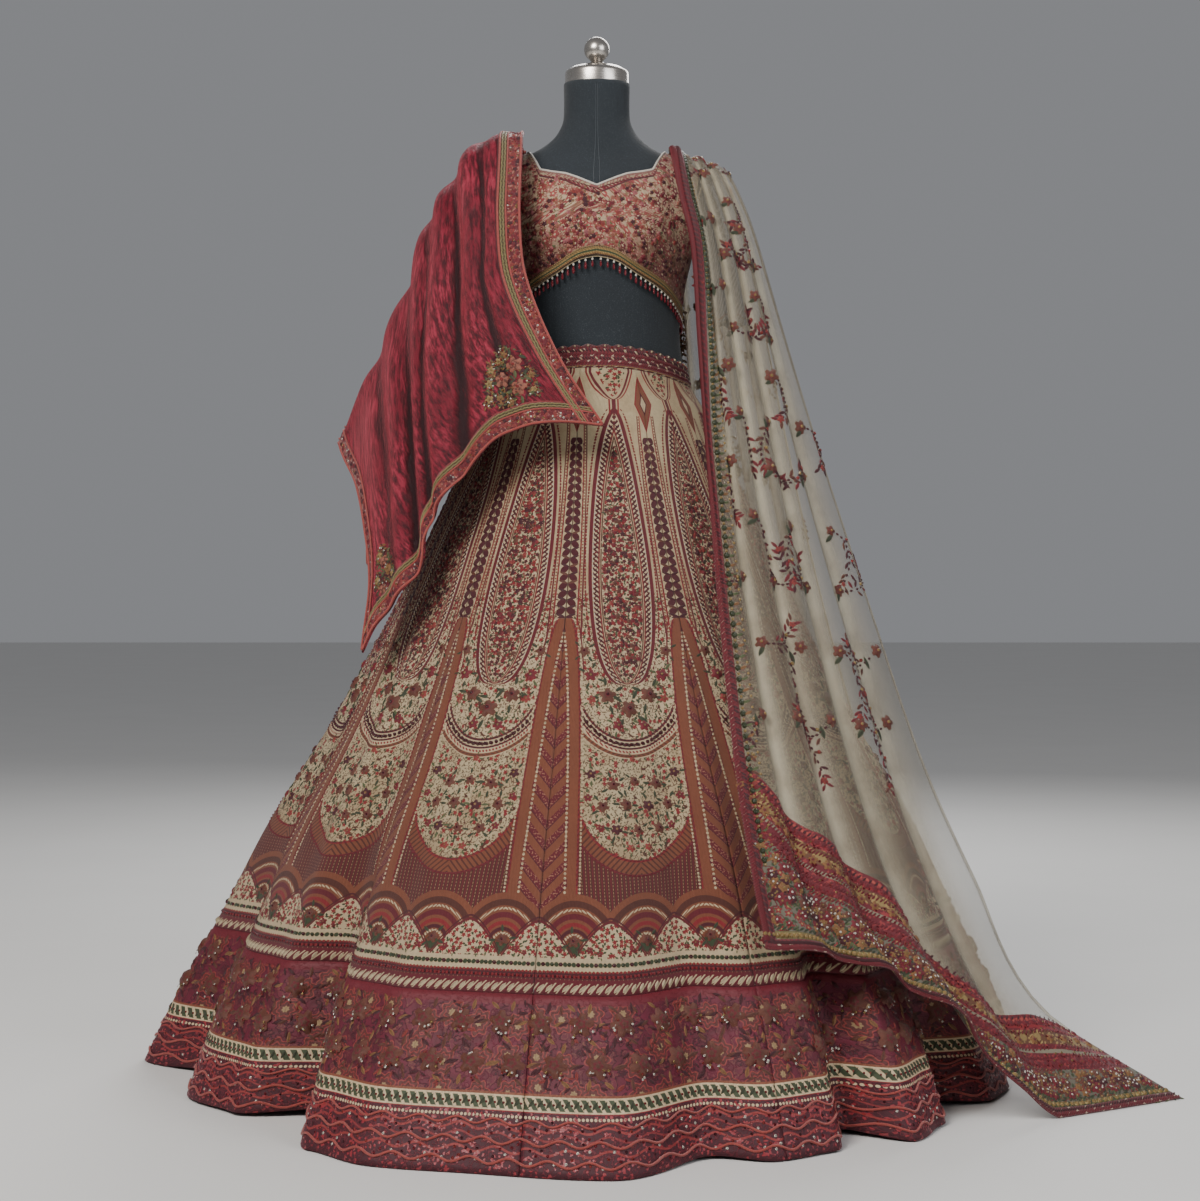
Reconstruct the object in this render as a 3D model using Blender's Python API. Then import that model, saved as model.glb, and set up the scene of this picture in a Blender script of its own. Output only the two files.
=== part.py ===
"""Lehenga choli on a limbless dress form.

A flared skirt of twelve panels with a deep velvet border, a cropped blouse with
a fringe of bead drops, a velvet shawl on one shoulder and a net dupatta on the
other. Metres, +Z up. The origin is on the floor under the middle of the stand,
and the front faces -Y. Angles round the body start at the front and grow
towards +X.
"""
import math

import bmesh
import bpy
from mathutils import Vector

# Gaps and walls
SEAM = 0.0004
LAY = 0.0003
SKIRT_WALL = 0.0022
BORDER_WALL = 0.0028
CHOLI_WALL = 0.0020
SLEEVE_WALL = 0.0012
VELVET_WALL = 0.0020
NET_WALL = 0.0012
TRIM_WALL = 0.0010
BAND_WALL = 0.0030
ON_FORM = 0.0010
CHOLI_ON_FORM = 0.0019

# Dress form: height, half width, half depth
FORM_SIDES = 32
FORM_ROUNDNESS = 2.3
FORM_SECTIONS = (
    (0.800, 0.120, 0.095),
    (0.830, 0.150, 0.108),
    (0.880, 0.165, 0.116),
    (0.930, 0.165, 0.117),
    (0.990, 0.154, 0.114),
    (1.035, 0.1410, 0.1070),
    (1.060, 0.1345, 0.1030),
    (1.095, 0.1285, 0.0985),
    (1.130, 0.1265, 0.0965),
    (1.165, 0.1280, 0.0975),
    (1.200, 0.1340, 0.1010),
    (1.240, 0.1430, 0.1060),
    (1.275, 0.1490, 0.1070),
    (1.310, 0.1580, 0.1020),
    (1.340, 0.1680, 0.0920),
    (1.356, 0.1720, 0.0800),
    (1.366, 0.1600, 0.0740),
    (1.376, 0.1380, 0.0680),
    (1.388, 0.1120, 0.0620),
    (1.400, 0.0880, 0.0580),
    (1.415, 0.0680, 0.0545),
    (1.430, 0.0570, 0.0520),
    (1.447, 0.0510, 0.0505),
    (1.500, 0.0505, 0.0505),
)
BUST_HEIGHT = 1.262
BUST_APART = 0.070
BUST_SWELL = 0.017
BUST_SPREAD = 0.040

CAP_RADIUS = 0.0485
CAP_TOP_RADIUS = 0.0370
CAP_WALL_TOP = 1.520
CAP_TOP = 1.527
FINIAL_COLLAR_RADIUS = 0.014
FINIAL_COLLAR_TOP = 1.537
FINIAL_RADIUS = 0.0196
FINIAL_CENTRE = 1.5545
FINIAL_NECK = 0.45
FINIAL_RINGS = 6
FINIAL_FIRST = -60.0
FINIAL_TURN = 24.5
FINIAL_TIP = (0.15, 0.99)
POLE_RADIUS = 0.015
BASE_RADIUS = 0.16
BASE_HEIGHT = 0.012
BASE_RIM = 0.75
BASE_CHAMFER = 0.3

# Skirt: height, half width, half depth, roundness of the section
SKIRT_SECTIONS = (
    (0.000, 0.6900, 0.6900, 2.00),
    (0.086, 0.6500, 0.6500, 2.00),
    (0.152, 0.6150, 0.6150, 2.00),
    (0.249, 0.5630, 0.5630, 2.00),
    (0.372, 0.5000, 0.5000, 2.00),
    (0.526, 0.4050, 0.4050, 2.00),
    (0.710, 0.3050, 0.3000, 2.00),
    (0.850, 0.2370, 0.2260, 2.00),
    (0.950, 0.1900, 0.1680, 2.10),
    (1.000, 0.1660, 0.1340, 2.25),
    (1.035, 0.1450, 0.1110, 2.30),
    (1.060, 0.1380, 0.1065, 2.30),
    (1.080, 0.1340, 0.1035, 2.30),
)
# Folds of the hem all round: angle in degrees, how far the hem reaches from the axis
HEM_REACH = 0.690
HEM_FOLDS = (
    (-91.0, 0.700),
    (-80.0, 0.596),
    (-66.0, 0.640),
    (-55.0, 0.620),
    (-46.0, 0.535),
    (-34.0, 0.671),
    (-25.0, 0.697),
    (-14.0, 0.688),
    (2.0, 0.706),
    (14.0, 0.618),
    (21.0, 0.656),
    (29.0, 0.646),
    (35.0, 0.575),
    (40.0, 0.662),
    (48.0, 0.636),
    (56.0, 0.565),
    (64.0, 0.630),
    (72.0, 0.634),
    (82.0, 0.570),
    (94.0, 0.665),
    (106.0, 0.590),
    (119.0, 0.668),
    (132.0, 0.600),
    (147.0, 0.680),
    (160.0, 0.612),
    (175.0, 0.690),
    (189.0, 0.605),
    (204.0, 0.684),
    (217.0, 0.596),
    (231.0, 0.676),
    (244.0, 0.590),
    (256.0, 0.672),
)
FOLD_TOP = 0.80
FOLD_FADE = 1.4
VALLEY_DEPTH = 0.14
VALLEY_LIFT = 0.010
PANELS = 12
PANEL_START = -8.0
PANEL_COLUMNS = 8
KALI_ROWS = 8
BORDER_ROWS = 2
BORDER_TOP = 0.210

# Waistband, highest at the front and lower from the sides round the back
BAND_TOP = 1.0946
BAND_BOTTOM = 1.0600
BAND_DIP = 0.025
BAND_COLUMNS = 36

# Blouse, half of each panel: place across, how far out and how high its top edge is.
# A height of zero stands for the crest of the shoulder.
CHOLI_FRONT_TOP = (
    (0.00, 0.001, 1.331),
    (0.20, 0.022, 1.340),
    (0.38, 0.046, 1.349),
    (0.52, 0.068, 1.353),
    (0.62, 0.084, 1.357),
    (0.66, 0.093, 1.3750),
    (0.70, 0.1005, 1.3880),
    (0.74, 0.104, 0.0),
    (0.87, 0.130, 0.0),
    (1.00, 0.156, 0.0),
)
CHOLI_BACK_TOP = (
    (0.00, 0.001, 1.322),
    (0.20, 0.022, 1.323),
    (0.38, 0.046, 1.330),
    (0.52, 0.068, 1.342),
    (0.62, 0.084, 1.357),
    (0.66, 0.093, 1.3750),
    (0.70, 0.1005, 1.3880),
    (0.74, 0.104, 0.0),
    (0.87, 0.130, 0.0),
    (1.00, 0.156, 0.0),
)
# Where the grid lines of half a blouse panel lie, from the centre to the side
CHOLI_LINES = (0.0, 0.18, 0.36, 0.52, 0.62, 0.66, 0.70, 0.74, 0.80, 0.87, 0.93, 0.97, 1.0)
# Grid rows up a blouse panel above its hem band: share of its height, and how far out
# the armhole is there. A reach of zero stands for the side seam.
CHOLI_RISE = (
    (0.000, 0.0),
    (0.066, 0.0),
    (0.200, 0.0),
    (0.370, 0.0),
    (0.535, 0.0),
    (0.610, 0.1485),
    (0.690, 0.1450),
    (0.820, 0.1480),
    (0.955, 0.1525),
    (0.993, 0.1545),
    (1.000, 0.1560),
)
CREST_FROM = 0.74
CREST_RANGE = (1.356, 1.447)
ARMHOLE_ROWS = (1.0, 0.955, 0.82, 0.69, 0.535)
# Hem of the blouse front: place across, height
CHOLI_HEM = (
    (0.00, 1.2275),
    (0.12, 1.2210),
    (0.30, 1.2000),
    (0.58, 1.1745),
    (0.80, 1.1520),
    (1.00, 1.1400),
)
CHOLI_BACK_HEM = 1.1400
CHOLI_BAND = 0.015
DROPS = 24
STRIP_HEIGHT = 0.0020
STRIP_GAP = 0.0011
DROP_LENGTH = 0.016
DROP_SPREAD = 1.15
STRIP_LIFT = 0.0003
STRIP_WALL = 0.0015
FACES_DOWN = -0.7

# Sleeves: limp and open, hanging from the armholes
SLEEVE_ROWS = 9
SLEEVE_END = 1.134
SLEEVE_OUT = 0.197
SLEEVE_HALF_WIDTH = 0.030
SLEEVE_HALF_DEPTH = 0.050
SLEEVE_STEP = 0.0016
SLEEVE_OVER_FORM = 0.0058
# The sleeve's curve: share of the way out and of the depth, how far it drops and lifts
SLEEVE_BEND_OUT = 0.62
SLEEVE_BEND_DEPTH = 0.55
SLEEVE_BEND_DROP = 0.060
SLEEVE_BEND_LIFT = 0.033

# Draped cloths, down from the shoulder: place down the cloth, then five points
# across it, from the long edge near the neck to the outer edge
SHAWL_FRONT = (
    (0.00, (-0.107, 0.000, 1.391), (-0.178, 0.000, 1.388), (-0.238, 0.000, 1.285),
     (-0.305, 0.000, 1.105), (-0.377, 0.000, 0.953)),
    (0.12, (-0.103, -0.085, 1.380), (-0.172, -0.080, 1.358), (-0.234, -0.068, 1.258),
     (-0.300, -0.052, 1.085), (-0.360, -0.040, 0.920)),
    (0.30, (-0.106, -0.142, 1.275), (-0.165, -0.135, 1.258), (-0.230, -0.120, 1.180),
     (-0.288, -0.102, 1.035), (-0.335, -0.090, 0.876)),
    (0.50, (-0.098, -0.165, 1.180), (-0.160, -0.160, 1.160), (-0.228, -0.150, 1.080),
     (-0.275, -0.142, 0.955), (-0.318, -0.135, 0.805)),
    (0.75, (-0.052, -0.192, 1.060), (-0.138, -0.190, 1.050), (-0.218, -0.184, 0.968),
     (-0.262, -0.186, 0.850), (-0.308, -0.174, 0.716)),
    (1.00, (0.012, -0.215, 0.958), (-0.118, -0.214, 0.950), (-0.205, -0.212, 0.862),
     (-0.250, -0.224, 0.746), (-0.318, -0.205, 0.630)),
)
SHAWL_BACK = (
    (0.00, (-0.107, 0.000, 1.391), (-0.178, 0.000, 1.388), (-0.238, 0.000, 1.285),
     (-0.305, 0.000, 1.105), (-0.377, 0.000, 0.953)),
    (0.20, (-0.104, 0.095, 1.365), (-0.168, 0.092, 1.345), (-0.231, 0.080, 1.250),
     (-0.298, 0.075, 1.075), (-0.360, 0.080, 0.925)),
    (0.60, (-0.106, 0.150, 1.200), (-0.165, 0.148, 1.180), (-0.232, 0.140, 1.090),
     (-0.295, 0.135, 0.960), (-0.345, 0.130, 0.835)),
    (1.00, (-0.100, 0.195, 0.975), (-0.170, 0.200, 0.955), (-0.240, 0.195, 0.905),
     (-0.300, 0.185, 0.835), (-0.350, 0.170, 0.755)),
)
NET_FRONT = (
    (0.00, (0.108, 0.000, 1.391), (0.126, 0.000, 1.386), (0.148, 0.000, 1.386),
     (0.170, 0.000, 1.380), (0.192, 0.000, 1.372)),
    (0.06, (0.112, -0.075, 1.387), (0.134, -0.074, 1.370), (0.158, -0.068, 1.362),
     (0.184, -0.056, 1.352), (0.208, -0.030, 1.343)),
    (0.13, (0.125, -0.128, 1.310), (0.148, -0.122, 1.307), (0.176, -0.108, 1.300),
     (0.206, -0.086, 1.290), (0.234, -0.045, 1.278)),
    (0.20, (0.140, -0.158, 1.235), (0.164, -0.150, 1.232), (0.194, -0.133, 1.224),
     (0.226, -0.105, 1.214), (0.256, -0.052, 1.205)),
    (0.32, (0.149, -0.180, 1.095), (0.180, -0.175, 1.092), (0.216, -0.158, 1.085),
     (0.256, -0.124, 1.075), (0.296, -0.060, 1.070)),
    (0.45, (0.160, -0.208, 0.930), (0.198, -0.210, 0.926), (0.244, -0.192, 0.915),
     (0.294, -0.148, 0.905), (0.345, -0.070, 0.910)),
    (0.60, (0.171, -0.305, 0.715), (0.224, -0.290, 0.712), (0.284, -0.255, 0.702),
     (0.348, -0.190, 0.692), (0.415, -0.090, 0.690)),
    (0.75, (0.188, -0.430, 0.490), (0.262, -0.400, 0.480), (0.336, -0.345, 0.466),
     (0.412, -0.255, 0.455), (0.487, -0.120, 0.470)),
    (0.87, (0.207, -0.503, 0.350), (0.298, -0.472, 0.330), (0.388, -0.410, 0.300),
     (0.475, -0.305, 0.275), (0.560, -0.150, 0.300)),
    (0.95, (0.218, -0.528, 0.290), (0.325, -0.495, 0.262), (0.432, -0.445, 0.215),
     (0.545, -0.345, 0.130), (0.650, -0.190, 0.120)),
    (1.00, (0.222, -0.540, 0.262), (0.350, -0.500, 0.232), (0.470, -0.455, 0.160),
     (0.640, -0.372, 0.000), (0.838, -0.254, 0.000)),
)
NET_BACK = (
    (0.00, (0.108, 0.000, 1.391), (0.126, 0.000, 1.386), (0.148, 0.000, 1.386),
     (0.170, 0.000, 1.380), (0.192, 0.000, 1.372)),
    (0.10, (0.108, 0.082, 1.372), (0.132, 0.080, 1.366), (0.158, 0.074, 1.358),
     (0.184, 0.060, 1.348), (0.208, 0.036, 1.340)),
    (0.30, (0.115, 0.140, 1.230), (0.144, 0.137, 1.227), (0.178, 0.126, 1.220),
     (0.214, 0.104, 1.210), (0.250, 0.070, 1.200)),
    (0.50, (0.125, 0.175, 1.010), (0.164, 0.175, 1.007), (0.208, 0.167, 0.998),
     (0.254, 0.146, 0.985), (0.300, 0.110, 0.970)),
    (0.70, (0.140, 0.285, 0.780), (0.192, 0.277, 0.777), (0.246, 0.258, 0.768),
     (0.302, 0.227, 0.758), (0.355, 0.185, 0.750)),
    (0.85, (0.160, 0.400, 0.560), (0.222, 0.388, 0.556), (0.288, 0.358, 0.548),
     (0.356, 0.314, 0.538), (0.420, 0.260, 0.530)),
    (1.00, (0.180, 0.512, 0.330), (0.262, 0.492, 0.326), (0.346, 0.455, 0.320),
     (0.425, 0.400, 0.312), (0.500, 0.335, 0.305)),
)
# How each cloth is gathered and trimmed
SHAWL = {"pleats": 3.0, "shoulder_wave": 0.002, "hem_wave": 0.009, "columns": 14, "rows": 12,
         "edge": 0.038, "wall": VELVET_WALL}
NET = {"pleats": 5.0, "shoulder_wave": 0.003, "hem_wave": 0.012, "columns": 21, "rows": 13,
       "edge": 0.040, "wall": NET_WALL}
HEM_ROW = 0.965
GROUND_BLEND = 0.12
QUARTER = 0.25
INNER_EDGE = 0.12
OUTER_EDGE = 0.06
TRIM_PARTED = 0.016
ROW_POWER = 1.35
BODY_CLEAR = 0.0079
# The cloths lie closest to the form on the shoulder's crest: how deep and how far out that is
CREST_CLEAR = 0.0044
CREST_DEPTH = 0.010
CREST_END = 0.125
CREST_BLEND = 0.020
SKIRT_CLEAR = 0.0060
FLOOR_CLEAR = 0.0004
TINY = 1e-4
# How far apart the places lie that a surface's slope is taken between
REACH = 0.01
TRIM_REACH = 0.012
ANGLE_REACH = 0.4

# Materials: red, green, blue, roughness, metallic
MATERIALS = {
    "form_jersey": (0.035, 0.042, 0.050, 0.90, 0.0),
    "steel": (0.55, 0.52, 0.48, 0.28, 1.0),
    "choli_cloth": (0.42, 0.16, 0.14, 0.75, 0.0),
    "gold_trim": (0.30, 0.18, 0.06, 0.50, 0.4),
    "beads": (0.30, 0.04, 0.05, 0.20, 0.0),
    "sleeve_net": (0.10, 0.11, 0.12, 0.85, 0.0),
    "raw_silk": (0.62, 0.50, 0.34, 0.70, 0.0),
    "rope_embroidery": (0.26, 0.03, 0.04, 0.70, 0.0),
    "border_velvet": (0.17, 0.012, 0.030, 0.80, 0.0),
    "shawl_velvet": (0.26, 0.012, 0.030, 0.70, 0.0),
    "cord_border": (0.28, 0.05, 0.04, 0.65, 0.0),
    "cream_net": (0.66, 0.58, 0.44, 0.80, 0.0),
}


def clear_scene():
    for item in list(bpy.data.objects):
        bpy.data.objects.remove(item)


def make_materials():
    made = {}
    for name, (red, green, blue, roughness, metallic) in MATERIALS.items():
        material = bpy.data.materials.new(name)
        material.use_nodes = True
        shader = material.node_tree.nodes["Principled BSDF"]
        shader.inputs["Base Color"].default_value = (red, green, blue, 1.0)
        shader.inputs["Roughness"].default_value = roughness
        shader.inputs["Metallic"].default_value = metallic
        made[name] = material
    return made


# Smooth curves through short tables
def through(rows, key):
    """The table's columns at key, on a smooth curve through its rows."""
    last = len(rows) - 1
    index = 0
    while index < last - 1 and key > rows[index + 1][0]:
        index += 1
    low = rows[index]
    high = rows[index + 1]
    before = rows[max(index - 1, 0)]
    after = rows[min(index + 2, last)]
    span = high[0] - low[0]
    part = min(max((key - low[0]) / span, 0.0), 1.0)
    rise = part * part * (3.0 - 2.0 * part)
    leave = part * (1.0 - part) * (1.0 - part)
    arrive = part * part * (part - 1.0)
    values = []
    for start, end, earlier, later in zip(low[1:], high[1:], before[1:], after[1:]):
        slope_start = (end - earlier) * (span / (high[0] - before[0]))
        slope_end = (later - start) * (span / (after[0] - low[0]))
        values.append(start * (1.0 - rise) + end * rise + slope_start * leave + slope_end * arrive)
    return values


def straight(rows, key):
    """The table's second column at key, on straight lines."""
    for low, high in zip(rows, rows[1:]):
        if key <= high[0]:
            part = (key - low[0]) / (high[0] - low[0])
            return low[1] + (high[1] - low[1]) * part
    return rows[-1][1]


def signed_power(value, power):
    return math.copysign(abs(value) ** power, value)


# Dress form
def bust(x, z):
    across = math.exp(-((abs(x) - BUST_APART) / BUST_SPREAD) ** 2)
    return BUST_SWELL * across * math.exp(-((z - BUST_HEIGHT) / BUST_SPREAD) ** 2)


def body_depth(x, z, facing):
    """How far the form lies before (-1) or behind (+1) the axis at x and z."""
    half_width, half_depth = through(FORM_SECTIONS, z)
    rest = max(1.0 - min(abs(x) / half_width, 1.0) ** FORM_ROUNDNESS, 0.0)
    depth = half_depth * rest ** (1.0 / FORM_ROUNDNESS)
    if facing < 0:
        depth += bust(x, z) * rest
    return facing * depth


def body_level(point):
    """Zero on the form, below zero inside it."""
    half_width, half_depth = through(FORM_SECTIONS, point.z)
    across = (abs(point.x) / half_width) ** FORM_ROUNDNESS
    if point.y < 0:
        half_depth += bust(point.x, point.z) * max(1.0 - across, 0.0)
    total = across + (abs(point.y) / half_depth) ** FORM_ROUNDNESS
    return total ** (1.0 / FORM_ROUNDNESS) - 1.0


def body_slope(point):
    level = body_level(point)
    slope = Vector((
        body_level(point + Vector((TINY, 0, 0))) - level,
        body_level(point + Vector((0, TINY, 0))) - level,
        body_level(point + Vector((0, 0, TINY))) - level,
    ))
    return slope / TINY


def off_body(point, out):
    """A point of the form moved straight out from it."""
    slope = body_slope(point)
    if abs(point.y) < TINY:
        slope.y = 0.0
    return point + slope.normalized() * out


def clear_of_body(point, clearance):
    for _ in range(3):
        slope = body_slope(point)
        gap = body_level(point) / max(slope.length, TINY)
        if gap < clearance:
            point = point + slope.normalized() * (clearance - gap)
    return point


def around_body(angle, z, out):
    half_width, half_depth = through(FORM_SECTIONS, z)
    power = 2.0 / FORM_ROUNDNESS
    x = half_width * signed_power(math.sin(angle), power)
    y = -half_depth * signed_power(math.cos(angle), power)
    if y < 0:
        y -= bust(x, z) * (1.0 - min(abs(x) / half_width, 1.0) ** FORM_ROUNDNESS)
    point = Vector((x, y, z))
    return off_body(point, out) if out else point


# Skirt
def hem_reach(angle):
    """How far the hem reaches from the axis at an angle in degrees."""
    first = HEM_FOLDS[0][0]
    turn = (angle - first) % 360.0 + first
    closed = HEM_FOLDS + ((first + 360.0, HEM_FOLDS[0][1]),)
    for (low, reach_low), (high, reach_high) in zip(closed, closed[1:]):
        if turn <= high:
            part = (turn - low) / (high - low)
            rise = part * part * (3.0 - 2.0 * part)
            return reach_low + (reach_high - reach_low) * rise
    return closed[-1][1]


def hem_height(angle):
    valley = max((HEM_REACH - hem_reach(angle)) / VALLEY_DEPTH, 0.0)
    return VALLEY_LIFT * valley


def skirt_line(angle, z):
    """The skirt's outer face at an angle in degrees, and at a height."""
    half_width, half_depth, roundness = through(SKIRT_SECTIONS, z)
    fold = 0.0
    if z < FOLD_TOP:
        fold = (hem_reach(angle) - HEM_REACH) * (1.0 - z / FOLD_TOP) ** FOLD_FADE
    turn = math.radians(angle)
    x = (half_width + fold) * signed_power(math.sin(turn), 2.0 / roundness)
    y = -(half_depth + fold) * signed_power(math.cos(turn), 2.0 / roundness)
    return Vector((x, y, z))


def skirt_point(angle, z, out):
    """The skirt's face moved level, straight away from its own line."""
    along = skirt_line(angle + ANGLE_REACH, z) - skirt_line(angle - ANGLE_REACH, z)
    away = Vector((along.y, -along.x, 0.0)).normalized()
    return skirt_line(angle, z) + away * out


def clear_of_skirt(point, clearance):
    if point.z > BAND_BOTTOM:
        return point
    angle = math.degrees(math.atan2(point.x, -point.y))
    reach = skirt_line(angle, max(point.z, 0.0)).to_2d().length + clearance
    flat = point.to_2d()
    if flat.length < reach:
        flat = flat * (reach / flat.length)
    return Vector((flat.x, flat.y, point.z))


def band_drop(angle):
    side = min(abs((angle + 180.0) % 360.0 - 180.0), 90.0)
    return BAND_DIP * 0.5 * (1.0 - math.cos(math.radians(2.0 * side)))


# Walls of cloth
def slab(name, columns, rows, layer, inner, outer, material, wrap=False):
    """A wall between two layers of one surface: layer(across, down, out) gives its points."""
    mesh = bmesh.new()
    bmesh.ops.create_grid(mesh, x_segments=columns, y_segments=rows, size=0.5)
    bmesh.ops.triangulate(mesh, faces=mesh.faces[:], quad_method="FIXED")
    lifted = bmesh.ops.extrude_face_region(mesh, geom=mesh.faces[:])["geom"]
    upper = {item for item in lifted if isinstance(item, bmesh.types.BMVert)}
    if wrap:
        walls = []
        for face in mesh.faces:
            places = [vert.co.x for vert in face.verts]
            if max(places) - min(places) < TINY:
                walls.append(face)
        bmesh.ops.delete(mesh, geom=walls, context="FACES_ONLY")
    for vert in mesh.verts:
        across = vert.co.x + 0.5
        down = vert.co.y + 0.5
        vert.co = layer(across, down, outer if vert in upper else inner)
    if wrap:
        bmesh.ops.remove_doubles(mesh, verts=mesh.verts[:], dist=TINY / 10)
    return finish(name, mesh, material)


def turned(name, sides, rings, point, material):
    """A solid through rings: point(angle, ring) gives its points."""
    mesh = bmesh.new()
    bmesh.ops.create_circle(mesh, cap_ends=True, segments=sides, radius=1.0)
    cap = mesh.faces[:]
    verts = list(cap[0].verts)
    angles = [math.atan2(vert.co.x, -vert.co.y) for vert in verts]
    for ring in rings:
        if ring is not rings[0]:
            covered = cap if ring is not rings[1] else []
            grown = bmesh.ops.extrude_face_region(mesh, geom=cap)["geom"]
            cap = [item for item in grown if isinstance(item, bmesh.types.BMFace)]
            verts = list(cap[0].verts)
            bmesh.ops.delete(mesh, geom=covered, context="FACES_ONLY")
        for vert, angle in match_angles(verts, angles, ring is rings[0]):
            vert.co = point(angle, ring)
    return finish(name, mesh, material)


def match_angles(verts, angles, first):
    """Each vertex of a ring with its angle: a new ring lies on the last one until it is placed."""
    if first:
        return list(zip(verts, angles))
    return [(vert, math.atan2(vert.co.x, -vert.co.y)) for vert in verts]


def face_outwards(mesh):
    bmesh.ops.recalc_face_normals(mesh, faces=mesh.faces[:])
    if mesh.calc_volume(signed=True) < 0.0:
        bmesh.ops.reverse_faces(mesh, faces=mesh.faces[:])


def finish(name, mesh, material):
    face_outwards(mesh)
    data = bpy.data.meshes.new(name)
    mesh.to_mesh(data)
    mesh.free()
    data.materials.append(material)
    data.shade_smooth()
    data.set_sharp_from_angle(angle=math.radians(40))
    item = bpy.data.objects.new(name, data)
    bpy.context.collection.objects.link(item)
    return item


# Form and stand
def build_form(made):
    rings = [row[0] for row in FORM_SECTIONS]
    torso = made["form_jersey"]
    turned("form_torso", FORM_SIDES, rings, lambda angle, z: around_body(angle, z, 0.0), torso)
    top = FORM_SECTIONS[-1][0] + LAY
    profile = ((CAP_RADIUS, top), (CAP_RADIUS, CAP_WALL_TOP), (CAP_TOP_RADIUS, CAP_TOP))
    lathe("form_cap", 32, profile, made["steel"])
    profile = [(FINIAL_COLLAR_RADIUS, CAP_TOP + LAY), (FINIAL_RADIUS * FINIAL_NECK, FINIAL_COLLAR_TOP)]
    for step in range(FINIAL_RINGS):
        turn = math.radians(FINIAL_FIRST + FINIAL_TURN * step)
        profile.append((FINIAL_RADIUS * math.cos(turn), FINIAL_CENTRE + FINIAL_RADIUS * math.sin(turn)))
    radius, height = FINIAL_TIP
    profile.append((FINIAL_RADIUS * radius, FINIAL_CENTRE + FINIAL_RADIUS * height))
    lathe("form_finial", 20, profile, made["steel"])
    pole_top = FORM_SECTIONS[0][0] - LAY
    lathe("form_pole", 16, ((POLE_RADIUS, BASE_HEIGHT + LAY), (POLE_RADIUS, pole_top)), made["steel"])
    rim = BASE_HEIGHT * BASE_RIM
    top = BASE_RADIUS - BASE_HEIGHT * BASE_CHAMFER
    profile = ((BASE_RADIUS, 0.0), (BASE_RADIUS, rim), (top, BASE_HEIGHT))
    lathe("form_base", 36, profile, made["steel"])


def lathe(name, sides, profile, material):
    def point(angle, ring):
        radius, z = ring
        return Vector((radius * math.sin(angle), -radius * math.cos(angle), z))
    return turned(name, sides, list(profile), point, material)


# Blouse
def crest_height(x):
    """Height of the shoulder's crest at a distance from the axis."""
    low, high = CREST_RANGE
    for _ in range(30):
        middle = (low + high) / 2
        if through(FORM_SECTIONS, middle)[0] > x:
            low = middle
        else:
            high = middle
    return low


def choli_top(table, place):
    """How far out and how high a blouse panel's top edge is."""
    reach = straight([(row[0], row[1]) for row in table], place)
    height = straight([(row[0], row[2]) for row in table], place)
    if place >= CREST_FROM - TINY:
        height = crest_height(reach)
    return reach, height


def choli_edge(table, hem, share):
    """How far out a blouse panel's side edge is: the side seam, then the armhole."""
    high = choli_top(table, 1.0)[1]
    z = hem(1.0) + (high - hem(1.0)) * share
    if share < ARMHOLE_ROWS[-1] + TINY:
        return through(FORM_SECTIONS, z)[0]
    seam_top = through(FORM_SECTIONS, hem(1.0) + (high - hem(1.0)) * ARMHOLE_ROWS[-1])[0]
    armhole = [(rise, reach) for rise, reach in CHOLI_RISE if reach]
    return straight([(ARMHOLE_ROWS[-1], seam_top)] + armhole, share)


def choli_line(table, hem, place, share, facing):
    """A point of the form under a blouse panel: place across its half, share up from its hem."""
    reach, high = choli_top(table, place)
    low = hem(place)
    first = CHOLI_RISE[1][0]
    band = CHOLI_BAND / (high - low)
    if share <= first:
        lift = band * share / first
    else:
        lift = band + (1.0 - band) * (share - first) / (1.0 - first)
    z = low + (high - low) * lift
    edge = choli_edge(table, hem, share)
    hem_part = math.sin(math.radians(90.0 * place)) ** (2.0 / FORM_ROUNDNESS)
    top_part = reach / table[-1][1]
    x = min(edge * (hem_part + (top_part - hem_part) * share), through(FORM_SECTIONS, z)[0])
    if place > 1.0 - TINY and share < ARMHOLE_ROWS[-1] + TINY:
        return Vector((through(FORM_SECTIONS, z)[0], 0.0, z))
    return Vector((x, body_depth(x, z, facing), z))


def choli_hem(place):
    return through(CHOLI_HEM, place)[0]


def choli_back_hem(place):
    return CHOLI_BACK_HEM


def choli_layer(table, hem, facing, rows):
    """Layer of a blouse panel over its first rows."""
    lines = [(index / (len(CHOLI_LINES) - 1), line) for index, line in enumerate(CHOLI_LINES)]
    rises = [(index, rise) for index, (rise, _) in enumerate(CHOLI_RISE)]

    def layer(across, down, out):
        side = -1.0 if across < 0.5 else 1.0
        place = straight(lines, abs(across - 0.5) * 2.0)
        point = choli_line(table, hem, place, straight(rises, down * rows), facing)
        point = off_body(point, out)
        return Vector((side * point.x, point.y + facing * SEAM / 2, point.z))
    return layer


def build_choli(made):
    columns = 2 * (len(CHOLI_LINES) - 1)
    inner = CHOLI_ON_FORM
    outer = inner + CHOLI_WALL
    for side, table, hem, facing in (
        ("front", CHOLI_FRONT_TOP, choli_hem, -1.0),
        ("back", CHOLI_BACK_TOP, choli_back_hem, 1.0),
    ):
        rows = len(CHOLI_RISE) - 1
        layer = choli_layer(table, hem, facing, rows)
        slab("choli_" + side, columns, rows, layer, inner, outer, made["choli_cloth"])
        band = choli_layer(table, hem, facing, 1)
        trim = outer + LAY
        slab("choli_hem_band_" + side, columns, 1, band, trim, trim + TRIM_WALL, made["gold_trim"])
        build_fringe("choli_fringe_" + side, hem, facing, made["beads"])


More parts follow.
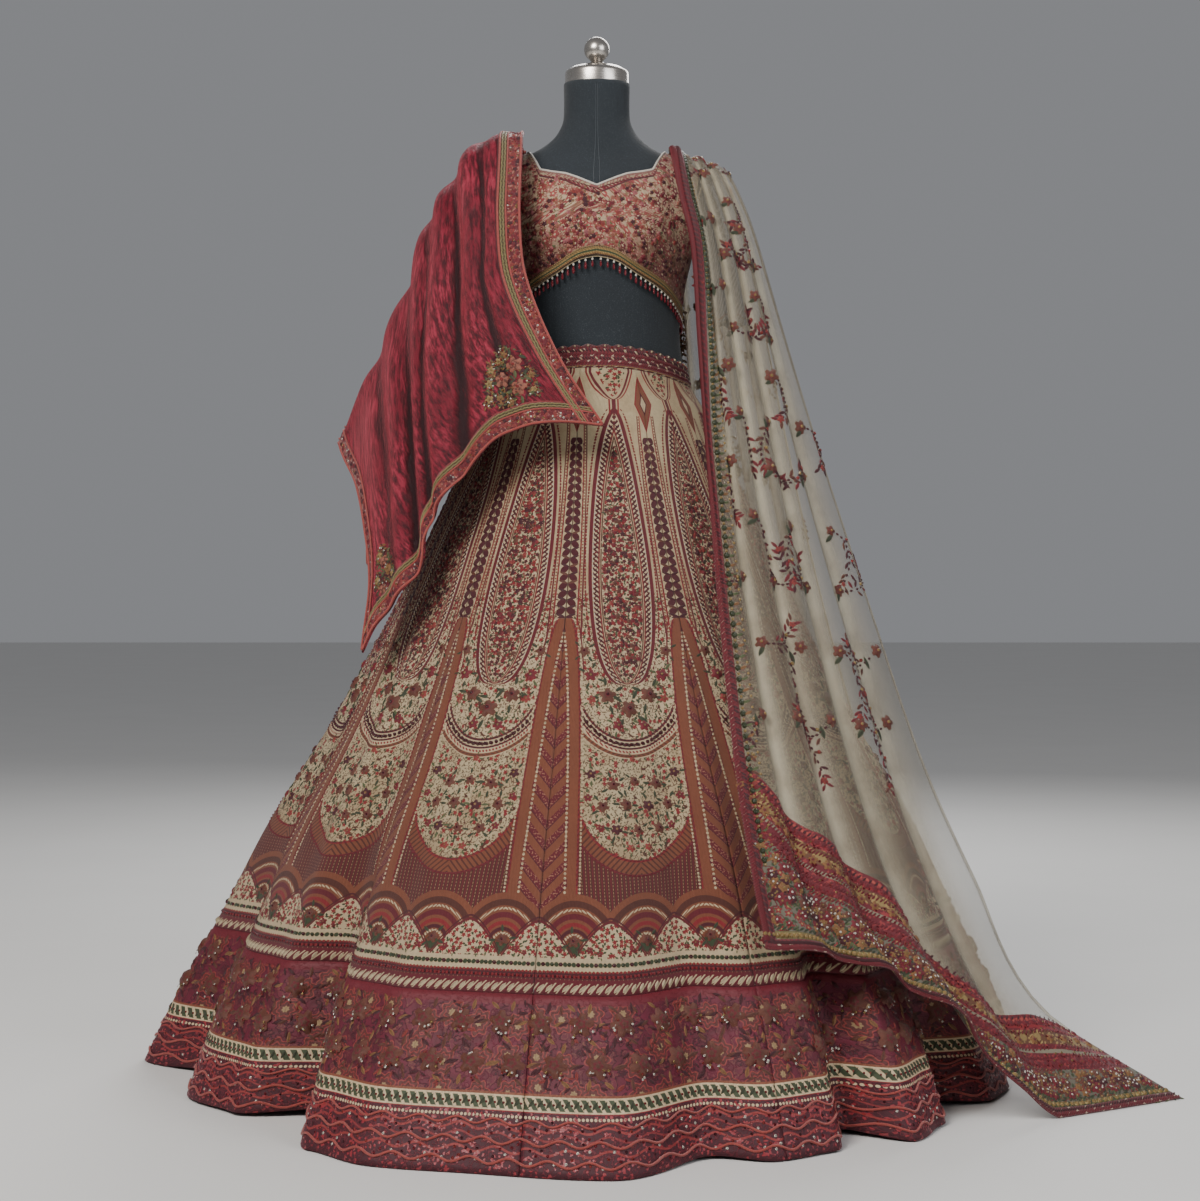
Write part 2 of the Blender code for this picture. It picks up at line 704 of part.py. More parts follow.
def build_fringe(name, hem, facing, material):
    """A narrow strip under the blouse's hem with bead drops standing on its lower edge."""
    edge = [(line, hem(line)) for line in CHOLI_LINES]
    side_width = through(FORM_SECTIONS, hem(1.0))[0]

    def layer(across, down, out):
        place = min(abs(across - 0.5) * 2.0, 1.0 - TINY)
        side = -1.0 if across < 0.5 else 1.0
        low = straight(edge, place) - STRIP_GAP - STRIP_HEIGHT
        z = low + STRIP_HEIGHT * down
        width = through(FORM_SECTIONS, z)[0]
        x = min(side_width * math.sin(math.radians(90.0 * place)) ** (2.0 / FORM_ROUNDNESS), width)
        point = off_body(Vector((x, body_depth(x, z, facing), z)), out)
        return Vector((side * point.x, point.y + facing * SEAM, point.z))
    inner = CHOLI_ON_FORM + STRIP_LIFT
    strip = slab(name, 2 * DROPS + 1, 1, layer, inner, inner + STRIP_WALL, material)
    mesh = bmesh.new()
    mesh.from_mesh(strip.data)
    mesh.normal_update()
    under = [face for face in mesh.faces if face.normal.z < FACES_DOWN]
    covered = []
    for number, pair in enumerate(pair_faces(under)):
        if number % 2 == 0:
            continue
        grown = bmesh.ops.extrude_face_region(mesh, geom=list(pair))["geom"]
        tips = [item for item in grown if isinstance(item, bmesh.types.BMVert)]
        covered += pair
        middle = sum((vert.co for vert in tips), Vector()) / len(tips)
        for vert in tips:
            vert.co = middle + (vert.co - middle) * DROP_SPREAD - Vector((0.0, 0.0, DROP_LENGTH))
    bmesh.ops.delete(mesh, geom=covered, context="FACES_ONLY")
    face_outwards(mesh)
    mesh.to_mesh(strip.data)
    mesh.free()


def pair_faces(faces):
    """Triangles of one grid cell together, in order round the hem."""
    pairs = []
    waiting = set(faces)
    ordered = sorted(faces, key=lambda face: face.calc_center_median().x)
    for face in ordered:
        if face not in waiting:
            continue
        waiting.discard(face)
        longest = max(face.edges, key=lambda edge: edge.calc_length())
        mate = next((other for other in longest.link_faces if other in waiting), None)
        if mate is None:
            continue
        waiting.discard(mate)
        pairs.append((face, mate))
    return pairs


# Sleeves
def armhole_ring(side):
    """Points of the armhole from the shoulder down the front, and up the back."""
    ring = []
    for facing, table, hem in ((-1.0, CHOLI_FRONT_TOP, choli_hem), (1.0, CHOLI_BACK_TOP, choli_back_hem)):
        half = [choli_line(table, hem, 1.0, share, facing) for share in ARMHOLE_ROWS]
        ring += half[:-1] if facing < 0 else half[:0:-1]
    return [Vector((side * point.x, point.y, point.z)) for point in ring]


def build_sleeve(name, side, material):
    ring = armhole_ring(side)
    count = len(ring)

    def line(across, down):
        place = (across % 1.0) * count
        index = int(place + TINY) % count
        part = place - int(place + TINY)
        start = ring[index].lerp(ring[(index + 1) % count], max(part, 0.0))
        start = start + Vector((side * SLEEVE_STEP, 0.0, 0.0))
        turn = 2.0 * math.pi * across
        end = Vector((
            side * (SLEEVE_OUT + SLEEVE_HALF_WIDTH * math.cos(turn)),
            -SLEEVE_HALF_DEPTH * math.sin(turn),
            SLEEVE_END,
        ))
        high = 0.5 + 0.5 * math.cos(turn)
        bend = Vector((
            start.x + (end.x - start.x) * SLEEVE_BEND_OUT,
            (start.y + end.y) * SLEEVE_BEND_DEPTH,
            start.z - SLEEVE_BEND_DROP + SLEEVE_BEND_LIFT * high,
        ))
        rest = 1.0 - down
        return start * rest * rest + bend * 2.0 * rest * down + end * down * down

    def layer(across, down, out):
        along = line(across + REACH, down) - line(across - REACH, down)
        fall = line(across, min(down + REACH, 1.0)) - line(across, max(down - REACH, 0.0))
        away = along.cross(fall).normalized() * side
        point = clear_of_body(line(across, down), SLEEVE_OVER_FORM)
        return point + away * out
    slab(name, 2 * count, SLEEVE_ROWS, layer, 0.0, SLEEVE_WALL, material, wrap=True)


# Skirt
def build_skirt(made):
    turn = 360.0 / PANELS
    for number in range(PANELS):
        start = PANEL_START + turn * number

        def angle_at(across, z):
            gap = math.degrees(SEAM / 2 / skirt_line(start, z).to_2d().length)
            return start + gap + (turn - 2.0 * gap) * across

        def kali(across, down, out):
            low = BORDER_TOP + SEAM / 2
            angle = angle_at(across, BORDER_TOP)
            high = BAND_BOTTOM - band_drop(angle) - SEAM
            z = low + (high - low) * down
            return skirt_point(angle_at(across, z), z, out)

        def border(across, down, out):
            angle = angle_at(across, 0.0)
            low = hem_height(angle)
            z = low + (BORDER_TOP - SEAM / 2 - low) * down
            return skirt_point(angle_at(across, z), z, out)

        label = "%02d" % (number + 1)
        slab("skirt_kali_" + label, PANEL_COLUMNS, KALI_ROWS, kali, -SKIRT_WALL, 0.0, made["raw_silk"])
        velvet = made["border_velvet"]
        slab("skirt_border_" + label, PANEL_COLUMNS, BORDER_ROWS, border, -BORDER_WALL, 0.0, velvet)


def build_waistband(made):
    def layer(across, down, out):
        angle = 180.0 + 360.0 * across
        low = BAND_BOTTOM - band_drop(angle)
        z = low + (BAND_TOP - BAND_BOTTOM) * down
        return around_body(math.radians(angle), z, out)
    outer = ON_FORM + BAND_WALL
    slab("skirt_waistband", BAND_COLUMNS, 2, layer, ON_FORM, outer, made["rope_embroidery"], wrap=True)


# Draped cloths
def drape_line(guides, cloth, facing, across, down):
    """The cloth's inner face, kept clear of what it hangs over."""
    point = guide_point(guides, across, down)
    along = guide_point(guides, across + REACH, down) - guide_point(guides, across - REACH, down)
    fall = guide_point(guides, across, down + REACH) - guide_point(guides, across, down - REACH)
    away = along.cross(fall).normalized() * facing
    wave = 0.5 - 0.5 * math.cos(2.0 * math.pi * cloth["pleats"] * across)
    depth = cloth["shoulder_wave"] + (cloth["hem_wave"] - cloth["shoulder_wave"]) * down
    grounded = min(max(point.z / GROUND_BLEND, 0.0), 1.0)
    point = point + away * wave * depth * grounded
    point = clear_of_body(point, cloth_clearance(point))
    point = clear_of_skirt(point, SKIRT_CLEAR)
    return Vector((point.x, point.y, max(point.z, FLOOR_CLEAR)))


def cloth_clearance(point):
    """How far a draped cloth stays off the form."""
    behind = abs(point.y) / CREST_DEPTH
    beyond = (abs(point.x) - CREST_END) / CREST_BLEND
    part = min(max(behind, beyond, 0.0), 1.0)
    return CREST_CLEAR + (BODY_CLEAR - CREST_CLEAR) * part


def guide_point(guides, across, down):
    points = through(guides, down)
    stations = [(index / 4, point) for index, point in enumerate(points)]
    return through(stations, across)[0]


def drape_layer(guides, cloth, facing, part=(0.0, 1.0, 0.0, 1.0)):
    """Layer of one stretch of cloth. part picks grid lines: across from, to, down from, to."""
    columns = cloth["columns"]
    rows = cloth["rows"]
    left, right, top, bottom = part
    towards = -1.0 if facing * guides[0][1].x > 0 else 1.0

    def line(across, down):
        return drape_line(guides, cloth, towards, across, down)

    def layer(across, down, out):
        column = (left + (right - left) * across) * columns
        row = (top + (bottom - top) * down) * rows
        if row < rows - 1:
            place_down = HEM_ROW * (row / (rows - 1)) ** ROW_POWER
        else:
            place_down = HEM_ROW + (1.0 - HEM_ROW) * (row - rows + 1)
        near = guide_point(guides, 0.0, place_down)
        far = guide_point(guides, QUARTER, place_down)
        width = min(QUARTER * cloth["edge"] / (near - far).length, INNER_EDGE)
        if column < 1.0:
            place = width * column
        elif column > columns - 1:
            place = 1.0 - OUTER_EDGE * (columns - column)
        else:
            place = width + (1.0 - OUTER_EDGE - width) * (column - 1.0) / (columns - 2.0)
        along = line(place + TRIM_REACH, place_down) - line(place - TRIM_REACH, place_down)
        fall = line(place, place_down + TRIM_REACH) - line(place, place_down - TRIM_REACH)
        away = along.cross(fall).normalized() * towards
        point = line(place, place_down)
        if abs(guides[0][1].y) < TINY and row < TINY:
            away.y = 0.0
            away.normalize()
            point.y = -facing * SEAM / 2
        point = point + away * out
        return Vector((point.x, point.y, max(point.z, FLOOR_CLEAR)))
    return layer


def as_guides(table):
    return [(row[0],) + tuple(Vector(point) for point in row[1:]) for row in table]


def build_drape(label, cloth, tables, cloth_material, trim_material, trims):
    columns = cloth["columns"]
    rows = cloth["rows"]
    first = 1.0 / columns
    last = 1.0 - 1.0 / columns
    low = 1.0 - 1.0 / rows
    parted = TRIM_PARTED / columns
    parts = {
        "inner_border": (1, rows, (0.0, first, 0.0, 1.0)),
        "hem_border": (columns - 1, 1, (first + parted, 1.0, low, 1.0)),
        "outer_border": (1, rows - 1, (last, 1.0, 0.0, low - parted)),
    }
    for side, table, facing in (("front", tables[0], 1.0), ("back", tables[1], -1.0)):
        guides = as_guides(table)
        layer = drape_layer(guides, cloth, facing)
        slab(label + "_" + side, columns, rows, layer, 0.0, cloth["wall"], cloth_material)
        lay = cloth["wall"] + LAY
        for trim in trims:
            wide, high, part = parts[trim]
            strip = drape_layer(guides, cloth, facing, part)
            name = label + "_" + trim + "_" + side
            slab(name, wide, high, strip, lay, lay + TRIM_WALL, trim_material)


def build():
    clear_scene()
    made = make_materials()
    build_form(made)
    build_choli(made)
    build_sleeve("choli_sleeve_right", -1.0, made["sleeve_net"])
    build_sleeve("choli_sleeve_left", 1.0, made["sleeve_net"])
    build_waistband(made)
    build_skirt(made)
    build_drape("shawl", SHAWL, (SHAWL_FRONT, SHAWL_BACK), made["shawl_velvet"], made["cord_border"],
                ("inner_border", "hem_border", "outer_border"))
    build_drape("net", NET, (NET_FRONT, NET_BACK), made["cream_net"], made["rope_embroidery"],
                ("inner_border", "hem_border"))


build()
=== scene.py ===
"""Looks of the lehenga choli on its dress form.

Every cloth is a fine sheet on the same curves as its solid, with its seams, trims,
raised embroidery and beads. Metres, +Z up, the front faces -Y. Angles round the
body are in degrees, start at the front and grow towards +X.
"""
import math
import random

import bmesh
import bpy
import numpy as np
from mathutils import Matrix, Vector


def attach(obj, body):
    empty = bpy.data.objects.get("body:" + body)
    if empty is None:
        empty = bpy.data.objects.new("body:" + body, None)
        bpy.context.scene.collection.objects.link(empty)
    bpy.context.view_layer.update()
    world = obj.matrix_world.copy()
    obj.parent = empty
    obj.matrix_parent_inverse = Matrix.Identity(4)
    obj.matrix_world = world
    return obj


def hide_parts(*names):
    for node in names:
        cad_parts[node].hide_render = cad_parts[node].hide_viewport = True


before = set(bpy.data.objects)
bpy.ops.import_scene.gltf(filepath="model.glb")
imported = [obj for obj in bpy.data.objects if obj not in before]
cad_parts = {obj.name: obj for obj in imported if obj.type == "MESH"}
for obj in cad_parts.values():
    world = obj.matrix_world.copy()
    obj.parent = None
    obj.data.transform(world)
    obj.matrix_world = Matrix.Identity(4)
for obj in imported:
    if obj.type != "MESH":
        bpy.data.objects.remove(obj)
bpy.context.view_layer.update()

# Gaps and walls
SEAM = 0.0004
LAY = 0.0003
SKIRT_WALL = 0.0022
BORDER_WALL = 0.0028
CHOLI_WALL = 0.0020
SLEEVE_WALL = 0.0012
VELVET_WALL = 0.0020
NET_WALL = 0.0012
TRIM_WALL = 0.0010
BAND_WALL = 0.0030
ON_FORM = 0.0010
CHOLI_ON_FORM = 0.0019

# Dress form: height, half width, half depth
FORM_ROUNDNESS = 2.3
FORM_SECTIONS = (
    (0.800, 0.120, 0.095),
    (0.830, 0.150, 0.108),
    (0.880, 0.165, 0.116),
    (0.930, 0.165, 0.117),
    (0.990, 0.154, 0.114),
    (1.035, 0.1410, 0.1070),
    (1.060, 0.1345, 0.1030),
    (1.095, 0.1285, 0.0985),
    (1.130, 0.1265, 0.0965),
    (1.165, 0.1280, 0.0975),
    (1.200, 0.1340, 0.1010),
    (1.240, 0.1430, 0.1060),
    (1.275, 0.1490, 0.1070),
    (1.310, 0.1580, 0.1020),
    (1.340, 0.1680, 0.0920),
    (1.356, 0.1720, 0.0800),
    (1.366, 0.1600, 0.0740),
    (1.376, 0.1380, 0.0680),
    (1.388, 0.1120, 0.0620),
    (1.400, 0.0880, 0.0580),
    (1.415, 0.0680, 0.0545),
    (1.430, 0.0570, 0.0520),
    (1.447, 0.0510, 0.0505),
    (1.500, 0.0505, 0.0505),
)
BUST_HEIGHT = 1.262
BUST_APART = 0.070
BUST_SWELL = 0.017
BUST_SPREAD = 0.040


# Skirt: height, half width, half depth, roundness of the section
SKIRT_SECTIONS = (
    (0.000, 0.6900, 0.6900, 2.00),
    (0.086, 0.6500, 0.6500, 2.00),
    (0.152, 0.6150, 0.6150, 2.00),
    (0.249, 0.5630, 0.5630, 2.00),
    (0.372, 0.5000, 0.5000, 2.00),
    (0.526, 0.4050, 0.4050, 2.00),
    (0.710, 0.3050, 0.3000, 2.00),
    (0.850, 0.2370, 0.2260, 2.00),
    (0.950, 0.1900, 0.1680, 2.10),
    (1.000, 0.1660, 0.1340, 2.25),
    (1.035, 0.1450, 0.1110, 2.30),
    (1.060, 0.1380, 0.1065, 2.30),
    (1.080, 0.1340, 0.1035, 2.30),
)
# Folds of the hem all round: angle in degrees, how far the hem reaches from the axis
HEM_REACH = 0.690
HEM_FOLDS = (
    (-91.0, 0.700),
    (-80.0, 0.596),
    (-66.0, 0.640),
    (-55.0, 0.620),
    (-46.0, 0.535),
    (-34.0, 0.671),
    (-25.0, 0.697),
    (-14.0, 0.688),
    (2.0, 0.706),
    (14.0, 0.618),
    (21.0, 0.656),
    (29.0, 0.646),
    (35.0, 0.575),
    (40.0, 0.662),
    (48.0, 0.636),
    (56.0, 0.565),
    (64.0, 0.630),
    (72.0, 0.634),
    (82.0, 0.570),
    (94.0, 0.665),
    (106.0, 0.590),
    (119.0, 0.668),
    (132.0, 0.600),
    (147.0, 0.680),
    (160.0, 0.612),
    (175.0, 0.690),
    (189.0, 0.605),
    (204.0, 0.684),
    (217.0, 0.596),
    (231.0, 0.676),
    (244.0, 0.590),
    (256.0, 0.672),
)
FOLD_TOP = 0.80
FOLD_FADE = 1.4
VALLEY_DEPTH = 0.14
VALLEY_LIFT = 0.010
PANELS = 12
PANEL_START = -8.0
BORDER_TOP = 0.210

# Waistband, highest at the front and lower from the sides round the back
BAND_TOP = 1.0946
BAND_BOTTOM = 1.0600
BAND_DIP = 0.025

# Blouse, half of each panel: place across, how far out and how high its top edge is.
# A height of zero stands for the crest of the shoulder.
CHOLI_FRONT_TOP = (
    (0.00, 0.001, 1.331),
    (0.20, 0.022, 1.340),
    (0.38, 0.046, 1.349),
    (0.52, 0.068, 1.353),
    (0.62, 0.084, 1.357),
    (0.66, 0.093, 1.3750),
    (0.70, 0.1005, 1.3880),
    (0.74, 0.104, 0.0),
    (0.87, 0.130, 0.0),
    (1.00, 0.156, 0.0),
)
CHOLI_BACK_TOP = (
    (0.00, 0.001, 1.322),
    (0.20, 0.022, 1.323),
    (0.38, 0.046, 1.330),
    (0.52, 0.068, 1.342),
    (0.62, 0.084, 1.357),
    (0.66, 0.093, 1.3750),
    (0.70, 0.1005, 1.3880),
    (0.74, 0.104, 0.0),
    (0.87, 0.130, 0.0),
    (1.00, 0.156, 0.0),
)
# Grid rows up a blouse panel above its hem band: share of its height, and how far out
# the armhole is there. A reach of zero stands for the side seam.
CHOLI_RISE = (
    (0.000, 0.0),
    (0.066, 0.0),
    (0.200, 0.0),
    (0.370, 0.0),
    (0.535, 0.0),
    (0.610, 0.1485),
    (0.690, 0.1450),
    (0.820, 0.1480),
    (0.955, 0.1525),
    (0.993, 0.1545),
    (1.000, 0.1560),
)
CREST_FROM = 0.74
CREST_RANGE = (1.356, 1.447)
ARMHOLE_ROWS = (1.0, 0.955, 0.82, 0.69, 0.535)
# Hem of the blouse front: place across, height
CHOLI_HEM = (
    (0.00, 1.2275),
    (0.12, 1.2210),
    (0.30, 1.2000),
    (0.58, 1.1745),
    (0.80, 1.1520),
    (1.00, 1.1400),
)
CHOLI_BACK_HEM = 1.1400
CHOLI_BAND = 0.015
DROPS = 24

# Sleeves: limp and open, hanging from the armholes
SLEEVE_END = 1.134
SLEEVE_OUT = 0.197
SLEEVE_HALF_WIDTH = 0.030
SLEEVE_HALF_DEPTH = 0.050
SLEEVE_STEP = 0.0016
SLEEVE_OVER_FORM = 0.0058
# The sleeve's curve: share of the way out and of the depth, how far it drops and lifts
SLEEVE_BEND_OUT = 0.62
SLEEVE_BEND_DEPTH = 0.55
SLEEVE_BEND_DROP = 0.060
SLEEVE_BEND_LIFT = 0.033

# Draped cloths, down from the shoulder: place down the cloth, then five points
# across it, from the long edge near the neck to the outer edge
SHAWL_FRONT = (
    (0.00, (-0.107, 0.000, 1.391), (-0.178, 0.000, 1.388), (-0.238, 0.000, 1.285),
     (-0.305, 0.000, 1.105), (-0.377, 0.000, 0.953)),
    (0.12, (-0.103, -0.085, 1.380), (-0.172, -0.080, 1.358), (-0.234, -0.068, 1.258),
     (-0.300, -0.052, 1.085), (-0.360, -0.040, 0.920)),
    (0.30, (-0.106, -0.142, 1.275), (-0.165, -0.135, 1.258), (-0.230, -0.120, 1.180),
     (-0.288, -0.102, 1.035), (-0.335, -0.090, 0.876)),
    (0.50, (-0.098, -0.165, 1.180), (-0.160, -0.160, 1.160), (-0.228, -0.150, 1.080),
     (-0.275, -0.142, 0.955), (-0.318, -0.135, 0.805)),
    (0.75, (-0.052, -0.192, 1.060), (-0.138, -0.190, 1.050), (-0.218, -0.184, 0.968),
     (-0.262, -0.186, 0.850), (-0.308, -0.174, 0.716)),
    (1.00, (0.012, -0.215, 0.958), (-0.118, -0.214, 0.950), (-0.205, -0.212, 0.862),
     (-0.250, -0.224, 0.746), (-0.318, -0.205, 0.630)),
)
SHAWL_BACK = (
    (0.00, (-0.107, 0.000, 1.391), (-0.178, 0.000, 1.388), (-0.238, 0.000, 1.285),
     (-0.305, 0.000, 1.105), (-0.377, 0.000, 0.953)),
    (0.20, (-0.104, 0.095, 1.365), (-0.168, 0.092, 1.345), (-0.231, 0.080, 1.250),
     (-0.298, 0.075, 1.075), (-0.360, 0.080, 0.925)),
    (0.60, (-0.106, 0.150, 1.200), (-0.165, 0.148, 1.180), (-0.232, 0.140, 1.090),
     (-0.295, 0.135, 0.960), (-0.345, 0.130, 0.835)),
    (1.00, (-0.100, 0.195, 0.975), (-0.170, 0.200, 0.955), (-0.240, 0.195, 0.905),
     (-0.300, 0.185, 0.835), (-0.350, 0.170, 0.755)),
)
NET_FRONT = (
    (0.00, (0.108, 0.000, 1.391), (0.126, 0.000, 1.386), (0.148, 0.000, 1.386),
     (0.170, 0.000, 1.380), (0.192, 0.000, 1.372)),
    (0.06, (0.112, -0.075, 1.387), (0.134, -0.074, 1.370), (0.158, -0.068, 1.362),
     (0.184, -0.056, 1.352), (0.208, -0.030, 1.343)),
    (0.13, (0.125, -0.128, 1.310), (0.148, -0.122, 1.307), (0.176, -0.108, 1.300),
     (0.206, -0.086, 1.290), (0.234, -0.045, 1.278)),
    (0.20, (0.140, -0.158, 1.235), (0.164, -0.150, 1.232), (0.194, -0.133, 1.224),
     (0.226, -0.105, 1.214), (0.256, -0.052, 1.205)),
    (0.32, (0.149, -0.180, 1.095), (0.180, -0.175, 1.092), (0.216, -0.158, 1.085),
     (0.256, -0.124, 1.075), (0.296, -0.060, 1.070)),
    (0.45, (0.160, -0.208, 0.930), (0.198, -0.210, 0.926), (0.244, -0.192, 0.915),
     (0.294, -0.148, 0.905), (0.345, -0.070, 0.910)),
    (0.60, (0.171, -0.305, 0.715), (0.224, -0.290, 0.712), (0.284, -0.255, 0.702),
     (0.348, -0.190, 0.692), (0.415, -0.090, 0.690)),
    (0.75, (0.188, -0.430, 0.490), (0.262, -0.400, 0.480), (0.336, -0.345, 0.466),
     (0.412, -0.255, 0.455), (0.487, -0.120, 0.470)),
    (0.87, (0.207, -0.503, 0.350), (0.298, -0.472, 0.330), (0.388, -0.410, 0.300),
     (0.475, -0.305, 0.275), (0.560, -0.150, 0.300)),
    (0.95, (0.218, -0.528, 0.290), (0.325, -0.495, 0.262), (0.432, -0.445, 0.215),
     (0.545, -0.345, 0.130), (0.650, -0.190, 0.120)),
    (1.00, (0.222, -0.540, 0.262), (0.350, -0.500, 0.232), (0.470, -0.455, 0.160),
     (0.640, -0.372, 0.000), (0.838, -0.254, 0.000)),
)
NET_BACK = (
    (0.00, (0.108, 0.000, 1.391), (0.126, 0.000, 1.386), (0.148, 0.000, 1.386),
     (0.170, 0.000, 1.380), (0.192, 0.000, 1.372)),
    (0.10, (0.108, 0.082, 1.372), (0.132, 0.080, 1.366), (0.158, 0.074, 1.358),
     (0.184, 0.060, 1.348), (0.208, 0.036, 1.340)),
    (0.30, (0.115, 0.140, 1.230), (0.144, 0.137, 1.227), (0.178, 0.126, 1.220),
     (0.214, 0.104, 1.210), (0.250, 0.070, 1.200)),
    (0.50, (0.125, 0.175, 1.010), (0.164, 0.175, 1.007), (0.208, 0.167, 0.998),
     (0.254, 0.146, 0.985), (0.300, 0.110, 0.970)),
    (0.70, (0.140, 0.285, 0.780), (0.192, 0.277, 0.777), (0.246, 0.258, 0.768),
     (0.302, 0.227, 0.758), (0.355, 0.185, 0.750)),
    (0.85, (0.160, 0.400, 0.560), (0.222, 0.388, 0.556), (0.288, 0.358, 0.548),
     (0.356, 0.314, 0.538), (0.420, 0.260, 0.530)),
    (1.00, (0.180, 0.512, 0.330), (0.262, 0.492, 0.326), (0.346, 0.455, 0.320),
     (0.425, 0.400, 0.312), (0.500, 0.335, 0.305)),
)
# How each cloth is gathered and trimmed
SHAWL = {"pleats": 3.0, "shoulder_wave": 0.002, "hem_wave": 0.009, "edge": 0.038}
NET = {"pleats": 5.0, "shoulder_wave": 0.003, "hem_wave": 0.012,}
HEM_ROW = 0.965
GROUND_BLEND = 0.12
ROW_POWER = 1.35
BODY_CLEAR = 0.0079
# The cloths lie closest to the form on the shoulder's crest: how deep and how far out that is
CREST_CLEAR = 0.0044
CREST_DEPTH = 0.010
CREST_END = 0.125
CREST_BLEND = 0.020
SKIRT_CLEAR = 0.0060
FLOOR_CLEAR = 0.0004
TINY = 1e-4
FULL_TURN = 6.28
PIECE_FACES = 150000
# How far apart the places lie that a surface's slope is taken between
REACH = 0.01
ANGLE_REACH = 0.4


# Smooth curves through short tables
def through(rows, key):
    """The table's columns at key, on a smooth curve through its rows."""
    last = len(rows) - 1
    index = 0
    while index < last - 1 and key > rows[index + 1][0]:
        index += 1
    low = rows[index]
    high = rows[index + 1]
    before = rows[max(index - 1, 0)]
    after = rows[min(index + 2, last)]
    span = high[0] - low[0]
    part = min(max((key - low[0]) / span, 0.0), 1.0)
    rise = part * part * (3.0 - 2.0 * part)
    leave = part * (1.0 - part) * (1.0 - part)
    arrive = part * part * (part - 1.0)
    values = []
    for start, end, earlier, later in zip(low[1:], high[1:], before[1:], after[1:]):
        slope_start = (end - earlier) * (span / (high[0] - before[0]))
        slope_end = (later - start) * (span / (after[0] - low[0]))
        values.append(start * (1.0 - rise) + end * rise + slope_start * leave + slope_end * arrive)
    return values


def straight(rows, key):
    """The table's second column at key, on straight lines."""
    for low, high in zip(rows, rows[1:]):
        if key <= high[0]:
            part = (key - low[0]) / (high[0] - low[0])
            return low[1] + (high[1] - low[1]) * part
    return rows[-1][1]


def signed_power(value, power):
    return math.copysign(abs(value) ** power, value)


# Dress form
def bust(x, z):
    across = math.exp(-((abs(x) - BUST_APART) / BUST_SPREAD) ** 2)
    return BUST_SWELL * across * math.exp(-((z - BUST_HEIGHT) / BUST_SPREAD) ** 2)


def body_depth(x, z, facing):
    """How far the form lies before (-1) or behind (+1) the axis at x and z."""
    half_width, half_depth = through(FORM_SECTIONS, z)
    rest = max(1.0 - min(abs(x) / half_width, 1.0) ** FORM_ROUNDNESS, 0.0)
    depth = half_depth * rest ** (1.0 / FORM_ROUNDNESS)
    if facing < 0:
        depth += bust(x, z) * rest
    return facing * depth


def body_level(point):
    """Zero on the form, below zero inside it."""
    half_width, half_depth = through(FORM_SECTIONS, point.z)
    across = (abs(point.x) / half_width) ** FORM_ROUNDNESS
    if point.y < 0:
        half_depth += bust(point.x, point.z) * max(1.0 - across, 0.0)
    total = across + (abs(point.y) / half_depth) ** FORM_ROUNDNESS
    return total ** (1.0 / FORM_ROUNDNESS) - 1.0


def body_slope(point):
    level = body_level(point)
    slope = Vector((
        body_level(point + Vector((TINY, 0, 0))) - level,
        body_level(point + Vector((0, TINY, 0))) - level,
        body_level(point + Vector((0, 0, TINY))) - level,
    ))
    return slope / TINY


def off_body(point, out):
    """A point of the form moved straight out from it."""
    slope = body_slope(point)
    if abs(point.y) < TINY:
        slope.y = 0.0
    return point + slope.normalized() * out


def clear_of_body(point, clearance):
    for _ in range(3):
        slope = body_slope(point)
        gap = body_level(point) / max(slope.length, TINY)
        if gap < clearance:
            point = point + slope.normalized() * (clearance - gap)
    return point


def around_body(angle, z, out):
    half_width, half_depth = through(FORM_SECTIONS, z)
    power = 2.0 / FORM_ROUNDNESS
    x = half_width * signed_power(math.sin(angle), power)
    y = -half_depth * signed_power(math.cos(angle), power)
    if y < 0:
        y -= bust(x, z) * (1.0 - min(abs(x) / half_width, 1.0) ** FORM_ROUNDNESS)
    point = Vector((x, y, z))
    return off_body(point, out) if out else point


# Skirt
def hem_reach(angle):
    """How far the hem reaches from the axis at an angle in degrees."""
    first = HEM_FOLDS[0][0]
    turn = (angle - first) % 360.0 + first
    closed = HEM_FOLDS + ((first + 360.0, HEM_FOLDS[0][1]),)
    for (low, reach_low), (high, reach_high) in zip(closed, closed[1:]):
        if turn <= high:
            part = (turn - low) / (high - low)
            rise = part * part * (3.0 - 2.0 * part)
            return reach_low + (reach_high - reach_low) * rise
    return closed[-1][1]


def hem_height(angle):
    valley = max((HEM_REACH - hem_reach(angle)) / VALLEY_DEPTH, 0.0)
    return VALLEY_LIFT * valley


def skirt_line(angle, z):
    """The skirt's outer face at an angle in degrees, and at a height."""
    half_width, half_depth, roundness = through(SKIRT_SECTIONS, z)
    fold = 0.0
    if z < FOLD_TOP:
        fold = (hem_reach(angle) - HEM_REACH) * (1.0 - z / FOLD_TOP) ** FOLD_FADE
    turn = math.radians(angle)
    x = (half_width + fold) * signed_power(math.sin(turn), 2.0 / roundness)
    y = -(half_depth + fold) * signed_power(math.cos(turn), 2.0 / roundness)
    return Vector((x, y, z))


def skirt_point(angle, z, out):
    """The skirt's face moved level, straight away from its own line."""
    along = skirt_line(angle + ANGLE_REACH, z) - skirt_line(angle - ANGLE_REACH, z)
    away = Vector((along.y, -along.x, 0.0)).normalized()
    return skirt_line(angle, z) + away * out


def clear_of_skirt(point, clearance):
    if point.z > BAND_BOTTOM:
        return point
    angle = math.degrees(math.atan2(point.x, -point.y))
    reach = skirt_line(angle, max(point.z, 0.0)).to_2d().length + clearance
    flat = point.to_2d()
    if flat.length < reach:
        flat = flat * (reach / flat.length)
    return Vector((flat.x, flat.y, point.z))


def band_drop(angle):
    side = min(abs((angle + 180.0) % 360.0 - 180.0), 90.0)
    return BAND_DIP * 0.5 * (1.0 - math.cos(math.radians(2.0 * side)))


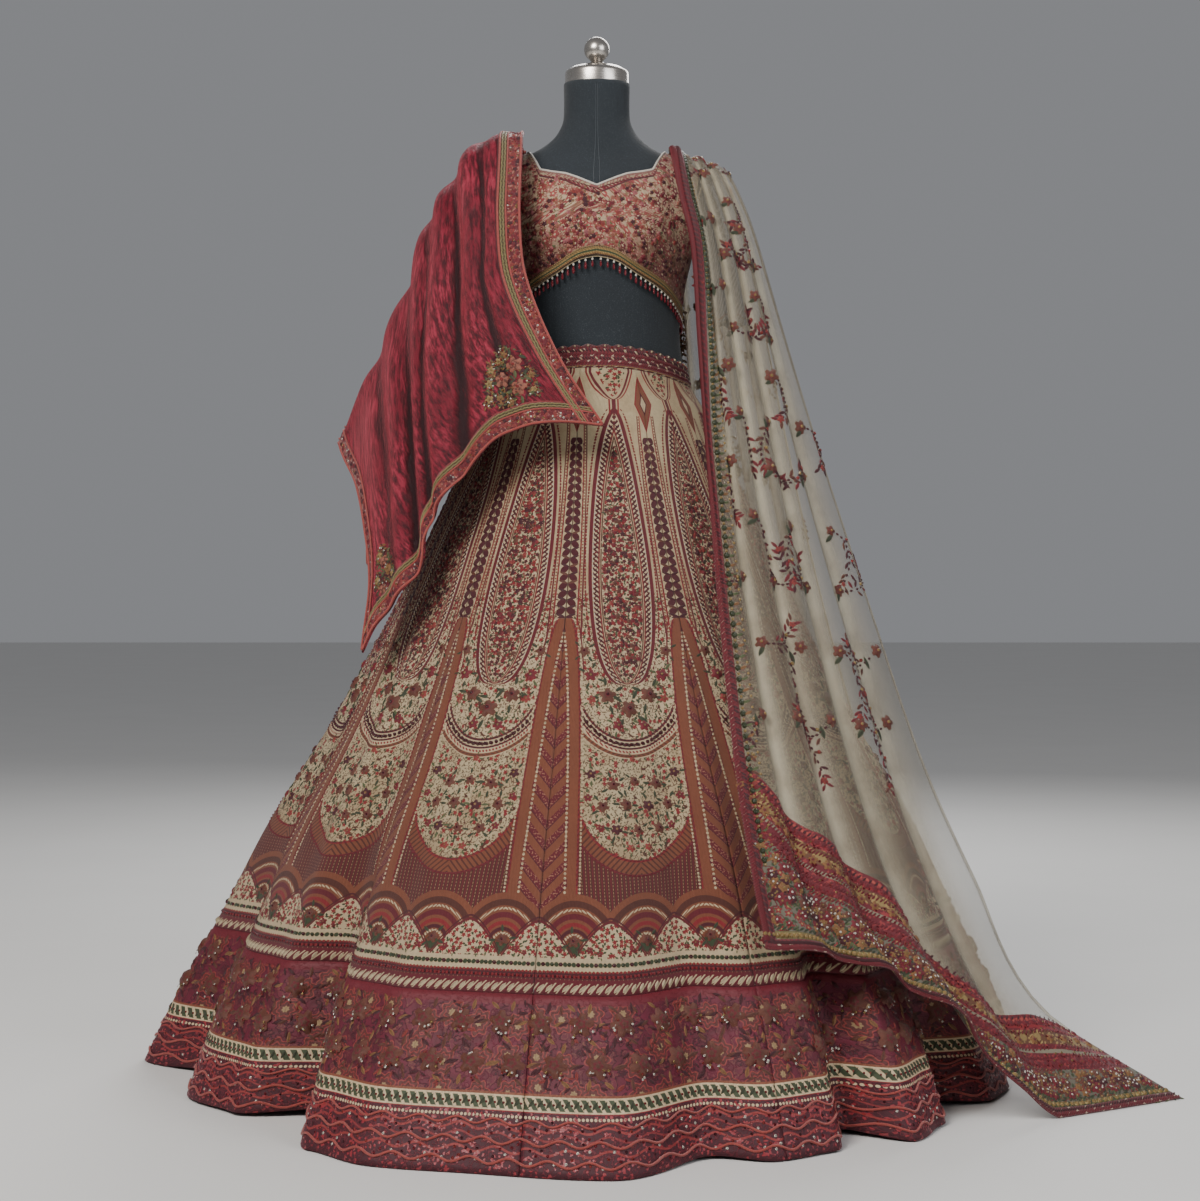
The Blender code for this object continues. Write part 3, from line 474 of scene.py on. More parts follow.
# Blouse on the form
def crest_height(x):
    """Height of the shoulder's crest at a distance from the axis."""
    low, high = CREST_RANGE
    for _ in range(30):
        middle = (low + high) / 2
        if through(FORM_SECTIONS, middle)[0] > x:
            low = middle
        else:
            high = middle
    return low


def choli_top(table, place):
    """How far out and how high a blouse panel's top edge is."""
    reach = straight([(row[0], row[1]) for row in table], place)
    height = straight([(row[0], row[2] or crest_height(row[1])) for row in table], place)
    if place >= CREST_FROM - TINY:
        height = crest_height(reach)
    return reach, height


def choli_edge(table, hem, share):
    """How far out a blouse panel's side edge is: the side seam, then the armhole."""
    high = choli_top(table, 1.0)[1]
    z = hem(1.0) + (high - hem(1.0)) * share
    if share < ARMHOLE_ROWS[-1] + TINY:
        return through(FORM_SECTIONS, z)[0]
    seam_top = through(FORM_SECTIONS, hem(1.0) + (high - hem(1.0)) * ARMHOLE_ROWS[-1])[0]
    armhole = [(rise, reach) for rise, reach in CHOLI_RISE if reach]
    return straight([(ARMHOLE_ROWS[-1], seam_top)] + armhole, share)


def choli_line(table, hem, place, share, facing):
    """A point of the form under a blouse panel: place across its half, share up from its hem."""
    reach, high = choli_top(table, place)
    low = hem(place)
    first = CHOLI_RISE[1][0]
    band = CHOLI_BAND / (high - low)
    if share <= first:
        lift = band * share / first
    else:
        lift = band + (1.0 - band) * (share - first) / (1.0 - first)
    z = low + (high - low) * lift
    edge = choli_edge(table, hem, share)
    hem_part = math.sin(math.radians(90.0 * place)) ** (2.0 / FORM_ROUNDNESS)
    top_part = reach / table[-1][1]
    x = min(edge * (hem_part + (top_part - hem_part) * share), through(FORM_SECTIONS, z)[0])
    if place > 1.0 - TINY and share < ARMHOLE_ROWS[-1] + TINY:
        return Vector((through(FORM_SECTIONS, z)[0], 0.0, z))
    return Vector((x, body_depth(x, z, facing), z))


def choli_hem(place):
    return through(CHOLI_HEM, place)[0]


def choli_back_hem(place):
    return CHOLI_BACK_HEM


def armhole_ring(side):
    """Points of the armhole from the shoulder down the front, and up the back."""
    ring = []
    for facing, table, hem in ((-1.0, CHOLI_FRONT_TOP, choli_hem), (1.0, CHOLI_BACK_TOP, choli_back_hem)):
        half = [choli_line(table, hem, 1.0, share, facing) for share in ARMHOLE_ROWS]
        ring += half[:-1] if facing < 0 else half[:0:-1]
    return [Vector((side * point.x, point.y, point.z)) for point in ring]


# Draped cloths
def drape_line(guides, cloth, facing, across, down):
    """The cloth's inner face, kept clear of what it hangs over."""
    point = guide_point(guides, across, down)
    along = guide_point(guides, across + REACH, down) - guide_point(guides, across - REACH, down)
    fall = guide_point(guides, across, down + REACH) - guide_point(guides, across, down - REACH)
    away = along.cross(fall).normalized() * facing
    wave = 0.5 - 0.5 * math.cos(2.0 * math.pi * cloth["pleats"] * across)
    depth = cloth["shoulder_wave"] + (cloth["hem_wave"] - cloth["shoulder_wave"]) * down
    grounded = min(max(point.z / GROUND_BLEND, 0.0), 1.0)
    point = point + away * wave * depth * grounded
    point = clear_of_body(point, cloth_clearance(point))
    point = clear_of_skirt(point, SKIRT_CLEAR)
    return Vector((point.x, point.y, max(point.z, FLOOR_CLEAR)))


def cloth_clearance(point):
    """How far a draped cloth stays off the form."""
    behind = abs(point.y) / CREST_DEPTH
    beyond = (abs(point.x) - CREST_END) / CREST_BLEND
    part = min(max(behind, beyond, 0.0), 1.0)
    return CREST_CLEAR + (BODY_CLEAR - CREST_CLEAR) * part


def guide_point(guides, across, down):
    points = through(guides, down)
    stations = [(index / 4, point) for index, point in enumerate(points)]
    return through(stations, across)[0]


def as_guides(table):
    return [(row[0],) + tuple(Vector(point) for point in row[1:]) for row in table]


# Surfaces that cloth, trims and stitches lie on
class Surface:
    """A grid of points of a surface, read smoothly between them: across 0 to 1, down 0 to 1."""

    def __init__(self, place, columns, rows, outward):
        self.columns = columns
        self.rows = rows
        grid = [[place(i / columns, j / rows) for i in range(columns + 1)] for j in range(rows + 1)]
        self.points = np.array([[tuple(point) for point in row] for row in grid])
        along = np.gradient(self.points, axis=1)
        fall = np.gradient(self.points, axis=0)
        away = np.cross(along, fall)
        away /= np.maximum(np.linalg.norm(away, axis=2, keepdims=True), 1e-12)
        middle = self.points[rows // 2, columns // 2]
        facing = np.sign(np.dot(away[rows // 2, columns // 2], np.array(outward(middle))))
        self.normals = away * facing
        self.measure()

    def measure(self):
        steps = np.linalg.norm(np.diff(self.points, axis=1), axis=2)
        self.across_m = np.concatenate([np.zeros((self.rows + 1, 1)), np.cumsum(steps, axis=1)], axis=1)
        falls = np.linalg.norm(np.diff(self.points, axis=0), axis=2)
        self.down_m = np.concatenate([np.zeros((1, self.columns + 1)), np.cumsum(falls, axis=0)], axis=0)

    def read(self, table, across, down):
        column = np.clip(np.asarray(across, float), 0.0, 1.0) * self.columns
        row = np.clip(np.asarray(down, float), 0.0, 1.0) * self.rows
        i = np.minimum(column.astype(int), self.columns - 1)
        j = np.minimum(row.astype(int), self.rows - 1)
        u = column - i
        v = row - j
        if table.ndim == 3:
            u = u[..., None]
            v = v[..., None]
        low = table[j, i] * (1 - u) + table[j, i + 1] * u
        high = table[j + 1, i] * (1 - u) + table[j + 1, i + 1] * u
        return low * (1 - v) + high * v

    def at(self, across, down, out=0.0):
        lift = np.asarray(out, float)
        if lift.ndim:
            lift = lift[..., None]
        return self.read(self.points, across, down) + self.normal(across, down) * lift

    def normal(self, across, down):
        away = self.read(self.normals, across, down)
        return away / np.maximum(np.linalg.norm(away, axis=-1, keepdims=True), 1e-12)

    def metres(self, across, down):
        """Metres from the first edge, and metres down, along the cloth."""
        return self.read(self.across_m, across, down), self.read(self.down_m, across, down)


    def inset(self, part, along, metres):
        """Places across and down that lie real metres inside an edge: inner, outer or hem."""
        along, metres = np.broadcast_arrays(np.asarray(along, float), np.asarray(metres, float))
        table = self.down_m.T if part == "hem" else self.across_m
        lines = table.shape[0] - 1
        steps = np.linspace(0.0, 1.0, table.shape[1])
        found = []
        for place, depth in zip(along.ravel() * lines, metres.ravel()):
            low = min(max(int(place), 0), lines - 1)
            line = table[low] + (table[low + 1] - table[low]) * (place - low)
            found.append(np.interp(depth if part == "inner" else line[-1] - depth, line, steps))
        found = np.array(found).reshape(along.shape)
        return (along, found) if part == "hem" else (found, along)

    def spot(self, part, along, metres):
        """The same for one place."""
        return [float(value) for value in self.inset(part, along, metres)]


def from_axis(point):
    return (point[0], point[1], 0.0)


# Meshes
def mesh_points(data):
    flat = np.zeros(len(data.vertices) * 3)
    data.vertices.foreach_get("co", flat)
    return flat.reshape(-1, 3)


def set_points(data, points):
    data.vertices.foreach_set("co", np.asarray(points, float).ravel())
    data.update()


def set_uv(data, name, pairs):
    """A UV map from one pair of numbers for each vertex."""
    corner = np.zeros(len(data.loops), np.int32)
    data.loops.foreach_get("vertex_index", corner)
    layer = data.uv_layers.new(name=name)
    layer.data.foreach_set("uv", np.asarray(pairs, float)[corner].ravel())


def grid_mesh(name, columns, rows):
    """A flat grid. Returns its mesh and each point's places across and down it."""
    grid = bmesh.new()
    bmesh.ops.create_grid(grid, x_segments=columns, y_segments=rows, size=0.5)
    data = bpy.data.meshes.new(name)
    grid.to_mesh(data)
    grid.free()
    flat = mesh_points(data)
    return data, flat[:, 0] + 0.5, flat[:, 1] + 0.5


def close_seam(data):
    """Joins the two edges of a tube, and its poles."""
    mesh = bmesh.new()
    mesh.from_mesh(data)
    bmesh.ops.remove_doubles(mesh, verts=mesh.verts[:], dist=1e-6)
    mesh.to_mesh(data)
    mesh.free()


def face_towards(data, surface, across, down):
    """Turns the faces so that the middle one looks away from what the surface covers."""
    face = data.polygons[len(data.polygons) // 2]
    corner = face.vertices[0]
    if Vector(face.normal).dot(Vector(surface.normal(across[corner], down[corner]))) < 0.0:
        data.flip_normals()


def span_places(span):
    left, right, top, bottom = span

    def places(u, v):
        return left + (right - left) * u, top + (bottom - top) * v
    return places


def add_piece(name, data, materials, slot, nodes=(), smooth=True):
    """An object of the scene that rides on the one body and stands for its nodes."""
    for material in materials:
        data.materials.append(material)
    if smooth:
        data.shade_smooth()
    item = bpy.data.objects.new(name, data)
    bpy.context.scene.collection.objects.link(item)
    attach(item, "root")
    if nodes:
        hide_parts(*nodes)
    return item


def add_wall(item, thickness, offset):
    wall = item.modifiers.new("wall", "SOLIDIFY")
    wall.thickness = thickness
    wall.offset = offset
    wall.use_even_offset = False


def sheet(name, surface, size, span, material, slot, nodes=(), wall=0.001, out=0.0, uv=None):
    """A stretch of cloth on a surface. size is columns and rows, span the places that it covers."""
    data, flat_across, flat_down = grid_mesh(name, *size)
    places = span if callable(span) else span_places(span)
    across, down = places(flat_across, flat_down)
    set_points(data, surface.at(across, down, out))
    pairs = uv(across, down) if uv else np.stack(surface.metres(across, down), axis=1)
    set_uv(data, "cloth", pairs)
    face_towards(data, surface, across, down)
    item = add_piece(name, data, [material], slot, nodes)
    add_wall(item, wall, -1.0)
    return item


def tube_points(path, radius, across, down):
    """Places round a path: path is an array of points, down runs along it."""
    path = np.asarray(path, float)
    count = len(path) - 1
    row = np.rint(down * count).astype(int)
    ahead = np.gradient(path, axis=0)
    ahead /= np.maximum(np.linalg.norm(ahead, axis=1, keepdims=True), 1e-12)
    side = np.cross(ahead, np.array([0.0, 0.0, 1.0]))
    weak = np.linalg.norm(side, axis=1) < 0.2
    side[weak] = np.cross(ahead[weak], np.array([0.0, 1.0, 0.0]))
    side /= np.maximum(np.linalg.norm(side, axis=1, keepdims=True), 1e-12)
    up = np.cross(side, ahead)
    turn = 2.0 * math.pi * across[:, None]
    width = np.broadcast_to(np.asarray(radius, float), (count + 1,))[row][:, None]
    return path[row] + (side[row] * np.cos(turn) + up[row] * np.sin(turn)) * width


def cord_data(name, path, radius, sides=6):
    """A round cord along a path, with its UV map running round it and along it in metres."""
    path = np.asarray(path, float)
    data, across, down = grid_mesh(name, sides, len(path) - 1)
    set_points(data, tube_points(path, radius, across, down))
    lengths = np.concatenate([[0.0], np.cumsum(np.linalg.norm(np.diff(path, axis=0), axis=1))])
    row = np.rint(down * (len(path) - 1)).astype(int)
    set_uv(data, "cloth", np.stack([across, lengths[row]], axis=1))
    close_seam(data)
    mesh = bmesh.new()
    mesh.from_mesh(data)
    bmesh.ops.holes_fill(mesh, edges=[edge for edge in mesh.edges if edge.is_boundary], sides=sides)
    bmesh.ops.recalc_face_normals(mesh, faces=mesh.faces[:])
    mesh.to_mesh(data)
    mesh.free()
    return data


# Small raised shapes, each one unit across and lying on the XY plane
def polar_shape(name, steps, rings):
    """A round shape: rings gives radius and height for a turn of the circle."""
    data, across, down = grid_mesh(name, steps, len(rings) - 1)
    turn = 2.0 * math.pi * across
    ring = np.rint(down * (len(rings) - 1)).astype(int)
    radius = np.array([rings[index][0](angle) for index, angle in zip(ring, turn)])
    height = np.array([rings[index][1] for index in ring])
    set_points(data, np.stack([radius * np.cos(turn), radius * np.sin(turn), height], axis=1))
    set_uv(data, "thread", np.stack([down, across], axis=1))
    close_seam(data)
    face_up(data)
    return data


def face_up(data):
    mesh = bmesh.new()
    mesh.from_mesh(data)
    down = [face for face in mesh.faces if face.normal.z < 0.0]
    if len(down) > len(mesh.faces) / 2:
        bmesh.ops.reverse_faces(mesh, faces=mesh.faces[:])
    mesh.to_mesh(data)
    mesh.free()


def flower_shape(petals):
    def rim(angle):
        return 0.30 + 0.20 * abs(math.sin(petals * angle / 2.0)) ** 0.6

    def waist(angle):
        return 0.19 + 0.10 * abs(math.sin(petals * angle / 2.0))

    rings = ((lambda angle: 0.0, 0.12), (waist, 0.15), (rim, -0.04))
    return polar_shape("flower", petals * 3, rings)


def leaf_shape():
    """A pointed leaf along X with a raised rib."""
    data, across, down = grid_mesh("leaf", 4, 2)
    along = across - 0.5
    half = 0.19 * np.sin(math.pi * across) ** 0.8
    side = (down - 0.5) * 2.0
    height = 0.10 * (1.0 - side ** 2) * np.sin(math.pi * across) - 0.04 * np.abs(side)
    set_points(data, np.stack([along, half * side, height], axis=1))
    set_uv(data, "thread", np.stack([np.abs(side), across], axis=1))
    close_seam(data)
    face_up(data)
    return data


def bead_shape(steps=6, height=0.5):
    rings = ((lambda angle: 0.0, height), (lambda angle: 0.40, height * 0.62), (lambda angle: 0.5, -0.10))
    return polar_shape("bead", steps, rings)


def sequin_shape():
    return bead_shape(6, 0.10)


def stitch_shape():
    """A grain of raised thread along X."""
    data, across, down = grid_mesh("stitch", 3, 2)
    side = (down - 0.5) * 2.0
    half = 0.19 * np.sqrt(np.sin(math.pi * np.clip(across, 0.02, 0.98)))
    height = 0.24 * np.sqrt(np.clip(1.0 - side ** 2, 0.0, 1.0)) * np.sin(math.pi * across) ** 0.5 - 0.03
    set_points(data, np.stack([across - 0.5, half * side, height], axis=1))
    set_uv(data, "thread", np.stack([np.abs(side), across], axis=1))
    close_seam(data)
    face_up(data)
    return data


def drop_shape():
    """A long bead hanging down -Y from the origin, round all the way."""
    steps = 8
    profile = ((0.0, 0.0), (0.16, -0.10), (0.28, -0.38), (0.31, -0.62), (0.20, -0.88), (0.0, -1.0))
    data, across, down = grid_mesh("drop", steps, len(profile) - 1)
    turn = 2.0 * math.pi * across
    ring = np.rint(down * (len(profile) - 1)).astype(int)
    radius = np.array([profile[index][0] for index in ring])
    height = np.array([profile[index][1] for index in ring])
    set_points(data, np.stack([radius * np.cos(turn), height, radius * np.sin(turn)], axis=1))
    set_uv(data, "thread", np.stack([down, across], axis=1))
    close_seam(data)
    mesh = bmesh.new()
    mesh.from_mesh(data)
    bmesh.ops.recalc_face_normals(mesh, faces=mesh.faces[:])
    mesh.to_mesh(data)
    mesh.free()
    return data


def any_turn(chance):
    return chance.uniform(0.0, FULL_TURN)


class Stitches:
    """Many copies of one small shape on a surface, joined in one mesh."""

    def __init__(self):
        self.rows = []

    def add(self, surface, across, down, size, turn=0.0, shade=0, out=0.0, stretch=1.0):
        self.rows.append((surface, across, down, size, turn, shade, out, stretch))

    def placed(self):
        """Origin, three axes and shade of each copy."""
        origins, sides, ups, aways, shades = [], [], [], [], []
        groups = {}
        for row in self.rows:
            groups.setdefault(id(row[0]), []).append(row)
        for rows in groups.values():
            surface = rows[0][0]
            across, down, size, turn, shade, out, stretch = (
                np.array([row[index] for row in rows], float) for index in range(1, 8))
            point = surface.at(across, down, out)
            away = surface.normal(across, down)
            step = 0.5 / surface.columns
            ahead = surface.at(across + step, down) - surface.at(across - step, down)
            side = ahead - away * np.sum(ahead * away, axis=1, keepdims=True)
            side /= np.maximum(np.linalg.norm(side, axis=1, keepdims=True), 1e-12)
            up = np.cross(away, side)
            cos = np.cos(turn)[:, None]
            sin = np.sin(turn)[:, None]
            origins.append(point)
            sides.append((side * cos + up * sin) * (size * stretch)[:, None])
            ups.append((up * cos - side * sin) * size[:, None])
            aways.append(away * size[:, None])
            shades.append(shade)
        return tuple(np.concatenate(part) for part in (origins, sides, ups, aways, shades))

    def build(self, name, shape, material, slot, nodes=()):
        if not self.rows:
            return None
        origin, side, up, away, shade = self.placed()
        return join_copies(name, shape, origin, (side, up, away), shade, material, slot, nodes)


def join_copies(name, shape, origin, axes, shade, material, slot, nodes=()):
    """One mesh of many copies of a shape, each at its origin on its own three axes."""
    side, up, away = axes
    points = mesh_points(shape)
    count = len(origin)
    verts = (origin[:, None, :] + points[None, :, 0:1] * side[:, None, :]
             + points[None, :, 1:2] * up[:, None, :] + points[None, :, 2:3] * away[:, None, :])
    verts[:, :, 2] = np.maximum(verts[:, :, 2], FLOOR_CLEAR / 2.0)
    starts = np.zeros(len(shape.polygons), np.int32)
    shape.polygons.foreach_get("loop_start", starts)
    corner = np.zeros(len(shape.loops), np.int32)
    shape.loops.foreach_get("vertex_index", corner)
    uv = np.zeros(len(shape.loops) * 2)
    shape.uv_layers["thread"].data.foreach_get("uv", uv)
    uv = uv.reshape(-1, 2)
    data = bpy.data.meshes.new(name)
    data.vertices.add(count * len(points))
    data.vertices.foreach_set("co", verts.ravel())
    data.loops.add(count * len(corner))
    data.polygons.add(count * len(starts))
    shift = np.arange(count)[:, None]
    data.loops.foreach_set("vertex_index", (corner[None, :] + shift * len(points)).ravel().astype(np.int32))
    data.polygons.foreach_set("loop_start", (starts[None, :] + shift * len(corner)).ravel().astype(np.int32))
    layer = data.uv_layers.new(name="thread")
    pairs = np.empty((count, len(corner), 2))
    pairs[:, :, 0] = uv[None, :, 0]
    pairs[:, :, 1] = (np.asarray(shade)[:, None] + 0.5) / len(THREADS)
    layer.data.foreach_set("uv", pairs.ravel())
    data.update(calc_edges=True)
    data.validate()
    return add_piece(name, data, [material], slot, nodes)


# Thread colours, as rows of one palette
THREADS = (
    (0.56, 0.44, 0.27),
    (0.180, 0.010, 0.019),
    (0.070, 0.006, 0.012),
    (0.28, 0.036, 0.030),
    (0.33, 0.11, 0.070),
    (0.26, 0.115, 0.038),
    (0.042, 0.052, 0.021),
    (0.105, 0.125, 0.045),
    (0.34, 0.22, 0.080),
    (0.38, 0.11, 0.11),
    (0.135, 0.038, 0.022),
    (0.74, 0.68, 0.58),
)
CREAM, RED, MAROON, CORAL, SALMON, OCHRE, GREEN, LEAF, GOLD, PINK, BROWN, PEARL = range(len(THREADS))

SILK = (0.56, 0.44, 0.265)
SILK_DARK = (0.38, 0.27, 0.15)
VELVET_RED = (0.165, 0.007, 0.019)
# Painted shade: the shawl velvet takes this dark colour in the hollows of its fine creases
VELVET_CREASE_SHADE = (0.036, 0.0025, 0.006)
BORDER_RED = (0.120, 0.006, 0.022)
JERSEY = (0.013, 0.018, 0.023)


# Node trees written as sums
class Signal:
    """A number that changes over a surface."""

    def __init__(self, tree, socket):
        self.tree = tree
        self.socket = socket

    def math(self, operation, *others, clamp=False):
        node = self.tree.nodes.new("ShaderNodeMath")
        node.operation = operation
        node.use_clamp = clamp
        for slot, value in enumerate((self,) + others):
            feed(self.tree, node.inputs[slot], value)
        return Signal(self.tree, node.outputs[0])

    def __add__(self, other):
        return self.math("ADD", other)

    def __sub__(self, other):
        return self.math("SUBTRACT", other)

    def __mul__(self, other):
        return self.math("MULTIPLY", other)

    def __truediv__(self, other):
        return self.math("DIVIDE", other)

    def wave(self):
        return self.math("SINE")

    def size(self):
        return self.math("ABSOLUTE")

    def flip(self):
        """One less the number."""
        return (self * -1.0) + 1.0

    def both(self, other):
        return self.math("MINIMUM", other)

    def either(self, other):
        return self.math("MAXIMUM", other)

    def step(self, low, high):
        """Rises smoothly from 0 at low to 1 at high."""
        node = self.tree.nodes.new("ShaderNodeMapRange")
        node.interpolation_type = "SMOOTHSTEP"
        for slot, value in enumerate((self, low, high, 0.0, 1.0)):
            feed(self.tree, node.inputs[slot], value)
        return Signal(self.tree, node.outputs[0])

    def line(self, centre, half, soft=0.0004):
        """1 near centre, 0 further off than half."""
        return (self - centre).size().step(half - soft, half + soft).flip()

    def between(self, low, high, soft=0.0006):
        return self.step(low - soft, low + soft).both(self.step(high - soft, high + soft).flip())

    def beat(self, pitch, phase=0.0):
        """Runs from -0.5 to 0.5 over each pitch."""
        return ((self / pitch) + phase).math("FRACT") - 0.5


def feed(tree, socket, value):
    if isinstance(value, Signal):
        tree.links.new(value.socket, socket)
    elif hasattr(value, "is_output"):
        tree.links.new(value, socket)
    elif isinstance(value, (tuple, list)) and len(value) == 3 and socket.type == "RGBA":
        socket.default_value = (*value, 1.0)
    else:
        socket.default_value = value


def blend(tree, mask, low, high):
    """Colour low where mask is 0 and high where it is 1."""
    node = tree.nodes.new("ShaderNodeMix")
    node.data_type = "RGBA"
    feed(tree, node.inputs[0], mask)
    feed(tree, node.inputs[6], low)
    feed(tree, node.inputs[7], high)
    return node.outputs[2]


def uv_of(tree, name):
    node = tree.nodes.new("ShaderNodeUVMap")
    node.uv_map = name
    return node.outputs[0]


def apart(tree, vector):
    node = tree.nodes.new("ShaderNodeSeparateXYZ")
    feed(tree, node.inputs[0], vector)
    return Signal(tree, node.outputs[0]), Signal(tree, node.outputs[1]), Signal(tree, node.outputs[2])


def together(tree, x, y):
    node = tree.nodes.new("ShaderNodeCombineXYZ")
    feed(tree, node.inputs[0], x)
    feed(tree, node.inputs[1], y)
    return node.outputs[0]


def object_place(tree):
    return tree.nodes.new("ShaderNodeTexCoord").outputs["Object"]


def cloud(tree, vector, scale, detail=3.0, rough=0.55):
    node = tree.nodes.new("ShaderNodeTexNoise")
    feed(tree, node.inputs["Vector"], vector)
    feed(tree, node.inputs["Scale"], scale)
    node.inputs["Detail"].default_value = detail
    node.inputs["Roughness"].default_value = rough
    return Signal(tree, node.outputs[0])


def cells(tree, vector, scale, spread=1.0):
    """Distance to the middle of its cell, the middle's place, and a number of the cell's own."""
    node = tree.nodes.new("ShaderNodeTexVoronoi")
    node.voronoi_dimensions = "2D"
    feed(tree, node.inputs["Vector"], vector)
    feed(tree, node.inputs["Scale"], scale)
    feed(tree, node.inputs["Randomness"], spread)
    own = apart(tree, node.outputs["Color"])[0]
    return Signal(tree, node.outputs["Distance"]), node.outputs["Position"], own


def new_group(name, inputs, outputs):
    group = bpy.data.node_groups.new(name, "ShaderNodeTree")
    for label, kind, value in inputs:
        socket = group.interface.new_socket(name=label, in_out="INPUT", socket_type=kind)
        if value is not None:
            socket.default_value = value
    for label, kind in outputs:
        group.interface.new_socket(name=label, in_out="OUTPUT", socket_type=kind)
    start = group.nodes.new("NodeGroupInput")
    end = group.nodes.new("NodeGroupOutput")
    return group, start, end


def weave_group():
    """Plain weave: darker gaps between threads and their height."""
    group, start, end = new_group(
        "weave",
        (("Vector", "NodeSocketVector", None), ("Pitch", "NodeSocketFloat", 0.0012)),
        (("Height", "NodeSocketFloat"), ("Slub", "NodeSocketFloat")),
    )
    x, y, _ = apart(group, start.outputs["Vector"])
    pitch = Signal(group, start.outputs["Pitch"])
    turn = 2.0 * math.pi
    warp = ((x / pitch) * turn).wave()
    weft = ((y / pitch) * turn).wave()
    feed(group, end.inputs["Height"], (warp * weft) * 0.5 + 0.5)
    drawn = together(group, x * 0.12, y)
    feed(group, end.inputs["Slub"], cloud(group, drawn, 420.0, 2.0))
    return group


def flower_group():
    """Scattered five-petalled flowers, leaves between them and their stems."""
    group, start, end = new_group(
        "flower_field",
        (("Vector", "NodeSocketVector", None), ("Scale", "NodeSocketFloat", 60.0),
         ("Spread", "NodeSocketFloat", 0.8), ("Size", "NodeSocketFloat", 0.42)),
        (("Petal", "NodeSocketFloat"), ("Heart", "NodeSocketFloat"), ("Leaf", "NodeSocketFloat"),
         ("Stem", "NodeSocketFloat"), ("Kind", "NodeSocketFloat")),
    )
    vector = start.outputs["Vector"]
    scale = Signal(group, start.outputs["Scale"])
    size = Signal(group, start.outputs["Size"])
    _, middle, kind = cells(group, vector, scale, Signal(group, start.outputs["Spread"]))
    x, y, _ = apart(group, vector)
    middle_x, middle_y, _ = apart(group, middle)
    local_x = (x - middle_x) * scale
    local_y = (y - middle_y) * scale
    reach = ((local_x * local_x) + (local_y * local_y)).math("SQRT")
    angle = local_y.math("ARCTAN2", local_x)
    lobes = ((angle * 5.0) + kind * 9.0).wave() * 0.24 + 0.80
    edge = reach / (lobes * size)
    feed(group, end.inputs["Petal"], edge.step(0.88, 1.0).flip())
    feed(group, end.inputs["Heart"], (reach / size).step(0.22, 0.32).flip())
    shifted = together(group, x + 0.37 / 60.0, y + 0.21 / 60.0)
    _, spot, leaf_kind = cells(group, shifted, scale * 1.25, 1.0)
    spot_x, spot_y, _ = apart(group, spot)
    leaf_x = (x + 0.37 / 60.0 - spot_x) * scale
    leaf_y = (y + 0.21 / 60.0 - spot_y) * scale
    turn = leaf_kind * 6.28
    along = leaf_x * turn.math("COSINE") + leaf_y * turn.math("SINE")
    beside = leaf_y * turn.math("COSINE") - leaf_x * turn.math("SINE")
    leaf = ((along * along) * 9.0 + (beside.size() * 5.5)).step(0.85, 1.0).flip()
    feed(group, end.inputs["Leaf"], leaf)
    bent = cloud(group, vector, scale * 0.55, 1.0)
    feed(group, end.inputs["Stem"], bent.line(0.5, 0.012, 0.006))
    feed(group, end.inputs["Kind"], kind)
    return group


def thread_group():
    """Fine stitches: a light and dark grain along the thread, and its height."""
    group, start, end = new_group(
        "thread_grain",
        (("Vector", "NodeSocketVector", None), ("Pitch", "NodeSocketFloat", 0.0009)),
        (("Shade", "NodeSocketFloat"), ("Height", "NodeSocketFloat")),
    )
    x, y, z = apart(group, start.outputs["Vector"])
    pitch = Signal(group, start.outputs["Pitch"])
    wobble = cloud(group, start.outputs["Vector"], 220.0, 2.0)
    ridge = (((x + y * 0.8 + z * 0.9) / pitch) * 6.283 + wobble * 5.0).wave() * 0.5 + 0.5
    feed(group, end.inputs["Shade"], (ridge * 0.35 + wobble * 0.5) + 0.40)
    feed(group, end.inputs["Height"], ridge)
    return group


def placed(tree, group, **inputs):
    node = tree.nodes.new("ShaderNodeGroup")
    node.node_tree = group
    for label, value in inputs.items():
        feed(tree, node.inputs[label], value)
    return {socket.name: Signal(tree, socket) for socket in node.outputs}


def new_material(name, roughness, **settings):
    """A material with its shader, whose plain settings stay on its own sockets."""
    material = bpy.data.materials.new(name)
    material.use_nodes = True
    tree = material.node_tree
    shader = tree.nodes["Principled BSDF"]
    shader.inputs["Roughness"].default_value = roughness
    for label, value in settings.items():
        socket = shader.inputs[label.replace("_", " ")]
        feed(tree, socket, value)
    return material, tree, shader


def raise_relief(tree, shader, height, distance, strength=1.0):
    bump = tree.nodes.new("ShaderNodeBump")
    bump.inputs["Strength"].default_value = strength
    bump.inputs["Distance"].default_value = distance
    feed(tree, bump.inputs["Height"], height)
    feed(tree, shader.inputs["Normal"], bump.outputs[0])


def grey(tree, value):
    """A colour of one number."""
    node = tree.nodes.new("ShaderNodeCombineColor")
    for slot in range(3):
        feed(tree, node.inputs[slot], value)
    return node.outputs[0]


def dim(tree, colour, shade):
    """The colour made lighter or darker by a number near 1."""
    node = tree.nodes.new("ShaderNodeMix")
    node.data_type = "RGBA"
    node.blend_type = "MULTIPLY"
    node.inputs[0].default_value = 1.0
    feed(tree, node.inputs[6], colour)
    feed(tree, node.inputs[7], grey(tree, shade))
    return node.outputs[2]


def layers(tree, ground, *coats):
    """The ground with coats of (mask, colour) laid on it in turn."""
    colour = ground
    for mask, coat in coats:
        colour = blend(tree, mask, colour, coat)
    return colour


WEAVE = weave_group()
FLOWERS = flower_group()
THREAD = thread_group()


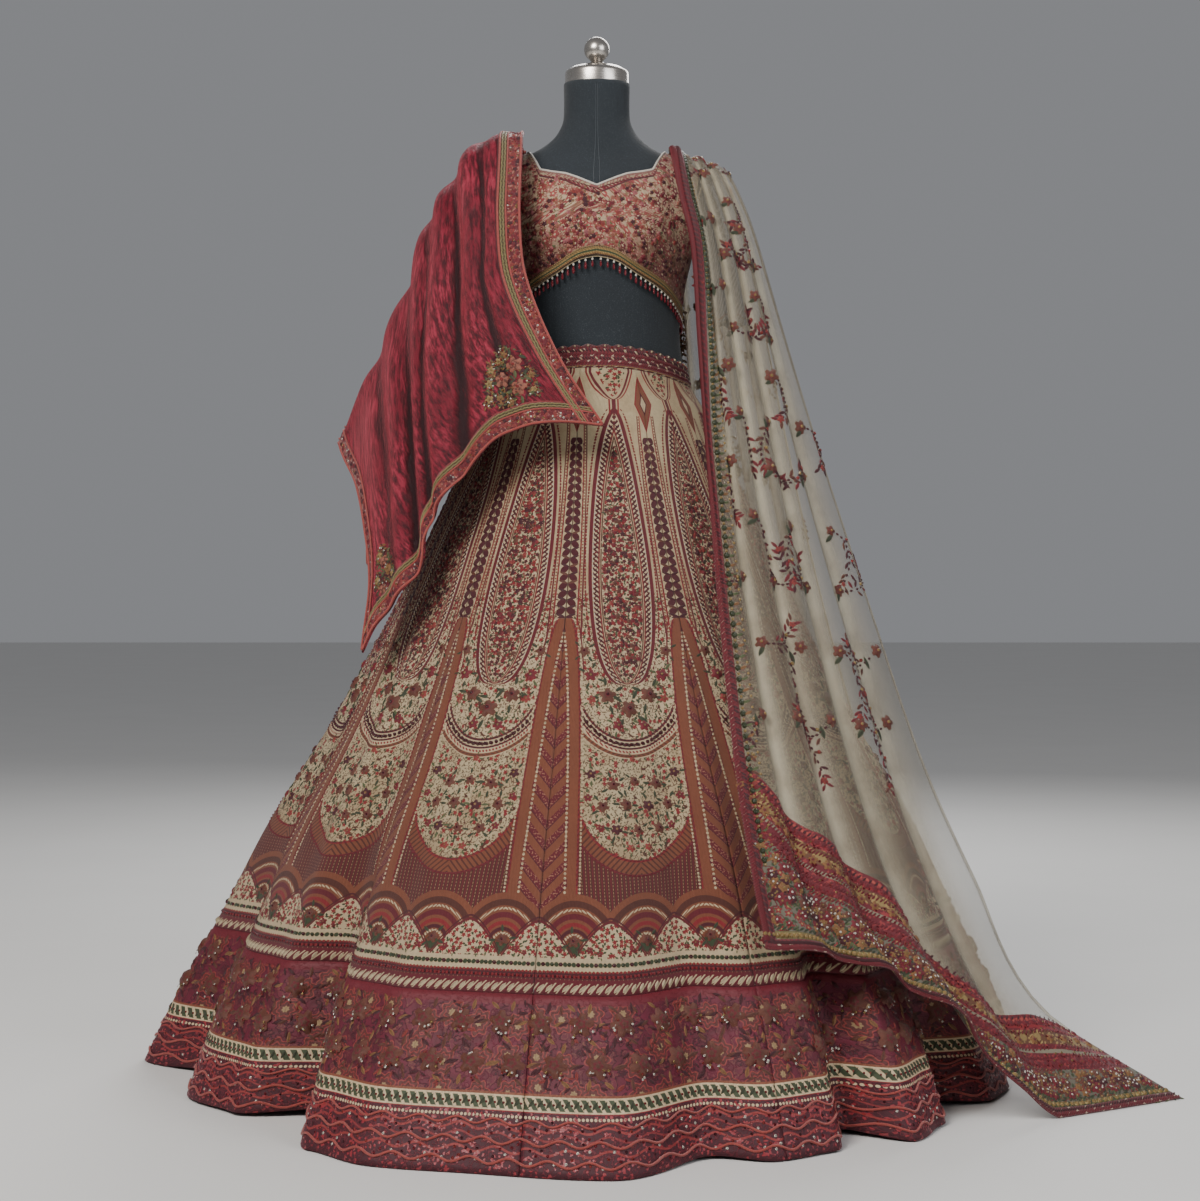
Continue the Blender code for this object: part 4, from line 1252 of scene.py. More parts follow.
def jersey_material():
    material, tree, shader = new_material("form_jersey", 0.92, Sheen_Weight=0.12, Sheen_Roughness=0.5)
    place = object_place(tree)
    speck = cloud(tree, place, 900.0, 2.0)
    patch = cloud(tree, place, 14.0, 3.0)
    weave = placed(tree, WEAVE, Vector=place, Pitch=0.0014)
    shade = (patch * 0.5 + 0.75) * (weave["Height"] * 0.25 + 0.85)
    colour = dim(tree, blend(tree, speck.step(0.56, 0.72), JERSEY, (0.050, 0.062, 0.072)), shade)
    feed(tree, shader.inputs["Base Color"], colour)
    raise_relief(tree, shader, weave["Height"] + speck, 0.0004, 0.5)
    return material


def steel_material():
    material, tree, shader = new_material("brushed_steel", 0.27, Metallic=1.0)
    place = object_place(tree)
    x, y, z = apart(tree, place)
    turn = y.math("ARCTAN2", x)
    brushed = cloud(tree, together(tree, turn * 0.6, z * 900.0), 3.0, 4.0)
    smudge = cloud(tree, place, 45.0, 3.0)
    colour = blend(tree, smudge.step(0.35, 0.75), (0.62, 0.58, 0.53), (0.44, 0.40, 0.36))
    feed(tree, shader.inputs["Base Color"], dim(tree, colour, brushed * 0.3 + 0.85))
    feed(tree, shader.inputs["Roughness"], brushed * 0.22 + smudge * 0.12 + 0.10)
    raise_relief(tree, shader, brushed, 0.0002, 0.25)
    return material


def choli_material():
    """Cream ground closely covered with flowers in pinks and reds, darker low down."""
    material, tree, shader = new_material("choli_embroidery", 0.78, Sheen_Weight=0.15)
    place = uv_of(tree, "cloth")
    height = apart(tree, object_place(tree))[2]
    fine = placed(tree, FLOWERS, Vector=place, Scale=118.0, Spread=0.75, Size=0.46)
    large = placed(tree, FLOWERS, Vector=place, Scale=52.0, Spread=0.6, Size=0.36)
    grain = placed(tree, THREAD, Vector=place, Pitch=0.0011)
    low = height.step(1.18, 1.29).flip()
    along, neck, _ = apart(tree, uv_of(tree, "neck"))
    mottled = cloud(tree, place, 60.0, 3.0)
    ground = blend(tree, low, (0.50, 0.36, 0.23), (0.28, 0.09, 0.06))
    ground = layers(
        tree, ground,
        (mottled.step(0.50, 0.62), (0.27, 0.048, 0.040)),
        (fine["Leaf"], (0.22, 0.13, 0.06)),
        (fine["Petal"].both(fine["Kind"].step(0.3, 0.32)), (0.45, 0.16, 0.13)),
        (fine["Petal"].both(fine["Kind"].step(0.62, 0.64)), (0.24, 0.020, 0.028)),
        (fine["Heart"], (0.62, 0.46, 0.30)),
        (large["Petal"], (0.36, 0.060, 0.055)),
        (large["Petal"].both(large["Kind"].step(0.5, 0.52)), (0.16, 0.012, 0.022)),
        (large["Heart"], (0.56, 0.42, 0.27)),
        (neck.between(-0.01, 0.0135), (0.185, 0.012, 0.020)),
        (neck.between(0.0015, 0.0115).both(along.beat(0.0062).line(0.0, 0.15, 0.04)), (0.50, 0.36, 0.24)),
        (neck.line(0.0142, 0.0010), (0.07, 0.006, 0.012)),
    )
    shade = grain["Shade"] * (low * -0.35 + 1.0)
    feed(tree, shader.inputs["Base Color"], dim(tree, ground, shade))
    relief = fine["Petal"] * 0.6 + large["Petal"] + grain["Height"] * 0.3
    raise_relief(tree, shader, relief, 0.0006, 0.9)
    return material


def thread_material(name, roughness, shine=0.0):
    """Raised embroidery: each shape takes a row of the palette."""
    material, tree, shader = new_material(name, roughness, Metallic=shine, Sheen_Weight=0.04)
    ring, row, _ = apart(tree, uv_of(tree, "thread"))
    ramp = tree.nodes.new("ShaderNodeValToRGB")
    ramp.color_ramp.interpolation = "CONSTANT"
    for index, colour in enumerate(THREADS):
        spot = index / len(THREADS)
        if index < 2:
            element = ramp.color_ramp.elements[index]
            element.position = spot
        else:
            element = ramp.color_ramp.elements.new(spot)
        element.color = (*colour, 1.0)
    feed(tree, ramp.inputs[0], row)
    grain = placed(tree, THREAD, Vector=object_place(tree), Pitch=0.0009)
    shade = grain["Shade"] * (ring.step(0.0, 0.9) * 0.45 + 0.62)
    feed(tree, shader.inputs["Base Color"], dim(tree, ramp.outputs[0], shade))
    raise_relief(tree, shader, grain["Height"], 0.0003, 0.6)
    return material


def rope_colours(tree, x, y, pitch, width):
    """A braid of slanted strands with cream dashes: its colour and height."""
    slant = (y + (x.size() * 0.9)).beat(pitch)
    strand = slant.size().step(0.30, 0.46).flip()
    middle = x.size().line(width * 0.55, width * 0.22, 0.0002)
    dash = (y + (x.size() * 0.9)).beat(pitch * 3.0).line(0.0, 0.14, 0.03).both(middle)
    colour = layers(tree, (0.070, 0.006, 0.012), (strand, (0.19, 0.015, 0.024)), (dash, (0.62, 0.46, 0.34)))
    return colour, strand + dash


# Skirt
SKIRT_TOP = 1.062
SKIRT_COLUMNS = 720
SKIRT_ROWS = 132
# Soft creases of the skirt: angle, top, bottom, width in degrees, depth
SKIRT_CREASES = (
    (-71.0, 0.92, 0.20, 2.6, 0.0045),
    (-58.0, 0.80, 0.10, 2.2, 0.0050),
    (-41.0, 0.78, 0.12, 2.4, 0.0055),
    (-29.0, 0.62, 0.06, 1.8, 0.0035),
    (-17.0, 0.70, 0.16, 2.0, 0.0030),
    (-5.0, 0.55, 0.08, 2.3, 0.0034),
    (7.0, 0.86, 0.30, 2.0, 0.0040),
    (13.0, 0.66, 0.05, 1.7, 0.0045),
    (25.0, 0.72, 0.10, 1.9, 0.0042),
    (44.0, 0.80, 0.14, 2.2, 0.0050),
    (60.0, 0.84, 0.10, 2.6, 0.0052),
    (77.0, 0.70, 0.08, 2.4, 0.0045),
    (99.0, 0.82, 0.12, 2.2, 0.0048),
    (126.0, 0.76, 0.08, 2.6, 0.0052),
    (153.0, 0.84, 0.16, 2.2, 0.0045),
    (181.0, 0.74, 0.06, 2.0, 0.0040),
    (209.0, 0.82, 0.12, 2.5, 0.0050),
    (238.0, 0.78, 0.10, 2.3, 0.0046),
)


def crease_depth(angle, z):
    total = 0.0
    for centre, top, bottom, width, depth in SKIRT_CREASES:
        if bottom < z < top:
            apart_by = (angle - centre + 180.0) % 360.0 - 180.0
            if abs(apart_by) < 3.0 * width:
                run = math.sin(math.pi * (z - bottom) / (top - bottom))
                total += depth * run * math.exp(-(apart_by / width) ** 2)
    return total


def skirt_place(across, down):
    angle = PANEL_START + 360.0 * across
    z = SKIRT_TOP * down
    return skirt_point(angle, z, -crease_depth(angle, z))


SKIRT = Surface(skirt_place, SKIRT_COLUMNS, SKIRT_ROWS, from_axis)
TURN = 360.0 / PANELS


def half_panel(z):
    """Half of a panel's width at a height, in metres."""
    half_width, half_depth, _ = through(SKIRT_SECTIONS, z)
    return (half_width + half_depth) / 2.0 * math.radians(TURN / 2.0)


HALF_PANEL = np.array([half_panel(SKIRT_TOP * step / 200.0) for step in range(201)])


def panel_uv(number):
    """Metres from the panel's middle, and height."""
    def uv(across, down):
        place = across * PANELS - number
        half = np.interp(down, np.linspace(0.0, 1.0, 201), HALF_PANEL)
        return np.stack([(place * 2.0 - 1.0) * half, down * SKIRT_TOP], axis=1)
    return uv


def seam_uv(number):
    """Metres from the nearest seam, and height."""
    def uv(across, down):
        place = across * PANELS - number
        half = np.interp(down, np.linspace(0.0, 1.0, 201), HALF_PANEL)
        return np.stack([(1.0 - np.abs(place * 2.0 - 1.0)) * half, down * SKIRT_TOP], axis=1)
    return uv


def panel_span(number):
    gap = SEAM / 2.0 / (2.0 * math.pi * 0.3)
    return number / PANELS + gap, (number + 1) / PANELS - gap


# Motifs on every panel, in metres from its middle and heights
MANDORLA_LOW = 0.598
MANDORLA_HIGH = 0.998
MANDORLA_HALF = 0.047
MANDORLA_LEAN = 0.55
MANDORLA_FULL = 0.60
ARCH_TOP = 0.690
ARCH_LOW = 0.340
ARCH_HALF = 0.040
CUP_ONE = (0.594, 0.0695)
CUP_TWO = (0.452, 0.0810)
FERN_PITCH = 0.0118
FERN_HALF = 0.0785
SCALLOPS = 3
SCALLOP = 0.096
SCALLOP_BASE = 0.252
SCALLOP_RISE = 0.046
FAN_MIDDLE = 0.268
PALE = (0.56, 0.43, 0.265)
DEEP = (0.075, 0.007, 0.013)
WINE = (0.125, 0.008, 0.016)
SCARLET = (0.235, 0.014, 0.019)
COPPER = (0.200, 0.058, 0.027)
COPPER_DARK = (0.085, 0.021, 0.013)
BOTTLE = (0.040, 0.055, 0.022)


def mandorla_half(z):
    share = min(max((z - MANDORLA_LOW) / (MANDORLA_HIGH - MANDORLA_LOW), 0.0), 1.0)
    return MANDORLA_HALF * max(math.sin(math.pi * share ** MANDORLA_LEAN), 0.0) ** MANDORLA_FULL


def arch_half(z):
    return ARCH_HALF * math.sqrt(max((ARCH_TOP - z) / (ARCH_TOP - ARCH_LOW), 0.0))


def dots(distance, along, pitch, radius):
    near = along.beat(pitch) * pitch
    return ((distance * distance) + (near * near)).math("SQRT").step(radius * 0.75, radius * 1.1).flip()


def below(distance, edge=0.0):
    """1 where a distance is less than the edge."""
    return distance.step(edge - 0.0005, edge + 0.0005).flip()


def kali_material():
    material, tree, shader = new_material("embroidered_silk", 0.66, Sheen_Weight=0.04, Sheen_Roughness=0.4)
    place = uv_of(tree, "cloth")
    x, z, _ = apart(tree, place)
    seam = apart(tree, uv_of(tree, "seam"))[0]
    side = x.size()
    wide = side + seam
    weave = placed(tree, WEAVE, Vector=place, Pitch=0.0013)
    small = placed(tree, FLOWERS, Vector=place, Scale=125.0, Spread=0.85, Size=0.42)
    close = placed(tree, FLOWERS, Vector=place, Scale=190.0, Spread=0.9, Size=0.45)
    grain = placed(tree, THREAD, Vector=place, Pitch=0.0010)
    stain = cloud(tree, place, 18.0, 3.0)
    fine = cloud(tree, place, 420.0, 2.0)

    share = ((z - MANDORLA_LOW) / (MANDORLA_HIGH - MANDORLA_LOW)).either(0.0).both(1.0)
    half = (share.math("POWER", MANDORLA_LEAN) * math.pi).wave().either(0.0).math("POWER", MANDORLA_FULL)
    oval = side - half * MANDORLA_HALF
    tall = z.between(MANDORLA_LOW, MANDORLA_HIGH)
    in_oval = below(oval).both(tall)
    arch = seam - ((z * -1.0 + ARCH_TOP) / (ARCH_TOP - ARCH_LOW)).either(0.0).math("SQRT") * ARCH_HALF
    under = z.between(ARCH_LOW - 0.03, ARCH_TOP)

    def cup(centre, radius):
        low = (z - centre).math("MINIMUM", 0.0)
        return ((x * x) + (low * low)).math("SQRT") - radius
    cup_one = cup(*CUP_ONE)
    cup_two = cup(*CUP_TWO)
    low_part = z.step(0.594, 0.604).flip()
    ring_two = below(cup_two, 0.018).both(low_part)
    in_two = below(cup_two).both(low_part)
    ring_one = below(cup_one, 0.024).both(z.step(0.668, 0.690).flip())
    in_one = below(cup_one)
    cups = in_two.both(ring_one.flip()).either(in_one.both(z.step(0.72, 0.73).flip()))
    stripe = x.beat(0.0058)
    coats = [
        (low_part, COPPER_DARK),
        (low_part.both(stripe.line(0.0, 0.17, 0.05)), WINE),
        (low_part.both(stripe.line(0.42, 0.06, 0.03)).both(z.beat(0.0042).line(0.0, 0.26, 0.06)),
         (0.40, 0.22, 0.12)),
        (ring_two, COPPER),
        (ring_two.both((z + side * 0.9).beat(0.0078).line(0.0, 0.18, 0.05)), COPPER_DARK),
        (in_two, blend(tree, stain.step(0.35, 0.7), SILK, SILK_DARK)),
        (cup_two.line(0.0, 0.0016).both(low_part), SCARLET),
        (cup_two.line(0.0180, 0.0013).both(low_part), WINE),
        (ring_one, PALE),
        (ring_one.both(cup_one.line(0.0, 0.0016)), WINE),
        (ring_one.both(dots(cup_one - 0.0058, x + z * 0.5, 0.0072, 0.0029)), (0.055, 0.014, 0.012)),
        (ring_one.both(cup_one.line(0.0108, 0.0013)), WINE),
        (ring_one.both(dots(cup_one - 0.0152, x + z * 0.5, 0.0050, 0.0017)), SCARLET),
        (ring_one.both(cup_one.line(0.0205, 0.0022)), COPPER),
        (cups.both(close["Leaf"]), (0.150, 0.100, 0.050)),
        (cups.both(small["Stem"]), COPPER_DARK),
        (cups.both(small["Leaf"]).both(small["Kind"].step(0.5, 0.52)), BOTTLE),
        (cups.both(small["Petal"]).both(small["Kind"].step(0.62, 0.64)), SCARLET),
    ]
    chevron = (z - seam * 1.05).beat(0.0260)
    inner = below(arch).both(under)
    coats += [
        (inner, WINE),
        (inner.both(fine.step(0.56, 0.60)), (0.34, 0.15, 0.09)),
        (inner.both(chevron.line(0.0, 0.25, 0.02)), COPPER),
        (inner.both(chevron.line(0.30, 0.035, 0.015)), DEEP),
        (below(arch, 0.006).both(arch.step(-0.0070, -0.0062)).both(under), COPPER),
        (dots(arch + 0.0095, z, 0.0058, 0.0019).both(under), PALE),
        (arch.line(0.0068, 0.0011).both(under), SCARLET),
        (dots(arch - 0.0105, z, 0.0046, 0.0016).both(under), PALE),
        (arch.line(0.0135, 0.0010).both(under).both(z.step(0.60, 0.62)), WINE),
    ]
    reach = seam / wide * FERN_HALF
    frond = (z + reach * 0.30).beat(FERN_PITCH) * FERN_PITCH
    blade = ((reach - 0.0070) / 0.0064) * ((reach - 0.0070) / 0.0064) + (frond / 0.0052) * (frond / 0.0052)
    fern = z.between(0.690, 0.952).both(blade.step(0.85, 1.05).flip())
    high = z.between(0.662, 0.985).both(in_oval.flip())
    coats += [
        (fern, DEEP),
        (high.both(reach.line(0.0, 0.0007)), COPPER_DARK),
        (high.both(reach.line(0.0165, 0.0012)), SCARLET),
        (high.both(dots(reach - 0.0193, z, 0.0044, 0.0013)), COPPER),
        (high.both(reach.line(0.0222, 0.0012)), WINE),
        (high.both(dots(oval - 0.0045, z, 0.0044, 0.0015)), SCARLET),
        (in_oval, WINE),
        (in_oval.both(below(oval, -0.0052)), PALE),
        (in_oval.both(oval.line(-0.0102, 0.0038)).both((z - oval * 0.9).beat(0.0070).line(0.0, 0.27, 0.05)),
         DEEP),
        (in_oval.both(oval.line(-0.0150, 0.0011)), SCARLET),
        (in_oval.both(oval.line(-0.0178, 0.0009)), COPPER_DARK),
    ]
    dense = in_oval.both(below(oval, -0.0192))
    coats += [
        (dense.both(close["Petal"]), (0.200, 0.036, 0.034)),
        (dense.both(close["Petal"]).both(close["Kind"].step(0.5, 0.52)), WINE),
        (dense.both(small["Stem"]), WINE),
        (dense.both(small["Leaf"]), BOTTLE),
        (dense.both(small["Petal"]), SCARLET),
        (dense.both(small["Petal"]).both(small["Kind"].step(0.55, 0.57)), DEEP),
    ]
    part = (x / wide * (SCALLOPS / 2.0)).beat(1.0) * SCALLOP
    off = part.size()
    edge = z - SCALLOP_BASE - (off / (SCALLOP * 0.5)).math("POWER", 1.6).flip() * SCALLOP_RISE
    beside = off * -1.0 + SCALLOP * 0.5
    lift = z - FAN_MIDDLE
    fan = ((beside * beside) + (lift * lift)).math("SQRT")
    fans = below(fan, 0.0640).both(z.between(SCALLOP_BASE - 0.002, 0.345)).both(below(z, 0.345))
    scallop = below(edge).both(z.between(SCALLOP_BASE - 0.004, 0.330))
    coats += [
        (fans, COPPER),
        (fans.both(fan.between(0.0480, 0.0560)), COPPER_DARK),
        (fans.both(dots(fan - 0.0445, beside + lift, 0.0048, 0.0018)), PALE),
        (fans.both(fan.between(0.0330, 0.0400)), WINE),
        (fans.both(fan.between(0.0240, 0.0290)), SCARLET),
        (fans.both(fan.between(0.0170, 0.0215)), DEEP),
        (fans.both(dots(fan - 0.0140, beside - lift, 0.0050, 0.0020)), PALE),
        (fans.both(below(fan, 0.0085)), BOTTLE),
        (scallop, PALE),
        (scallop.both(small["Leaf"]), BOTTLE),
        (scallop.both(small["Petal"]), SCARLET),
        (edge.line(0.0, 0.0017).both(z.between(SCALLOP_BASE, 0.330)), WINE),
        (edge.line(0.0045, 0.0012).both(z.between(SCALLOP_BASE + 0.004, 0.330)), DEEP),
        (z.between(0.2380, 0.2540), PALE),
        (dots(z - 0.2462, x, 0.0115, 0.0032), BOTTLE),
        (dots(z - 0.2375, x, 0.0050, 0.0018), SCARLET),
        (z.between(0.2290, 0.2360), DEEP),
        (dots(z - 0.2322, x, 0.0056, 0.0020), SCARLET),
        (z.between(0.2050, 0.2280), WINE),
        (z.line(0.2180, 0.0062).both((x - z * 0.9).beat(0.0110).line(0.0, 0.10, 0.04)), PALE),
    ]
    window = side - ((z - 1.011) * 24.0).either(0.0).both(1.0).math("POWER", 0.60) * wide * 0.62
    diamond = (seam / 0.0115) + ((z - 1.003).size() / 0.040)
    yoke = z.step(0.985, 0.990)
    coats += [
        (yoke.both(window.line(0.0010, 0.0014)), WINE),
        (yoke.both(window.line(0.0052, 0.0010)), SCARLET),
        (yoke.both(below(window, -0.0042)).both(small["Leaf"]), BOTTLE),
        (yoke.both(below(window, -0.0042)).both(small["Petal"]), SCARLET),
        (below(diamond, 1.10).both(z.between(0.955, 1.046)), SCARLET),
        (diamond.step(0.90, 0.96).flip(), COPPER),
        (diamond.step(0.44, 0.48).flip(), DEEP),
        (diamond.step(0.30, 0.34).flip(), PALE),
        (seam.line(0.0, 0.0004, 0.0002).both(z.step(0.34, 0.36).flip()), DEEP),
    ]
    ground = blend(tree, stain.step(0.35, 0.7), SILK, SILK_DARK)
    colour = layers(tree, ground, *coats)
    worn = (grain["Shade"] * 0.55 + 0.45) * (stain * 0.35 + 0.80)
    feed(tree, shader.inputs["Base Color"], dim(tree, colour, worn))
    relief = weave["Height"] * 0.25 + grain["Height"] * 0.45 + small["Petal"] * dense + fern + in_oval * 0.6
    raise_relief(tree, shader, relief, 0.0008, 0.9)
    return material


def border_material():
    """Deep velvet under tangled dark stitching, a leaf row and a sequinned foot."""
    material, tree, shader = new_material("border_velvet", 0.60, Sheen_Weight=0.20, Sheen_Roughness=0.35)
    shader.inputs["Sheen Tint"].default_value = (0.60, 0.06, 0.14, 1.0)
    place = uv_of(tree, "cloth")
    x, z, _ = apart(tree, place)
    crushed = cloud(tree, place, 38.0, 4.0)
    pile = cloud(tree, place, 1400.0, 1.0)
    vines = cloud(tree, place, 95.0, 2.0)
    patch = cloud(tree, place, 22.0, 2.0)
    _, middle, own = cells(tree, place, 24.0, 0.55)
    _, _, glint = cells(tree, place, 330.0)
    near_x, near_z, _ = apart(tree, middle)
    bloom = (((x - near_x) * (x - near_x)) + ((z - near_z) * (z - near_z))).math("SQRT")
    turn = (z - near_z).math("ARCTAN2", x - near_x)
    petal = bloom / ((turn * 7.0 + own * 6.0).wave() * 0.0022 + 0.0150)
    velvet = blend(tree, crushed.step(0.35, 0.65), (0.075, 0.005, 0.013), BORDER_RED)
    field = z.between(0.094, 0.206)
    foot = z.between(-0.02, 0.074)
    wave_z = z + ((x * (2.0 * math.pi / 0.052)).wave() * 0.0035)
    sequin = glint.step(0.84, 0.86)
    knots = vines.line(0.5, 0.022, 0.008)
    colour = layers(
        tree, velvet,
        (field.both(knots).both(patch.step(0.42, 0.50)), (0.042, 0.005, 0.010)),
        (field.both(vines.line(0.60, 0.012, 0.006)), (0.150, 0.045, 0.028)),
        (field.both(petal.step(0.9, 1.0).flip()), (0.090, 0.016, 0.014)),
        (field.both(petal.line(0.62, 0.05, 0.03)), (0.230, 0.030, 0.026)),
        (field.both(petal.line(0.98, 0.05, 0.03)), (0.250, 0.036, 0.030)),
        (field.both(petal.step(0.25, 0.30).flip()), (0.27, 0.17, 0.08)),
        (z.between(0.074, 0.094), PALE),
        (z.between(0.077, 0.091).both((x + z * 0.6).beat(0.0115).line(0.0, 0.30, 0.05)), BOTTLE),
        (z.between(0.082, 0.086).both(x.beat(0.0115).line(0.45, 0.12, 0.04)), SCARLET),
        (z.line(0.0945, 0.0014), COPPER),
        (z.line(0.0735, 0.0016), SCARLET),
        (foot, (0.050, 0.004, 0.010)),
        (foot.both(knots), (0.110, 0.010, 0.018)),
        (foot.both(dots(z - 0.0685, x, 0.0052, 0.0020)), PALE),
        (foot.both(sequin), (0.28, 0.030, 0.038)),
        (wave_z.line(0.056, 0.0014), (0.25, 0.030, 0.028)),
        (wave_z.line(0.046, 0.0012), (0.21, 0.024, 0.026)),
        (wave_z.line(0.030, 0.0014), (0.25, 0.030, 0.028)),
        (z.between(0.198, 0.215), WINE),
    )
    feed(tree, shader.inputs["Base Color"], dim(tree, colour, pile * 0.5 + 0.75))
    feed(tree, shader.inputs["Roughness"], sequin.both(foot) * -0.34 + 0.62)
    relief = crushed * 1.6 + pile * 0.2 + knots * 0.5 + sequin.both(foot) * 0.6
    raise_relief(tree, shader, relief, 0.0016, 0.9)
    return material


# The wall's inner face hangs a little under the outer one, so the outer one stays this high
HEM_CLEAR = 0.0018
# Flat cuts: from and to what height, heights where the foot and the head are measured, slant
SILK_CUT = (0.210, 1.045, 0.22, 1.03, 1.20)
VELVET_CUT = (0.030, 0.210, 0.04, 0.21, 1.16)


def make_skirt():
    silk = kali_material()
    velvet = border_material()
    for number in range(PANELS):
        left, right = panel_span(number)
        label = "%02d" % (number + 1)

        def kali_places(u, v):
            across = left + (right - left) * u
            drop = np.array([band_drop(PANEL_START + 360.0 * place) for place in across])
            low = BORDER_TOP + SEAM / 2.0
            high = BAND_BOTTOM - drop - SEAM
            return across, (low + (high - low) * v) / SKIRT_TOP

        def border_places(u, v):
            across = left + (right - left) * u
            low = np.array([max(hem_height(PANEL_START + 360.0 * place), HEM_CLEAR) for place in across])
            return across, (low + (BORDER_TOP - SEAM / 2.0 - low) * v) / SKIRT_TOP

        for name, size, places, wall, material, slot, node, cut in (
            ("silk_panel_", (60, 100), kali_places, SKIRT_WALL, silk, "raw_silk", "skirt_kali_", SILK_CUT),
            ("velvet_hem_", (60, 26), border_places, BORDER_WALL, velvet, "border_velvet", "skirt_border_",
             VELVET_CUT),
        ):
            item = sheet(name + label, SKIRT, size, places, material, slot, [node + label], wall,
                         uv=panel_uv(number))
            across, down = item_places(size, places)
            set_uv(item.data, "seam", seam_uv(number)(across, down))
            low, high, foot, head, slant = cut
            wide = 2.0 * half_panel(foot) * 1.06
            length = (high - low) * slant
            share = (1.0 + 2.0 * half_panel(head) / wide) / 2.0
            wide * length * max(share, 0.5)


def item_places(size, places):
    data, u, v = grid_mesh("places", *size)
    bpy.data.meshes.remove(data)
    return places(u, v)


def on_panel(number, x, z):
    """Places on the skirt of a point x metres from a panel's middle at height z."""
    half = np.interp(z / SKIRT_TOP, np.linspace(0.0, 1.0, 201), HALF_PANEL)
    return (number + 0.5 + 0.5 * x / half) / PANELS, z / SKIRT_TOP


# Sprays of the two cups: across, height, size, thread
CUP_SPRAYS = (
    (0.000, 0.566, 0.030, BROWN),
    (-0.030, 0.585, 0.026, BROWN),
    (0.030, 0.585, 0.026, BROWN),
    (-0.018, 0.545, 0.017, RED),
    (0.020, 0.544, 0.017, RED),
    (-0.051, 0.612, 0.020, RED),
    (0.051, 0.612, 0.020, RED),
    (-0.058, 0.645, 0.018, BROWN),
    (0.058, 0.645, 0.018, BROWN),
    (-0.052, 0.580, 0.014, CORAL),
    (0.052, 0.580, 0.014, CORAL),
    (0.000, 0.472, 0.016, BROWN),
    (-0.031, 0.468, 0.019, BROWN),
    (0.031, 0.468, 0.019, BROWN),
    (-0.060, 0.482, 0.016, MAROON),
    (0.060, 0.482, 0.016, MAROON),
    (-0.015, 0.443, 0.019, BROWN),
    (0.017, 0.440, 0.018, MAROON),
    (-0.047, 0.441, 0.019, BROWN),
    (0.048, 0.441, 0.019, BROWN),
    (-0.066, 0.452, 0.013, RED),
    (0.066, 0.452, 0.013, RED),
    (-0.031, 0.412, 0.017, MAROON),
    (0.031, 0.411, 0.018, BROWN),
    (0.000, 0.410, 0.016, BROWN),
    (-0.052, 0.414, 0.013, RED),
    (0.052, 0.414, 0.013, RED),
    (-0.012, 0.388, 0.012, CORAL),
    (0.013, 0.388, 0.012, CORAL),
    (0.000, 0.500, 0.010, CORAL),
)


# Where the rows of the panels and of the velvet lie, in metres above the floor
EDGE_PITCH = 0.0062
FERN_LOW = 0.694
FERN_HIGH = 0.950
SPRAY_HEIGHT = 0.274
SCALLOP_SPRAYS = (
    (-0.020, 0.264, 0.011),
    (0.020, 0.264, 0.011),
    (-0.033, 0.259, 0.008),
    (0.033, 0.259, 0.008),
)
BEAD_ROWS = ((0.2462, 0.0115, 0.0062, GREEN), (0.2322, 0.0056, 0.0036, RED))
DASH_ROW = 0.218
DASH_PITCH = 0.0110
MEDALLION_ROWS = ((0.176, 0.036, 0.25), (0.128, 0.038, 0.65))
MEDALLIONS = 6
LEAF_ROW = 0.084
LEAF_PITCH = 0.0115
FOOT_ROWS = 7
FOOT_PITCH = 0.0150
# Rings round the two cups: the cup, how far outside its edge, thread
CUP_RINGS = (
    (CUP_ONE, 0.0, MAROON),
    (CUP_ONE, 0.0108, MAROON),
    (CUP_ONE, 0.0205, BROWN),
    (CUP_TWO, 0.0, RED),
    (CUP_TWO, 0.018, RED),
)


